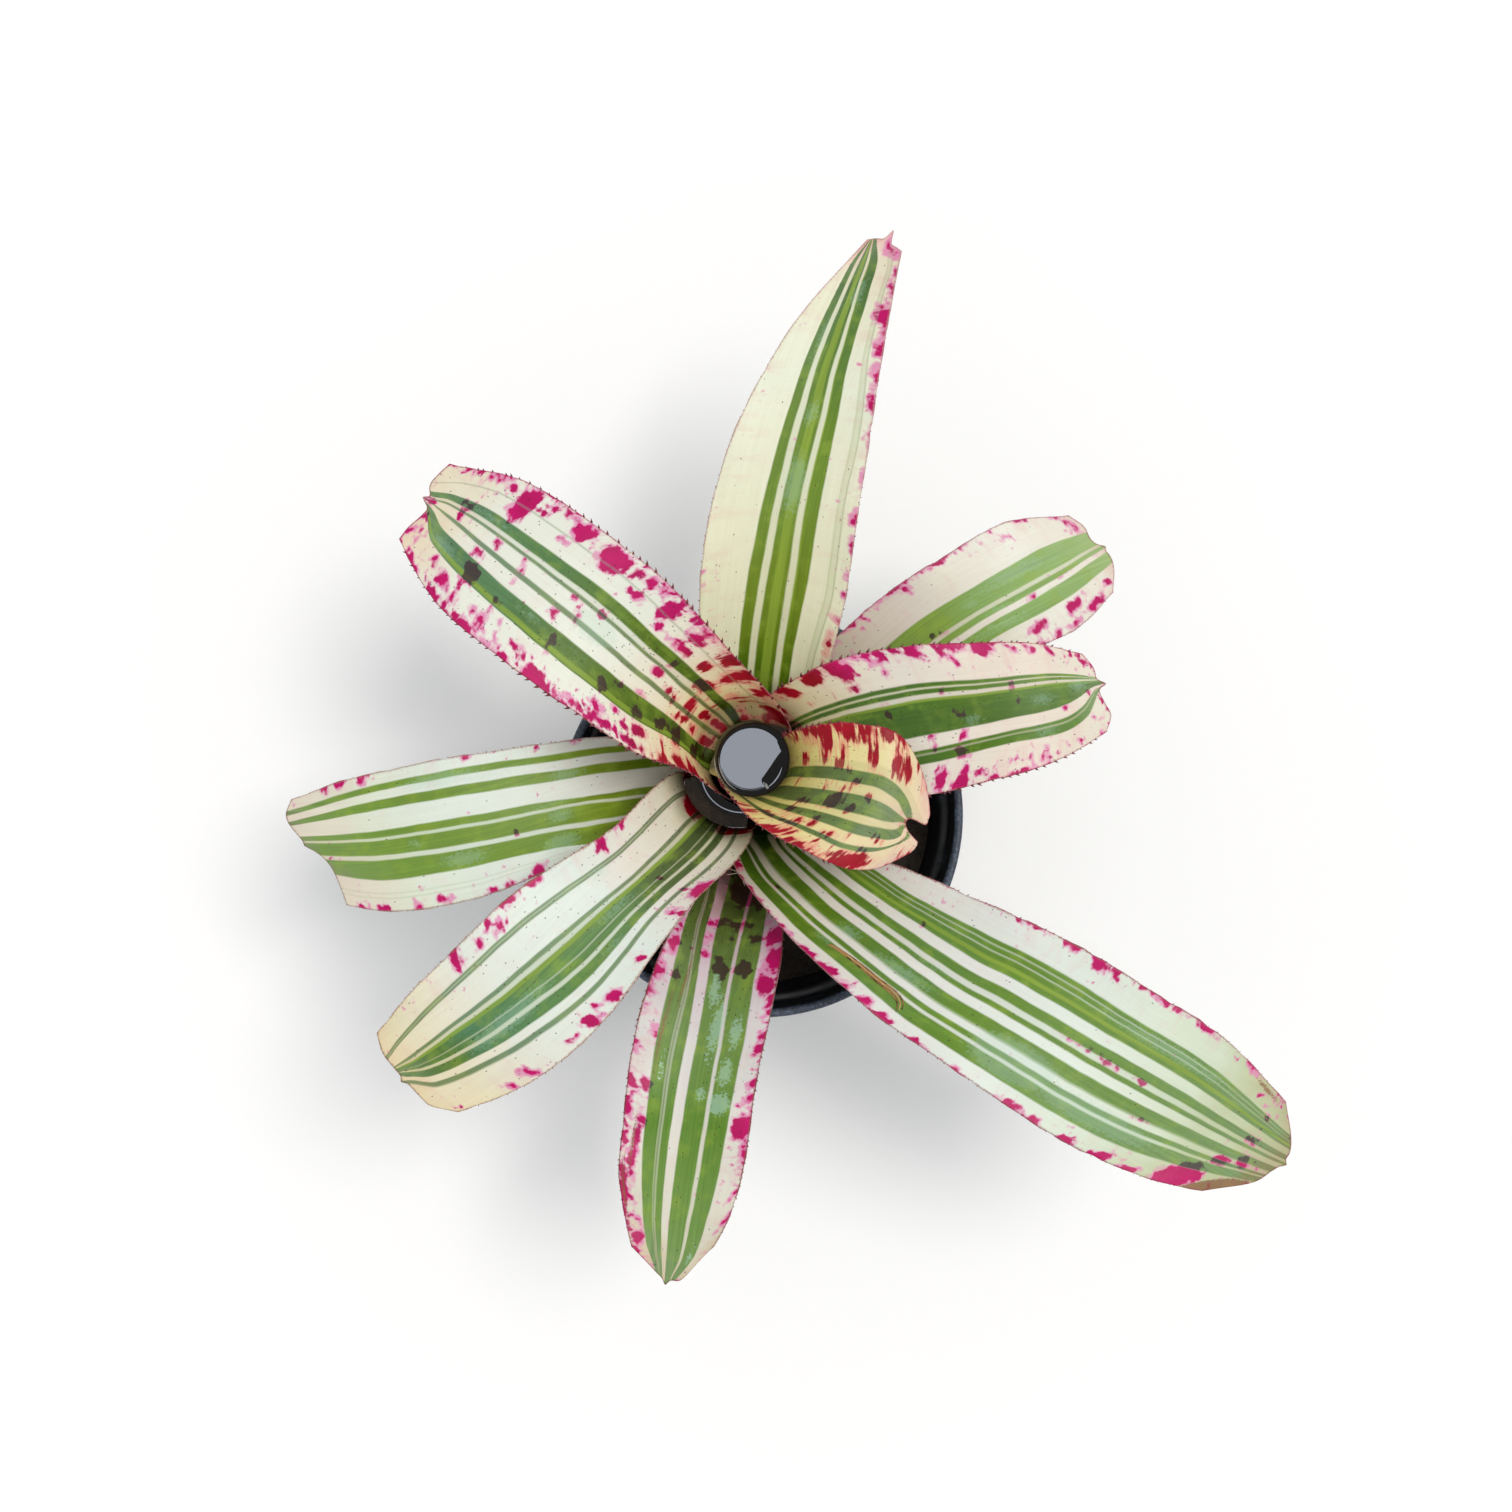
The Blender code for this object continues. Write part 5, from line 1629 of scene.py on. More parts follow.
@dataclass
class Leaf:
    """One leaf blade and its sheath, as a thin closed skin on the leaf's own surface."""

    shape: LeafShape
    dress: LeafDress
    number: int
    columns: int = 48
    row_step: float = 1.0
    sheath_rows: int = 30
    middle_half: float = 0.52
    margin_half: float = 0.17
    mucro_spread: float = 1.2
    nick_size: float = 0.006
    swollen_radius: float = 13.9
    swollen_reach: float = 24.0
    swollen_bearing: float = 120.0

    def rows(self, surface: LeafSurface) -> np.ndarray:
        """Return the distances of the mesh rows from the root.

        Args:
            surface: the leaf's surface.

        Returns:
            Distances in millimetres, rising.
        """
        count = int(np.clip(surface.blade_length / self.row_step, 90, 230))
        sheath = np.linspace(0.0, surface.sheath_length, self.sheath_rows, endpoint=False)
        end = np.linspace(0.0, 1.0, count)
        return np.concatenate((sheath, surface.sheath_length + surface.blade_length * end))

    def lay(self, surface: LeafSurface) -> tuple[np.ndarray, np.ndarray, np.ndarray, np.ndarray]:
        """Lay the middle surface out in the row frame.

        Args:
            surface: the leaf's surface.

        Returns:
            Positions, unit normals towards the upper side, rows and places across.
        """
        row = self.rows(surface)[:, None]
        turn = np.linspace(-1.0, 1.0, self.columns + 1)
        across = (np.sin(turn * math.pi / 2) * 0.35 + turn * 0.65)[None, :]
        rng = np.random.default_rng(40 + self.number)
        knots = np.linspace(0.0, surface.length, 60)
        nick = np.interp(row, knots, rng.normal(0.0, self.nick_size, len(knots)))
        wobbled = across * (1.0 + nick * abs(across) ** 8)
        places = to_world(surface.points(row, wobbled))
        row_share = np.clip((row - surface.sheath_length) / surface.blade_length, 0.0, 1.0)
        forward = unit(np.gradient(places, axis=0), 1e-9)
        offset = (across - self.shape.mucro_place) * surface.half_width(surface.length * np.ones_like(row))
        last_rows = np.clip((row_share - 0.965) / 0.035, 0.0, 1.0)
        draw = self.shape.mucro * np.exp(-((offset / self.mucro_spread) ** 2)) * last_rows**2
        places = places + forward * draw[..., None]
        normal = unit(np.cross(np.gradient(places, axis=1), forward), 1e-9)
        axis = rosette_frame()[0] @ np.array((0.0, 0.0, 1.0))
        tip_side = normal[len(normal) // 2, self.columns // 2]
        if tip_side @ axis < 0.0:
            normal = -normal
        return places, normal, row, np.broadcast_to(wobbled, places.shape[:2])

    def paint(
        self, obj: bpy.types.Object, surface: LeafSurface, row: np.ndarray, across: np.ndarray
    ) -> None:
        """Write the fields that the leaf's material reads.

        Args:
            obj: the leaf's object, upper side first.
            surface: the leaf's surface.
            row: distances along the midline.
            across: places across.
        """
        dress = self.dress
        share = (row - surface.sheath_length) / surface.blade_length
        share = np.broadcast_to(np.where(share < 0, share * 0.9, share), across.shape)
        guides = np.array(
            [knot_curve(dress.stations, guide, share[:, 0], tight=True) for guide in dress.guides]
        )
        band = np.empty_like(across)
        canon = np.array((-1.0, *dress.canon, 1.0))
        for i in range(len(band)):
            lines = np.concatenate(([-1.0], guides[:, i], [1.0]))
            band[i] = np.interp(across[i], lines, canon)
        s = surface.trim(row, across)
        width = surface.half_width(s)
        to_tip = np.broadcast_to((1.0 - np.clip(share, 0.0, 1.0)) * surface.blade_length, across.shape)
        edge = np.minimum((1.0 - abs(across)) * width, to_tip)
        margin, base, tip = dress.scatter
        scatter = margin * np.exp(-edge / 9.0)
        scatter = np.maximum(scatter, base * np.clip(1.0 - share / 0.28, 0.0, 1.0))
        scatter = np.maximum(scatter, tip * np.clip((share - 0.86) / 0.14, 0.0, 1.0))
        places = np.empty(len(obj.data.vertices) * 3)
        obj.data.vertices.foreach_get("co", places)
        places = places.reshape(-1, 3)[: across.size] / MM
        radius = np.hypot(places[:, 0] - CUP_CENTRE.x, places[:, 1] - CUP_CENTRE.y)
        level, reach, creep = WATER_LINES.get(self.shape.name, (0.0, 0.0, 1.0))
        # Darker by the water line: partly wet tissue, partly painted shade inside the cup and the pool
        wet_and_shade = np.clip((level + creep - places[:, 2]) / creep, 0.0, 1.0) * (radius < reach)
        plan = (share, across, surface.blade_length, width)
        fields = {
            "band": band,
            "share": share,
            "mark": patch_field(dress.spots, *plan),
            "bloom_and_glint": patch_field(dress.bloom_and_glint, *plan) / 3.5,
            "dry": patch_field(dress.dry, *plan),
            "edge": edge,
            "scatter": scatter,
            "wet_and_shade": wet_and_shade,
        }
        for key, field in fields.items():
            write_field(obj.data, key, np.tile(field.ravel(), 2))
        write_field(obj.data, "under", np.repeat((0.0, 1.0), across.size))
        flat = np.stack((across * width, s, np.full_like(s, 37.0 * self.number)), axis=-1)
        write_field(obj.data, "flat", np.tile(flat.reshape(-1, 3), (2, 1)))

    def swelling(self, places: np.ndarray) -> np.ndarray:
        """Return how much thicker the cup's outer sheath is where water meets its inner face.

        Args:
            places: the middle surface's places, in the row frame.

        Returns:
            Millimetres at each place, 0 on the other leaves.
        """
        if self.shape.name != "leaf_02":
            return np.zeros(places.shape[:2])
        away = places - np.array(CUP_CENTRE)
        reach = np.hypot(away[..., 0], away[..., 1])
        bearing = np.arctan2(away[..., 1], away[..., 0])
        bare = np.clip((np.cos(bearing - math.radians(self.swollen_bearing)) - 0.1) / 0.5, 0.0, 1.0)
        near_water = np.exp(-(((away[..., 2] + 0.9) / 2.6) ** 2))
        inside = reach < self.swollen_reach
        return np.maximum(reach - self.swollen_radius, 0.0) * bare * near_water * inside

    def build(self) -> tuple[bpy.types.Object, LeafSurface]:
        """Build the leaf's skin.

        Returns:
            The leaf and its surface.
        """
        surface = LeafSurface(self.shape)
        places, normal, row, across = self.lay(surface)
        bulge = 1.0 - abs(across[..., None]) ** 3
        half = self.margin_half + (self.middle_half - self.margin_half) * bulge
        count, width = places.shape[:2]
        inner = places + normal * (half + self.swelling(places)[..., None])
        verts = np.concatenate((inner.reshape(-1, 3), (places - normal * half).reshape(-1, 3)))
        index = np.arange(count * width).reshape(count, width)
        low = index + count * width
        corners = (index[:-1, :-1], index[:-1, 1:], index[1:, 1:], index[1:, :-1])
        upper = np.stack(corners, axis=-1).reshape(-1, 4)
        sample = upper[len(upper) // 2]
        first, second, _, fourth = verts[sample]
        facing = np.cross(second - first, fourth - first)
        order = -1 if facing @ normal.reshape(-1, 3)[sample[0]] < 0 else 1
        rims = []
        for grid_edge in ((slice(None), 0), (-1,), (slice(None, None, -1), -1), (0, slice(None, None, -1))):
            top, bottom = index[grid_edge], low[grid_edge]
            rim = np.stack((top[:-1], top[1:], bottom[1:], bottom[:-1]), axis=-1)
            rims.append(rim[:, ::order])
        upper = upper[:, ::order]
        lower = upper[:, ::-1] + count * width
        faces = np.concatenate((upper, lower, *rims))
        finish = BandedLeafFinish(f"banded_{self.shape.name}", self.dress)
        obj = new_piece(f"{self.shape.name}_blade", verts, faces, finish.material())
        self.paint(obj, surface, row, across)
        return obj, surface


@dataclass(frozen=True)
class HornFinish:
    """Hard, horny plant tissue of the spines: glossy, dark crimson at the root, pale at the point."""

    name: str = "horny_spine"
    root_colour: str = "560c22"
    point_colour: str = "8a3a3c"

    def material(self) -> bpy.types.Material:
        """Return the spines' material."""
        material, tree, shader = new_material(self.name)
        noise = noise_field(tree, object_places(tree), 260.0, 3.0)
        tone = tone_ramp(tree, noise, (0.35, self.root_colour), (0.7, self.point_colour))
        feed(tree, shader, {"Base Color": tone, "Roughness": remap(tree, noise, (0.0, 1.0), (0.3, 0.5))})
        return material


@dataclass
class MarginalSpines:
    """The small hooked spines that stand along both margins of a leaf."""

    spacing: float = 3.3
    length: float = 1.75
    root_width: float = 1.3
    hook: float = 0.75
    lean: float = 0.35
    sunk: float = 0.12
    seed: int = 7

    def tree(self) -> bpy.types.NodeTree:
        """Return a tree that sets one spine on every seat point."""
        sizes = dict.fromkeys(("Length", "Root Width", "Hook"), "Float")
        inputs = {"Seats": "Geometry", **sizes, "Seed": "Int", "Finish": "Material"}
        tree, given = new_tree("marginal_spines", inputs, "Spines")
        root = math_node(tree, "MULTIPLY", given["Root Width"], 0.5)
        form = {"Vertices": 5, "Side Segments": 3, "Radius Top": 0.0}
        form |= {"Radius Bottom": root, "Depth": given["Length"]}
        cone = add_node(tree, "GeometryNodeMeshCone", form)
        place = add_node(tree, "GeometryNodeInputPosition")
        parts = add_node(tree, "ShaderNodeSeparateXYZ", {0: place})
        rise = math_node(tree, "DIVIDE", parts.outputs["Z"], given["Length"])
        square = math_node(tree, "POWER", rise, 2.0)
        bend = math_node(tree, "MULTIPLY", square, given["Hook"])
        offset = add_node(tree, "ShaderNodeCombineXYZ", {"X": bend})
        hooked = add_node(tree, "GeometryNodeSetPosition", {"Geometry": cone, "Offset": offset})
        read = "GeometryNodeInputNamedAttribute"
        outward = add_node(tree, read, {"Name": "outward"}, data_type="FLOAT_VECTOR")
        forward = add_node(tree, read, {"Name": "forward"}, data_type="FLOAT_VECTOR")
        reach = add_node(tree, read, {"Name": "reach"}, data_type="FLOAT")
        axes = {"primary_axis": "Z", "secondary_axis": "X"}
        turn = add_node(tree, "FunctionNodeAxesToRotation", {0: outward, 1: forward}, **axes)
        spread_of_sizes = {2: 0.7, 3: 1.15, "Seed": given["Seed"]}
        chance = add_node(tree, "FunctionNodeRandomValue", spread_of_sizes, data_type="FLOAT")
        size = math_node(tree, "MULTIPLY", chance, reach)
        stand = {"Points": given["Seats"], "Instance": hooked, "Rotation": turn, "Scale": size}
        spread = add_node(tree, "GeometryNodeInstanceOnPoints", stand)
        real = add_node(tree, "GeometryNodeRealizeInstances", {"Geometry": spread})
        smooth = add_node(tree, "GeometryNodeSetShadeSmooth", {"Geometry": real})
        dress = {"Geometry": smooth, "Material": given["Finish"]}
        add_node(tree, "NodeGroupOutput", {0: add_node(tree, "GeometryNodeSetMaterial", dress)})
        return tree

    def seats(self, leaf: Leaf, surface: LeafSurface) -> bpy.types.Object:
        """Return bare points along both margins, each with its directions and size.

        Args:
            leaf: the leaf.
            surface: its surface.

        Returns:
            An object that holds the points.
        """
        rng = np.random.default_rng(90 + leaf.number)
        spots, outs, aheads, sizes = [], [], [], []
        first = surface.sheath_length + 0.04 * surface.blade_length
        last = surface.sheath_length + 0.965 * surface.blade_length
        for side in (-1.0, 1.0):
            row = np.arange(first, last, self.spacing)
            row = row + rng.uniform(-0.3, 0.3, len(row)) * self.spacing
            edge = to_world(surface.points(row, np.full_like(row, side)))
            inside = to_world(surface.points(row, np.full_like(row, side * 0.97)))
            ahead = unit(to_world(surface.points(row + 0.5, np.full_like(row, side))) - edge)
            out = edge - inside
            out = unit(out - ahead * (out * ahead).sum(-1, keepdims=True))
            spots.append(edge - out * self.sunk)
            outs.append(unit(out + self.lean * ahead))
            aheads.append(ahead)
            sizes.append(leaf.dress.spine * (1.0 - 0.5 * (row - first) / (last - first)))
        seats = new_piece("seats", np.concatenate(spots), [], None)
        for key, rows in (("outward", outs), ("forward", aheads), ("reach", sizes)):
            write_field(seats.data, key, np.concatenate(rows))
        return seats

    def build(
        self, leaf: Leaf, surface: LeafSurface, tree: bpy.types.NodeTree, finish: bpy.types.Material
    ) -> bpy.types.Object:
        """Build the spines of one leaf as a plain mesh.

        Args:
            leaf: the leaf.
            surface: its surface.
            tree: the tree that sets the spines.
            finish: their material.

        Returns:
            The spines.
        """
        values = {
            "Length": self.length * MM,
            "Root Width": self.root_width * MM,
            "Hook": self.hook * MM,
            "Seed": self.seed + leaf.number,
            "Finish": finish,
        }
        return run_tree(self.seats(leaf, surface), tree, values, f"{leaf.shape.name}_spines")


@dataclass(frozen=True)
class DryTissueFinish:
    """Dead leaf tissue, shrunk to ridges and fibres: matt, brown to straw-coloured."""

    name: str
    dark: str
    light: str

    def material(self) -> bpy.types.Material:
        """Return the dry tissue's material."""
        material, tree, shader = new_material(self.name)
        noise = noise_field(tree, object_places(tree), 380.0, 3.0)
        tone = tone_ramp(tree, noise, (0.38, self.dark), (0.62, self.light))
        feed(tree, shader, {"Base Color": tone, "Roughness": remap(tree, noise, (0.0, 1.0), (0.6, 0.9))})
        return material


@dataclass
class DryThreads:
    """Thin ridges and fibres of dead tissue, each a tapered strand along a few points."""

    sides: int = 6
    steps: int = 40

    def strand(self, points: np.ndarray, radius: float) -> tuple[np.ndarray, list]:
        """Return the vertices and faces of one strand.

        Args:
            points: places along it, in millimetres.
            radius: half its thickness in the middle.

        Returns:
            Its vertices and its faces.
        """
        stations = np.arange(len(points), dtype=float)
        t = np.linspace(0.0, stations[-1], self.steps)
        path = np.stack([knot_curve(stations, points[:, axis], t) for axis in range(3)], axis=-1)
        ahead = unit(np.gradient(path, axis=0))
        side = unit(np.cross(ahead, (0.0, 0.0, 1.0)))
        up = np.cross(side, ahead)
        place = np.linspace(-1.0, 1.0, self.steps)
        girth = radius * np.sqrt(np.clip(1.0 - abs(place) ** 3, 0.02, 1.0))
        turn = np.linspace(0.0, 2 * math.pi, self.sides, endpoint=False)
        around = side[:, None] * np.cos(turn)[None, :, None] + up[:, None] * np.sin(turn)[None, :, None]
        verts = (path[:, None] + around * girth[:, None, None]).reshape(-1, 3)
        faces = []
        for k in range(self.steps - 1):
            for i in range(self.sides):
                j = (i + 1) % self.sides
                a, b = k * self.sides, (k + 1) * self.sides
                faces.append((a + i, a + j, b + j, b + i))
        last = (self.steps - 1) * self.sides
        faces.append(tuple(range(self.sides - 1, -1, -1)))
        faces.append(tuple(last + i for i in range(self.sides)))
        return verts, faces

    def build(
        self, name: str, strands: list[tuple[np.ndarray, float]], finish: DryTissueFinish
    ) -> bpy.types.Object:
        """Build one piece out of several strands.

        Args:
            name: the piece's name.
            strands: points and radius of each.
            finish: how they look.

        Returns:
            The piece.
        """
        all_verts, all_faces, start = [], [], 0
        for points, radius in strands:
            verts, faces = self.strand(points, radius)
            all_verts.append(verts)
            all_faces += [tuple(start + i for i in face) for face in faces]
            start += len(verts)
        return new_piece(name, np.concatenate(all_verts), all_faces, finish.material())

    def scratch(self, surface: LeafSurface) -> list[bpy.types.Object]:
        """Build the healed scratch, whose strands spread from its start to its end.

        Args:
            surface: the scratched leaf's surface.

        Returns:
            One piece for each strand.
        """
        across, share = np.array(SCRATCH_COURSE).T
        row = surface.sheath_length + share * surface.blade_length
        spread = np.linspace(*SCRATCH_SPREAD, len(across))
        pieces = []
        for number, (shift, radius, colour) in enumerate(SCRATCH_SIDES, start=1):
            points = to_world(surface.points(row, across + shift * spread))
            points[:, 2] += SCRATCH_LIFT
            finish = DryTissueFinish(f"healed_scratch_{number}", colour, SCRATCH_CREST)
            pieces.append(self.build(f"leaf_06_scratch_{number}", [(points, radius)], finish))
        return pieces

    def fibres(self) -> bpy.types.Object:
        """Build the dry fibres that lie at the leaf bases."""
        strands = [
            (np.array([world_at_pixel(x, y, FIBRE_HEIGHT) for x, y in pixels]), FIBRE_RADIUS)
            for pixels in FIBRE_PIXELS
        ]
        return self.build("dry_fibres", strands, DryTissueFinish("straw_fibre", "a8977c", "e2d8c4"))


@dataclass(frozen=True)
class PotPlasticFinish:
    """Injection-moulded polypropylene of a nursery pot: blue-black, scuffed and a little dusty.

    The eye gets a low sheen, pale scuffs along the rim with a painted pale highlight on the rim's top, and
    rough dusty patches below it.
    """

    name: str = "scuffed_pot_plastic"
    colour: str = "10131b"
    scuff_and_highlight_colour: str = "5f6e88"

    def material(self) -> bpy.types.Material:
        """Return the pot's material."""
        material, tree, shader = new_material(self.name)
        place = object_places(tree)
        parts = add_node(tree, "ShaderNodeSeparateXYZ", {0: place})
        dust = noise_field(tree, place, 70.0, 6.0, 0.68)
        scratches = noise_field(tree, stretch(tree, place, (900.0, 900.0, 160.0)), 1.0, 3.0)
        scratches.inputs["Distortion"].default_value = 0.6
        # Pale blue-grey towards the rim's top: scuffs, with a painted highlight
        top = remap(tree, parts.outputs["Z"], ((POT_HEIGHT - 2.5) * MM, (POT_HEIGHT - 0.3) * MM))
        wear_and_highlight_level = math_node(tree, "MULTIPLY_ADD", top, 0.3, dust)
        wear_and_highlight = remap(tree, wear_and_highlight_level, (0.58, 0.86), (0.0, 0.8))
        fine = remap(tree, scratches, (0.45, 0.75))
        scuffed = math_node(tree, "MULTIPLY", wear_and_highlight, fine)
        veil_and_highlight = math_node(tree, "MULTIPLY_ADD", wear_and_highlight, 0.35, scuffed)
        colour = mix_colours(tree, veil_and_highlight, linear(self.colour), linear(self.scuff_and_highlight_colour))
        rough = remap(tree, dust, (0.3, 0.7), (0.32, 0.62))
        bump = bump_node(tree, scratches, 0.03, 0.7)
        feed(tree, shader, {"Base Color": colour, "Roughness": rough, "Normal": bump})
        shader.inputs["IOR"].default_value = 1.49
        return material


@dataclass
class NurseryPot:
    """The pot: a flat foot with drain holes, a tapered wall, an inner ledge and a rolled rim."""

    segments: int = 160
    drain_holes: int = 6
    drain_radius: float = 4.5
    drain_circle: float = 42.0

    def inner_radius(self, height: float) -> float:
        """Return the radius of the inner wall below the ledge.

        Args:
            height: height over the pot's foot.

        Returns:
            Millimetres from the pot's axis.
        """
        top = POT_RIM_RADIUS - RIM_LIP_WIDTH - RIM_LEDGE_WIDTH
        bottom = POT_FOOT_RADIUS - POT_WALL
        start = POT_FLOOR + FLOOR_ROUNDING
        end = POT_HEIGHT - RIM_BAND_DEPTH
        return bottom + (top - bottom) * (height - start) / (end - start)

    def profile(self) -> list[tuple[float, float]]:
        """Return the wall's outline as radius and height, from the inner floor to the foot."""
        ledge = POT_HEIGHT - RIM_BAND_DEPTH
        ledge_radius = self.inner_radius(ledge)
        band = POT_RIM_RADIUS - RIM_LIP_WIDTH
        points = [(0.0, POT_FLOOR)]
        points += [
            (
                POT_FOOT_RADIUS - POT_WALL - FLOOR_ROUNDING * (1 - math.sin(a)),
                POT_FLOOR + FLOOR_ROUNDING * (1 - math.cos(a)),
            )
            for a in np.linspace(0.0, math.pi / 2, 6)
        ]
        for height in np.linspace(POT_FLOOR + FLOOR_ROUNDING + 4.0, ledge - 1.5, 14):
            points.append((self.inner_radius(height), height))
        points += [
            (ledge_radius + 0.1, ledge - 0.3), (ledge_radius + 0.6, ledge + 0.4),
            (ledge_radius + 1.6, ledge + 0.6), (ledge_radius + RIM_LEDGE_WIDTH - 1.4, ledge + 0.6),
            (ledge_radius + RIM_LEDGE_WIDTH - 0.7, ledge + 0.9),
            (ledge_radius + RIM_LEDGE_WIDTH - 0.4, ledge + 1.8), (band - 0.25, ledge + 8.0),
            (band, POT_HEIGHT - 2.2), (band + 0.1, POT_HEIGHT - 1.1), (band + 0.5, POT_HEIGHT - 0.4),
            (band + 1.2, POT_HEIGHT - 0.05), (POT_RIM_RADIUS - 1.3, POT_HEIGHT),
            (POT_RIM_RADIUS - 0.6, POT_HEIGHT - 0.2), (POT_RIM_RADIUS - 0.12, POT_HEIGHT - 0.8),
            (POT_RIM_RADIUS, POT_HEIGHT - 1.6), (POT_RIM_RADIUS, POT_HEIGHT - 3.4),
            (POT_RIM_RADIUS - 0.25, POT_HEIGHT - 3.9), (POT_RIM_RADIUS - 1.2, POT_HEIGHT - 4.2),
            (POT_RIM_RADIUS - 1.6, POT_HEIGHT - 4.6), (band + 1.35, POT_HEIGHT - 9.0),
            (band + POT_WALL - 0.6, ledge - 0.2), (band + POT_WALL - 0.8, ledge - 0.9),
            (band + 0.2, ledge - 1.6), (ledge_radius + POT_WALL + 0.6, ledge - 2.3),
            (ledge_radius + POT_WALL, ledge - 3.2),
        ]
        for height in np.linspace(ledge - 8.0, 9.0, 13):
            points.append((self.inner_radius(height) + POT_WALL, height))
        points += [(POT_FOOT_RADIUS, 3.0), (POT_FOOT_RADIUS - 0.35, 1.6), (POT_FOOT_RADIUS - 1.3, 0.6)]
        points += [(POT_FOOT_RADIUS - 2.2, 0.12), (POT_FOOT_RADIUS - 3.2, 0.0), (0.0, 0.0)]
        return points

    def drain_cutter(self, angle: float) -> bpy.types.Object:
        """Return the short cylinder that cuts the drain hole at a bearing.

        Args:
            angle: the bearing in radians.

        Returns:
            The cutter.
        """
        x, y = self.drain_circle * math.cos(angle), self.drain_circle * math.sin(angle)
        middle = Vector((x, y, POT_FLOOR / 2)) * MM
        bm = bmesh.new()
        bmesh.ops.create_cone(
            bm,
            cap_ends=True,
            segments=36,
            radius1=self.drain_radius * MM,
            radius2=self.drain_radius * MM,
            depth=4 * POT_FLOOR * MM,
            matrix=Matrix.Translation(middle),
        )
        cutter = new_piece("drain_cutter", np.empty((0, 3)), [], None)
        bm.to_mesh(cutter.data)
        bm.free()
        return cutter

    def build(self) -> bpy.types.Object:
        """Build the pot with its drain holes cut."""
        points = self.profile()
        angles = np.linspace(0.0, 2 * math.pi, self.segments, endpoint=False)
        verts = [(0.0, 0.0, points[0][1]), (0.0, 0.0, points[-1][1])]
        rings = []
        for radius, height in points[1:-1]:
            rings.append(len(verts))
            verts += [(radius * math.cos(a), radius * math.sin(a), height) for a in angles]
        faces = []
        n = self.segments
        for i in range(n):
            j = (i + 1) % n
            faces.append((0, rings[0] + i, rings[0] + j))
            faces.append((1, rings[-1] + j, rings[-1] + i))
            for a, b in zip(rings, rings[1:]):
                faces.append((a + i, b + i, b + j, a + j))
        pot = new_piece("pot_shell_raw", np.array(verts), faces, PotPlasticFinish().material())
        cutters = []
        for i in range(self.drain_holes):
            cutter = self.drain_cutter(2 * math.pi * i / self.drain_holes)
            boolean = pot.modifiers.new("drain", "BOOLEAN")
            boolean.operation = "DIFFERENCE"
            boolean.solver = "EXACT"
            boolean.object = cutter
            cutters.append(cutter)
        bpy.context.view_layer.update()
        shell = bake_down(pot, "pot_shell")
        for cutter in cutters:
            bpy.data.objects.remove(cutter)
        return shell


@dataclass(frozen=True)
class BarkFinish:
    """Damp composted bark: nearly black, crumbly, with a few paler fibres."""

    name: str = "damp_bark_mix"
    dark: str = "0b0807"
    light: str = "3a2c20"

    def material(self) -> bpy.types.Material:
        """Return the mix's material."""
        material, tree, shader = new_material(self.name)
        place = object_places(tree)
        crumbs = add_node(tree, "ShaderNodeTexVoronoi", {"Vector": place, "Scale": 330.0})
        noise = noise_field(tree, place, 190.0, 6.0, 0.7)
        tone = tone_ramp(tree, noise, (0.35, self.dark), (0.75, self.light))
        rough = remap(tree, noise, (0.0, 1.0), (0.65, 1.0))
        height = math_node(tree, "MULTIPLY_ADD", noise, 1.4, crumbs)
        bump = bump_node(tree, height, 0.8, 1.0)
        feed(tree, shader, {"Base Color": tone, "Roughness": rough, "Normal": bump})
        return material


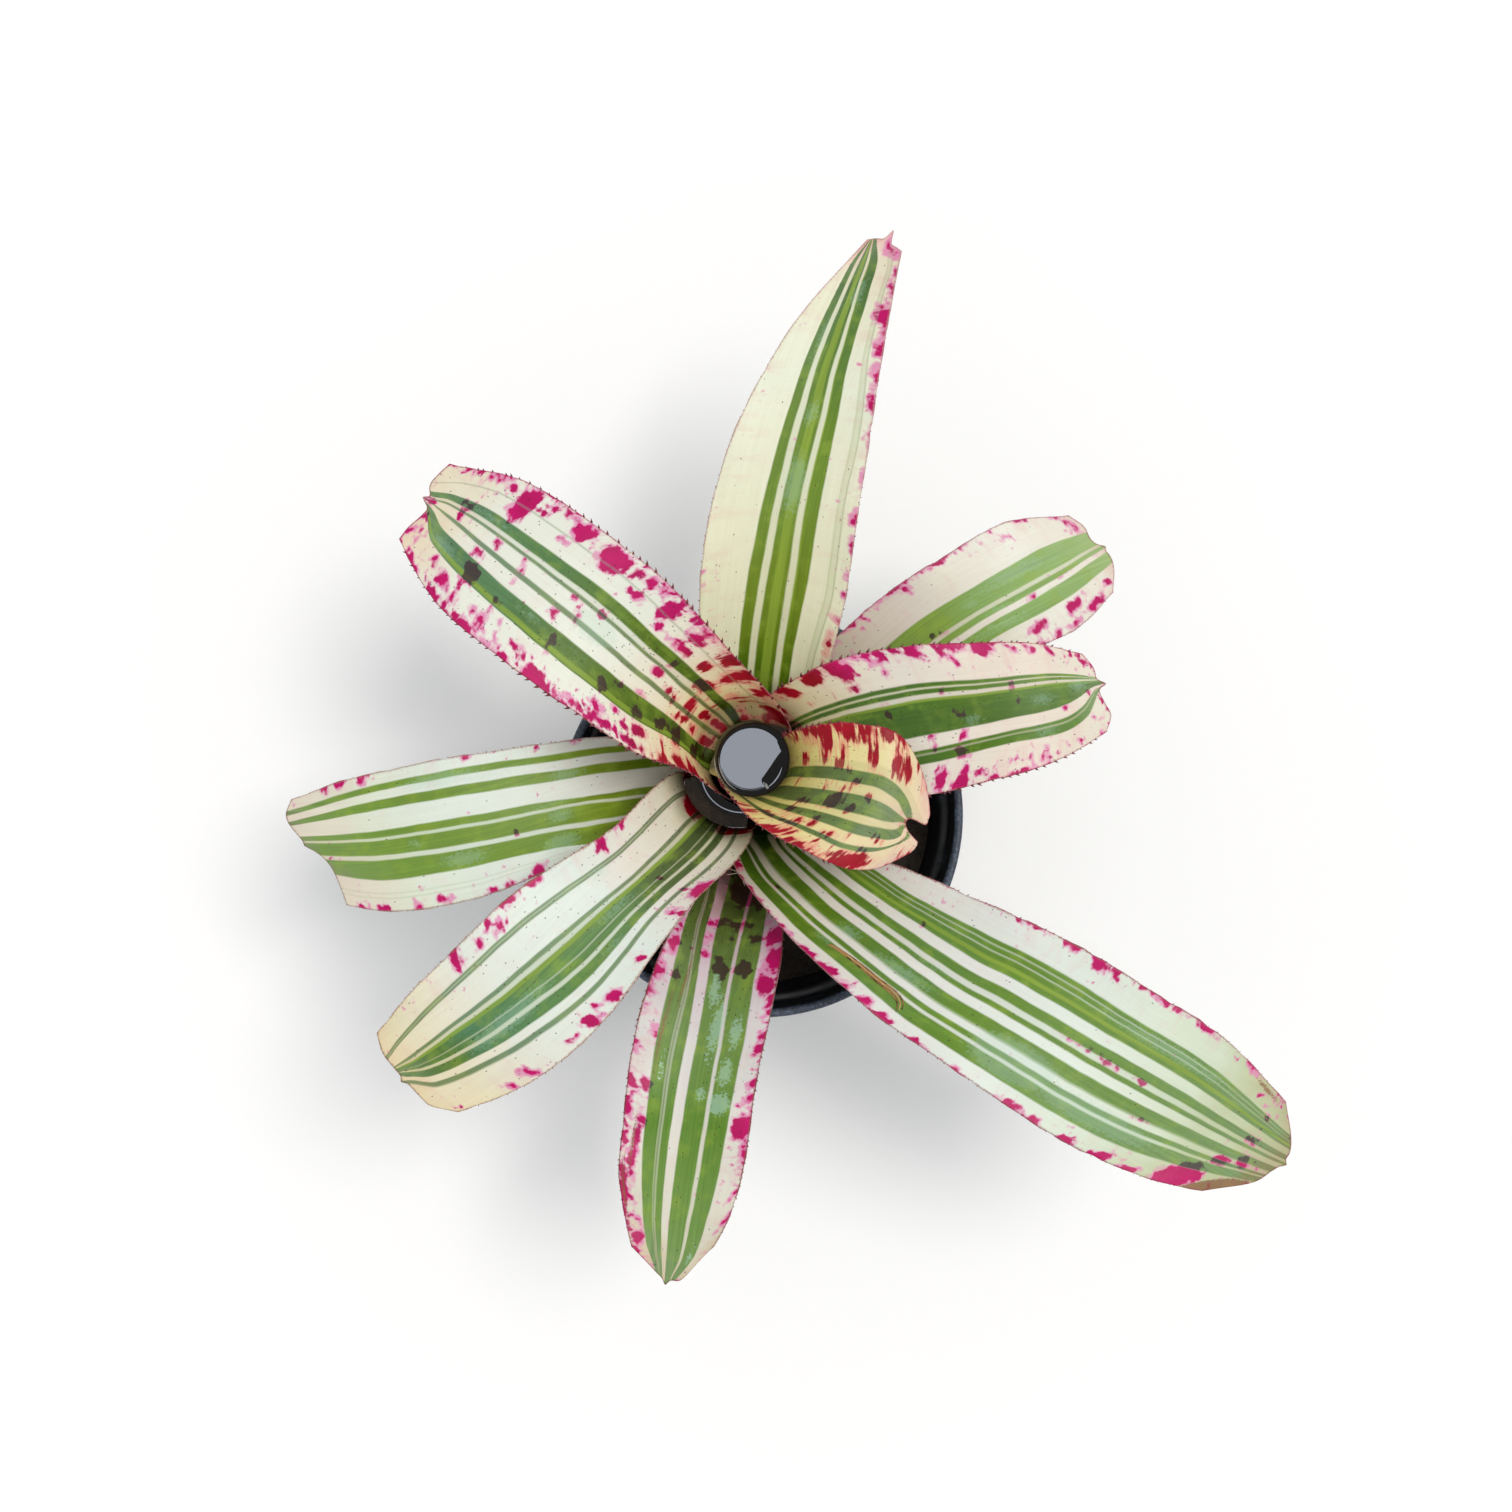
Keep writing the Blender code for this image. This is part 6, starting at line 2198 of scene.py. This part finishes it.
@dataclass
class PottingMix:
    """The potting mix: its CAD body keeps its shape, and bark chips lie on its crown."""

    chip_density: float = 95000.0
    chip_size: float = 1.7
    seed: int = 11

    def tree(self) -> bpy.types.NodeTree:
        """Return a tree that strews flat chips over a surface."""
        inputs = {"Bed": "Geometry", "Density": "Float", "Chip Size": "Float", "Seed": "Int"}
        tree, given = new_tree("bark_chips", {**inputs, "Finish": "Material"}, "Chips")
        bed = {"Mesh": given["Bed"], "Density": given["Density"], "Seed": given["Seed"]}
        strewn = add_node(tree, "GeometryNodeDistributePointsOnFaces", bed)
        ball = {"Radius": given["Chip Size"], "Subdivisions": 1}
        chip = add_node(tree, "GeometryNodeMeshIcoSphere", ball)
        flat = add_node(tree, "GeometryNodeTransform", {"Geometry": chip, "Scale": (1.0, 0.55, 0.32)})
        turns = {0: (-0.7, -0.7, 0.0), 1: (0.7, 0.7, 6.283), "Seed": 3}
        sizes = {0: (0.4, 0.4, 0.4), 1: (1.5, 1.3, 1.2), "Seed": 5}
        turn, size = (
            add_node(tree, "FunctionNodeRandomValue", ends, data_type="FLOAT_VECTOR")
            for ends in (turns, sizes)
        )
        stand = {"Points": strewn.outputs["Points"], "Instance": flat, "Rotation": turn, "Scale": size}
        spread = add_node(tree, "GeometryNodeInstanceOnPoints", stand)
        real = add_node(tree, "GeometryNodeRealizeInstances", {"Geometry": spread})
        dress = {"Geometry": real, "Material": given["Finish"]}
        add_node(tree, "NodeGroupOutput", {0: add_node(tree, "GeometryNodeSetMaterial", dress)})
        return tree

    def build(self, node: bpy.types.Object, pot: NurseryPot) -> bpy.types.Object:
        """Dress the mix and strew its chips.

        Args:
            node: the mix's CAD node.
            pot: the pot that holds it.

        Returns:
            The chips.
        """
        finish = BarkFinish().material()
        node.data.materials.clear()
        node.data.materials.append(finish)
        radii = np.linspace(4.0, pot.inner_radius(MIX_LEVEL) - 2.2, 12)
        count = 48
        verts, faces = [], []
        for k, radius in enumerate(radii):
            height = MIX_LEVEL + 0.4 - 1.2 * (radius / 70) ** 2
            for i in range(count):
                angle = 2 * math.pi * i / count
                verts.append((radius * math.cos(angle), radius * math.sin(angle), height))
                if k:
                    j = (i + 1) % count
                    a, b = (k - 1) * count, k * count
                    faces.append((a + i, b + i, b + j, a + j))
        bed = new_piece("bed", np.array(verts), faces, None)
        values = {"Density": self.chip_density, "Chip Size": self.chip_size * MM}
        values |= {"Seed": self.seed, "Finish": finish}
        return run_tree(bed, self.tree(), values, "bark_chips")


@dataclass(frozen=True)
class StemFinish:
    """Old stem tissue: tan, fibrous, ringed by the scars of shed leaves."""

    name: str = "fibrous_stem"
    light: str = "a58a58"
    dark: str = "4a3320"

    def material(self) -> bpy.types.Material:
        """Return the stem's material."""
        material, tree, shader = new_material(self.name)
        place = object_places(tree)
        fibres = noise_field(tree, stretch(tree, place, (700.0, 700.0, 60.0)), 1.0, 5.0)
        scars = {"Vector": place, "Scale": 130.0, "Distortion": 1.5, "Detail": 2.0}
        rings = add_node(tree, "ShaderNodeTexWave", scars, bands_direction="Z")
        both = math_node(tree, "MULTIPLY", fibres, rings.outputs["Fac"])
        tone = tone_ramp(tree, both, (0.05, self.dark), (0.5, self.light))
        rough = remap(tree, fibres, (0.0, 1.0), (0.6, 0.9))
        bump = bump_node(tree, both, 0.3, 0.8)
        feed(tree, shader, {"Base Color": tone, "Roughness": rough, "Normal": bump})
        return material


@dataclass(frozen=True)
class StillWaterFinish:
    """Still rain water with a mirror surface, its near-black colour painted shade of the deep cup over dark
    leaf bases.
    """

    name: str = "still_cup_water"
    deep: str = "0b0a08"
    brown: str = "1f1610"
    shallow: str = "2c2014"
    film: str = "544c2a"
    skim_and_painted_light: str = "94804c"

    def material(self) -> bpy.types.Material:
        """Return the water's material, which reads its depth attribute."""
        material, tree, shader = new_material(self.name)
        depth = add_node(tree, "ShaderNodeAttribute", attribute_name="depth").outputs["Fac"]
        spot = object_places(tree)
        debris = noise_field(tree, spot, 420.0, 4.0, 0.7)
        murk = math_node(tree, "MULTIPLY_ADD", debris, 0.4, depth)
        sight = math_node(tree, "MULTIPLY", murk, 0.7)
        shallows = ((0.0, self.skim_and_painted_light), (0.13, self.film), (0.38, self.shallow))
        # Near-black where deep: painted shade of the deep cup under the water
        tone = tone_ramp(tree, sight, *shallows, (0.6, self.brown), (0.8, self.deep))
        rough = remap(tree, debris, (0.0, 1.0), (0.01, 0.05))
        bump = bump_node(tree, noise_field(tree, spot, 90.0, 1.0), 0.05, 0.25)
        feed(tree, shader, {"Base Color": tone, "Roughness": rough, "Normal": bump})
        shader.inputs["IOR"].default_value = 1.333
        return material


@dataclass
class HeldWater:
    """The water that the sheaths hold: the central cup and one pool behind it."""

    spokes: int = 144
    film_middle: tuple[float, float] = (CUP_CENTRE.x + 1.0, CUP_CENTRE.y - 0.4)
    film_radius: float = 13.8
    mirror_shift: tuple[float, float] = (-1.6, 0.1)
    groove_radius: float = 11.1
    chord_distance: float = 7.7
    chord_facing: tuple[float, float] = (0.823, -0.568)
    meniscus_height: float = 0.8
    groove_depth: float = 0.016
    groove_width: float = 0.22
    film_drop: float = 0.7
    leafy_bearing: float = 155.0
    painted_light_bearing: float = 226.0
    pool_tilt: float = 0.06
    pool_crest: float = -1.6
    pool_reach: float = 0.86
    pool_columns: int = 33

    def level_height(self, x: float, y: float, level: float) -> float:
        """Return the height in the rosette's frame where a level plane passes over (x, y).

        Args:
            x: place in the rosette's frame.
            y: place in the rosette's frame.
            level: the plane's height in the row frame.

        Returns:
            The height in millimetres.
        """
        turn, foot = rosette_frame()
        below = turn @ np.array((x, y, 0.0)) + foot
        return float((level - below[2]) / turn[2, 2])

    def cup_ring(self, surfaces: dict[str, LeafSurface], level: float, shy: float) -> np.ndarray:
        """Return the outline of the cup's water at a level.

        Args:
            surfaces: the leaves' surfaces.
            level: height in the row frame.
            shy: how far the ring stays from the sheaths.

        Returns:
            The ring in the row frame, in millimetres.
        """
        inner, outer = surfaces["leaf_01"], surfaces["leaf_02"]
        clear, blend = math.radians(4), math.radians(10)
        middle = math.radians(inner.shape.bearings[0])
        ring = []
        for i in range(self.spokes):
            angle = 2 * math.pi * i / self.spokes
            away = abs((angle - middle + math.pi) % (2 * math.pi) - math.pi)
            radius = 12.0
            for _ in range(4):
                x, y = radius * math.cos(angle), radius * math.sin(angle)
                height = self.level_height(x, y, level)
                near = inner.inner_radius(height)
                far = outer.inner_radius(height)
                past = away - inner.half_angle(height) - clear
                mix = min(max(past / blend, 0.0), 1.0)
                radius = near + (far - near) * mix - shy
            ring.append((radius * math.cos(angle), radius * math.sin(angle), height))
        return to_world(np.array(ring))

    def solid(
        self, name: str, rings: list[np.ndarray], material: bpy.types.Material, depths: list[np.ndarray]
    ) -> bpy.types.Object:
        """Join level rings, top middle first, into closed water.

        Args:
            name: the piece's name.
            rings: rings of equal length, from the middle of the surface out and down.
            material: the water's material.
            depths: how deep the water looks at each ring.

        Returns:
            The water.
        """
        count = len(rings[0])
        first = rings[0].mean(axis=0)
        last = rings[-1].mean(axis=0)
        verts = np.concatenate((first[None], last[None], *rings))
        faces = []
        for i in range(count):
            j = (i + 1) % count
            faces.append((0, 2 + i, 2 + j))
            end = 2 + (len(rings) - 1) * count
            faces.append((1, end + j, end + i))
            for k in range(len(rings) - 1):
                a, b = 2 + k * count, 2 + (k + 1) * count
                faces.append((a + i, b + i, b + j, a + j))
        obj = new_piece(name, verts, faces, material)
        rows = [np.broadcast_to(depth, count) for depth in depths]
        write_field(obj.data, "depth", np.concatenate((rows[0][:1], rows[-1][:1], *rows)))
        return obj

    def cup_relief(self, flat: np.ndarray, bearing: np.ndarray, gap: np.ndarray) -> np.ndarray:
        """Return how far the cup's water stands over its level.

        Args:
            flat: places from the film's middle.
            bearing: their bearings from it.
            gap: how far they lie inside the film's edge.

        Returns:
            Heights in millimetres: a meniscus, a shallow groove and a slight tilt on one side.
        """
        steepness = 0.52 + 0.25 * np.cos(bearing)
        rise = self.meniscus_height * np.exp(-np.maximum(gap, 0.0) / steepness)
        rise = rise + 0.05 * np.maximum(-gap, 0.0)
        own = flat - np.array(self.mirror_shift)
        distance = np.hypot(own[:, 0], own[:, 1])
        course = np.degrees(np.arctan2(own[:, 1], own[:, 0]))
        lower_left = np.clip((np.cos(np.radians(course + 118)) - 0.45) / 0.3, 0.0, 1.0)
        across = (distance - self.groove_radius) / self.groove_width
        groove = self.groove_depth * np.exp(-(across**2)) * lower_left
        chord = own @ np.array(self.chord_facing) - self.chord_distance
        tilt = 0.06 * np.maximum(chord, 0.0) * (course > -58) * (gap > 0)
        return rise - groove - tilt

    def build_cup(
        self, surfaces: dict[str, LeafSurface], material: bpy.types.Material
    ) -> bpy.types.Object:
        """Build the water in the central cup.

        Args:
            surfaces: the leaves' surfaces.
            material: the water's material.

        Returns:
            The water.
        """
        level = CUP_CENTRE.z - self.film_drop
        wall = self.cup_ring(surfaces, level, 0.02)
        middle = np.array((*self.film_middle, level))
        away = wall - middle
        reach = np.hypot(away[:, 0], away[:, 1])
        bearing = np.arctan2(away[:, 1], away[:, 0])
        edge = np.minimum(reach - 0.3, self.film_radius)
        calm = self.film_radius - 2.4
        radii = [np.full_like(reach, radius) for radius in np.linspace(0.5, calm, 110)]
        radii += [calm + (edge - calm) * share for share in np.linspace(0.08, 1.0, 13)]
        radii += [edge + (reach - edge) * share for share in (0.25, 0.5, 0.75, 1.0)]

        # The water is paler by its wall, where leaf tissue shows through, and palest in one sector as
        # painted light where the leaves shade the water
        leafy = np.clip((np.cos(bearing - math.radians(self.leafy_bearing)) + 0.3) / 0.8, 0.0, 1.0)
        # Painted light: a paler tone in one sector that the leaves shade
        painted_light_sector = np.cos(bearing - math.radians(self.painted_light_bearing))
        painted_light_sector = np.clip((painted_light_sector - 0.82) / 0.12, 0.0, 1.0)
        rings, depths = [], []
        for radius in radii:
            gap = edge - radius
            flat = np.stack((np.cos(bearing), np.sin(bearing)), axis=-1) * radius[:, None]
            ring = middle + np.concatenate((flat, self.cup_relief(flat, bearing, gap)[:, None]), axis=-1)
            rings.append(ring)
            near = np.clip(1.0 - gap / 1.2, 0.0, 1.0) * (0.35 + 0.35 * leafy)
            depths.append(1.0 - near - np.clip(-gap / 0.8, 0.0, 1.0) * (0.3 * leafy + 0.4 * painted_light_sector))
        for drop in (4.0, 10.0, 18.0, 26.0, 32.0):
            rings.append(self.cup_ring(surfaces, level - drop, 0.3))
            depths.append(np.ones_like(reach))
        return self.solid("cup_water", rings, material, depths)

    def pool_loops(self, trough: LeafSurface, back: LeafSurface) -> list[np.ndarray]:
        """Return the outlines of the pool, from its level down.

        Args:
            trough: the leaf whose axil holds it.
            back: the leaf that it stands against.

        Returns:
            Loops in the row frame: along the trough's face, then back along the other leaf.
        """
        shares = np.linspace(-self.pool_reach, self.pool_reach, self.pool_columns)
        rows = np.linspace(0.3 * trough.sheath_length, trough.sheath_length + 35.0, 240)
        heights = to_world(trough.points(rows[:, None], shares[None, :]))[..., 2]
        loops = []
        for drop, shy in ((0.0, 0.5), (2.5, 0.55), (6.5, 0.6), (11.0, 0.7)):
            outer, inner = [], []
            for share, column in zip(shares, heights.T):
                row = np.interp(POOL_LEVEL - drop, column, rows)
                x, y, z = trough.points(np.array(row), np.array(share))
                reach = math.hypot(x, y) - shy
                angle = math.atan2(y, x)
                outer.append((reach * math.cos(angle), reach * math.sin(angle), z))
                wall = min(back.inner_radius(z) + BLADE_THICKNESS + 0.05, reach - 0.2)
                inner.append((wall * math.cos(angle), wall * math.sin(angle), z))
            loops.append(to_world(np.array(outer + inner[::-1])))
        return loops

    def build_pool(
        self, surfaces: dict[str, LeafSurface], material: bpy.types.Material
    ) -> bpy.types.Object:
        """Build the small pool between leaf_04 and the back of leaf_02.

        Args:
            surfaces: the leaves' surfaces.
            material: the water's material.

        Returns:
            The water.
        """
        trough = surfaces["leaf_04"]
        loops = self.pool_loops(trough, surfaces["leaf_02"])
        top = loops[0]
        middle = (top[: self.pool_columns] + top[self.pool_columns :][::-1]) / 2
        spine = np.concatenate((middle, middle[::-1]))
        reach = np.linalg.norm(top - spine, axis=-1)
        bearing = math.radians(trough.shape.bearings[0])
        outward = np.array((math.cos(bearing), math.sin(bearing)))

        # The surface tilts outwards, with a low crest across it and a lip at its edge
        rings, depths = [], []
        for share in np.linspace(0.05, 1.0, 26):
            ring = spine + (top - spine) * share
            along = (ring - spine)[:, :2] @ outward
            crest = 0.05 * np.exp(-(((along - self.pool_crest) / 0.4) ** 2))
            rise = 0.12 * np.exp(-reach * (1.0 - share) / 0.3)
            ring[:, 2] = POOL_LEVEL - self.film_drop - self.pool_tilt * along + crest + rise
            rings.append(ring)
            depths.append(1.0 - 0.68 * np.clip((along - self.pool_crest) / 1.8, 0.0, 1.0))
        rings += loops[1:]
        depths += [1.0] * (len(loops) - 1)
        return self.solid("pool_water", rings, material, depths)


@dataclass(frozen=True)
class StudioFloorFinish:
    """Matt white paper roll: bright, with the faintest unevenness."""

    name: str = "white_paper_floor"
    colour: str = "fefefe"
    shade: str = "fafafa"

    def material(self) -> bpy.types.Material:
        """Return the floor's material."""
        material, tree, shader = new_material(self.name)
        noise = noise_field(tree, object_places(tree), 3.0, 3.0)
        tone = mix_colours(tree, noise, linear(self.colour), linear(self.shade))
        feed(tree, shader, {"Base Color": tone})
        shader.inputs["Roughness"].default_value = 0.95
        shader.inputs["Specular IOR Level"].default_value = 0.0
        return material


@dataclass
class Studio:
    """The pale floor, soft light from above and to the right, and the camera overhead."""

    ambient: float = 0.62
    key_strength: float = 1.5
    key_spread: float = 24.0
    key_azimuth: float = 28.0
    key_elevation: float = 69.0
    panel_power: float = 1.7
    panel_size: float = 0.2
    panel_height: float = 2.4
    floor_side: float = 12000.0

    def add_light(
        self, name: str, kind: str, place: Vector, strength: float, colour: str
    ) -> bpy.types.Light:
        """Hang a light that faces the plant.

        Args:
            name: the light's name.
            kind: its type.
            place: where it hangs, in metres.
            strength: watts, or watts a square metre for a sun.
            colour: its colour.

        Returns:
            The light's data.
        """
        light = bpy.data.lights.new(name, kind)
        light.energy = strength
        light.color = linear(colour)[:3]
        lamp = bpy.data.objects.new(name, light)
        lamp.location = place
        aim = Vector((0.0, 0.0, 0.1)) - place
        lamp.rotation_euler = aim.to_track_quat("-Z", "Y").to_euler()
        bpy.context.scene.collection.objects.link(lamp)
        return light

    def hang_lights(self) -> None:
        """Set the ambient light, the sun-like key light and the panel overhead."""
        world = bpy.data.worlds.new("studio_air")
        world.use_nodes = True
        background = world.node_tree.nodes["Background"]
        background.inputs["Color"].default_value = linear("fbfcff")
        background.inputs["Strength"].default_value = self.ambient
        bpy.context.scene.world = world
        azimuth, elevation = math.radians(self.key_azimuth), math.radians(self.key_elevation)
        flat = math.cos(elevation)
        away = Vector((flat * math.cos(azimuth), flat * math.sin(azimuth), math.sin(elevation)))
        key = self.add_light("key_softbox", "SUN", away * 2.0, self.key_strength, "fffcf6")
        key.angle = math.radians(self.key_spread)
        overhead = Vector((CAMERA_PLACE.x * MM, CAMERA_PLACE.y * MM, self.panel_height))
        panel = self.add_light("overhead_panel", "AREA", overhead, self.panel_power, "e2e9f8")
        panel.shape = "DISK"
        panel.size = self.panel_size

    def set_camera(self) -> None:
        """Hang the photograph's camera over the plant."""
        camera = bpy.data.cameras.new("overhead_camera")
        camera.sensor_width = SENSOR_WIDTH
        camera.lens = FOCAL_PIXELS / FRAME_PIXELS * SENSOR_WIDTH
        camera.clip_start = 0.05
        camera.clip_end = 50.0
        eye = bpy.data.objects.new("overhead_camera", camera)
        eye.location = CAMERA_PLACE * MM
        bpy.context.scene.collection.objects.link(eye)
        bpy.context.scene.camera = eye

    def build(self) -> None:
        """Set up the floor, the lights and the camera."""
        bpy.context.scene.view_settings.view_transform = "Standard"
        half = self.floor_side / 2
        corners = ((-half, -half, 0.0), (half, -half, 0.0), (half, half, 0.0), (-half, half, 0.0))
        floor = new_piece("studio_floor", np.array(corners), [(0, 1, 2, 3)], StudioFloorFinish().material())
        self.hang_lights()
        self.set_camera()


def main() -> None:
    """Dress the potted plant, piece by piece, and set up the studio."""
    logging.basicConfig(level=logging.INFO, format="%(message)s")
    for obj in list(bpy.data.objects):
        bpy.data.objects.remove(obj, do_unlink=True)
    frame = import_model()

    pot = NurseryPot()
    claim(pot.build(), "pot_plastic", "pot")
    chips = PottingMix().build(frame["nodes"]["potting_mix"], pot)
    claim(chips, "potting_mix")
    stem = frame["nodes"]["stem"]
    stem.data.materials.clear()
    stem.data.materials.append(StemFinish().material())

    horn = HornFinish().material()
    spines = MarginalSpines()
    spine_tree = spines.tree()
    surfaces = {}
    for number, shape in enumerate(SHAPES, start=1):
        leaf = Leaf(shape, DRESSES[shape.name], number)
        blade, surface = leaf.build()
        surfaces[shape.name] = surface
        claim(blade, "banded_leaf", shape.name)
        claim(spines.build(leaf, surface, spine_tree, horn), "banded_leaf")

    threads = DryThreads()
    for piece in (*threads.scratch(surfaces["leaf_06"]), threads.fibres()):
        claim(piece, "banded_leaf")

    water = HeldWater()
    finish = StillWaterFinish().material()
    claim(water.build_cup(surfaces, finish), "water", "tank_water")
    claim(water.build_pool(surfaces, finish), "water", "axil_water")
    Studio().build()


if __name__ == "__main__":
    main()
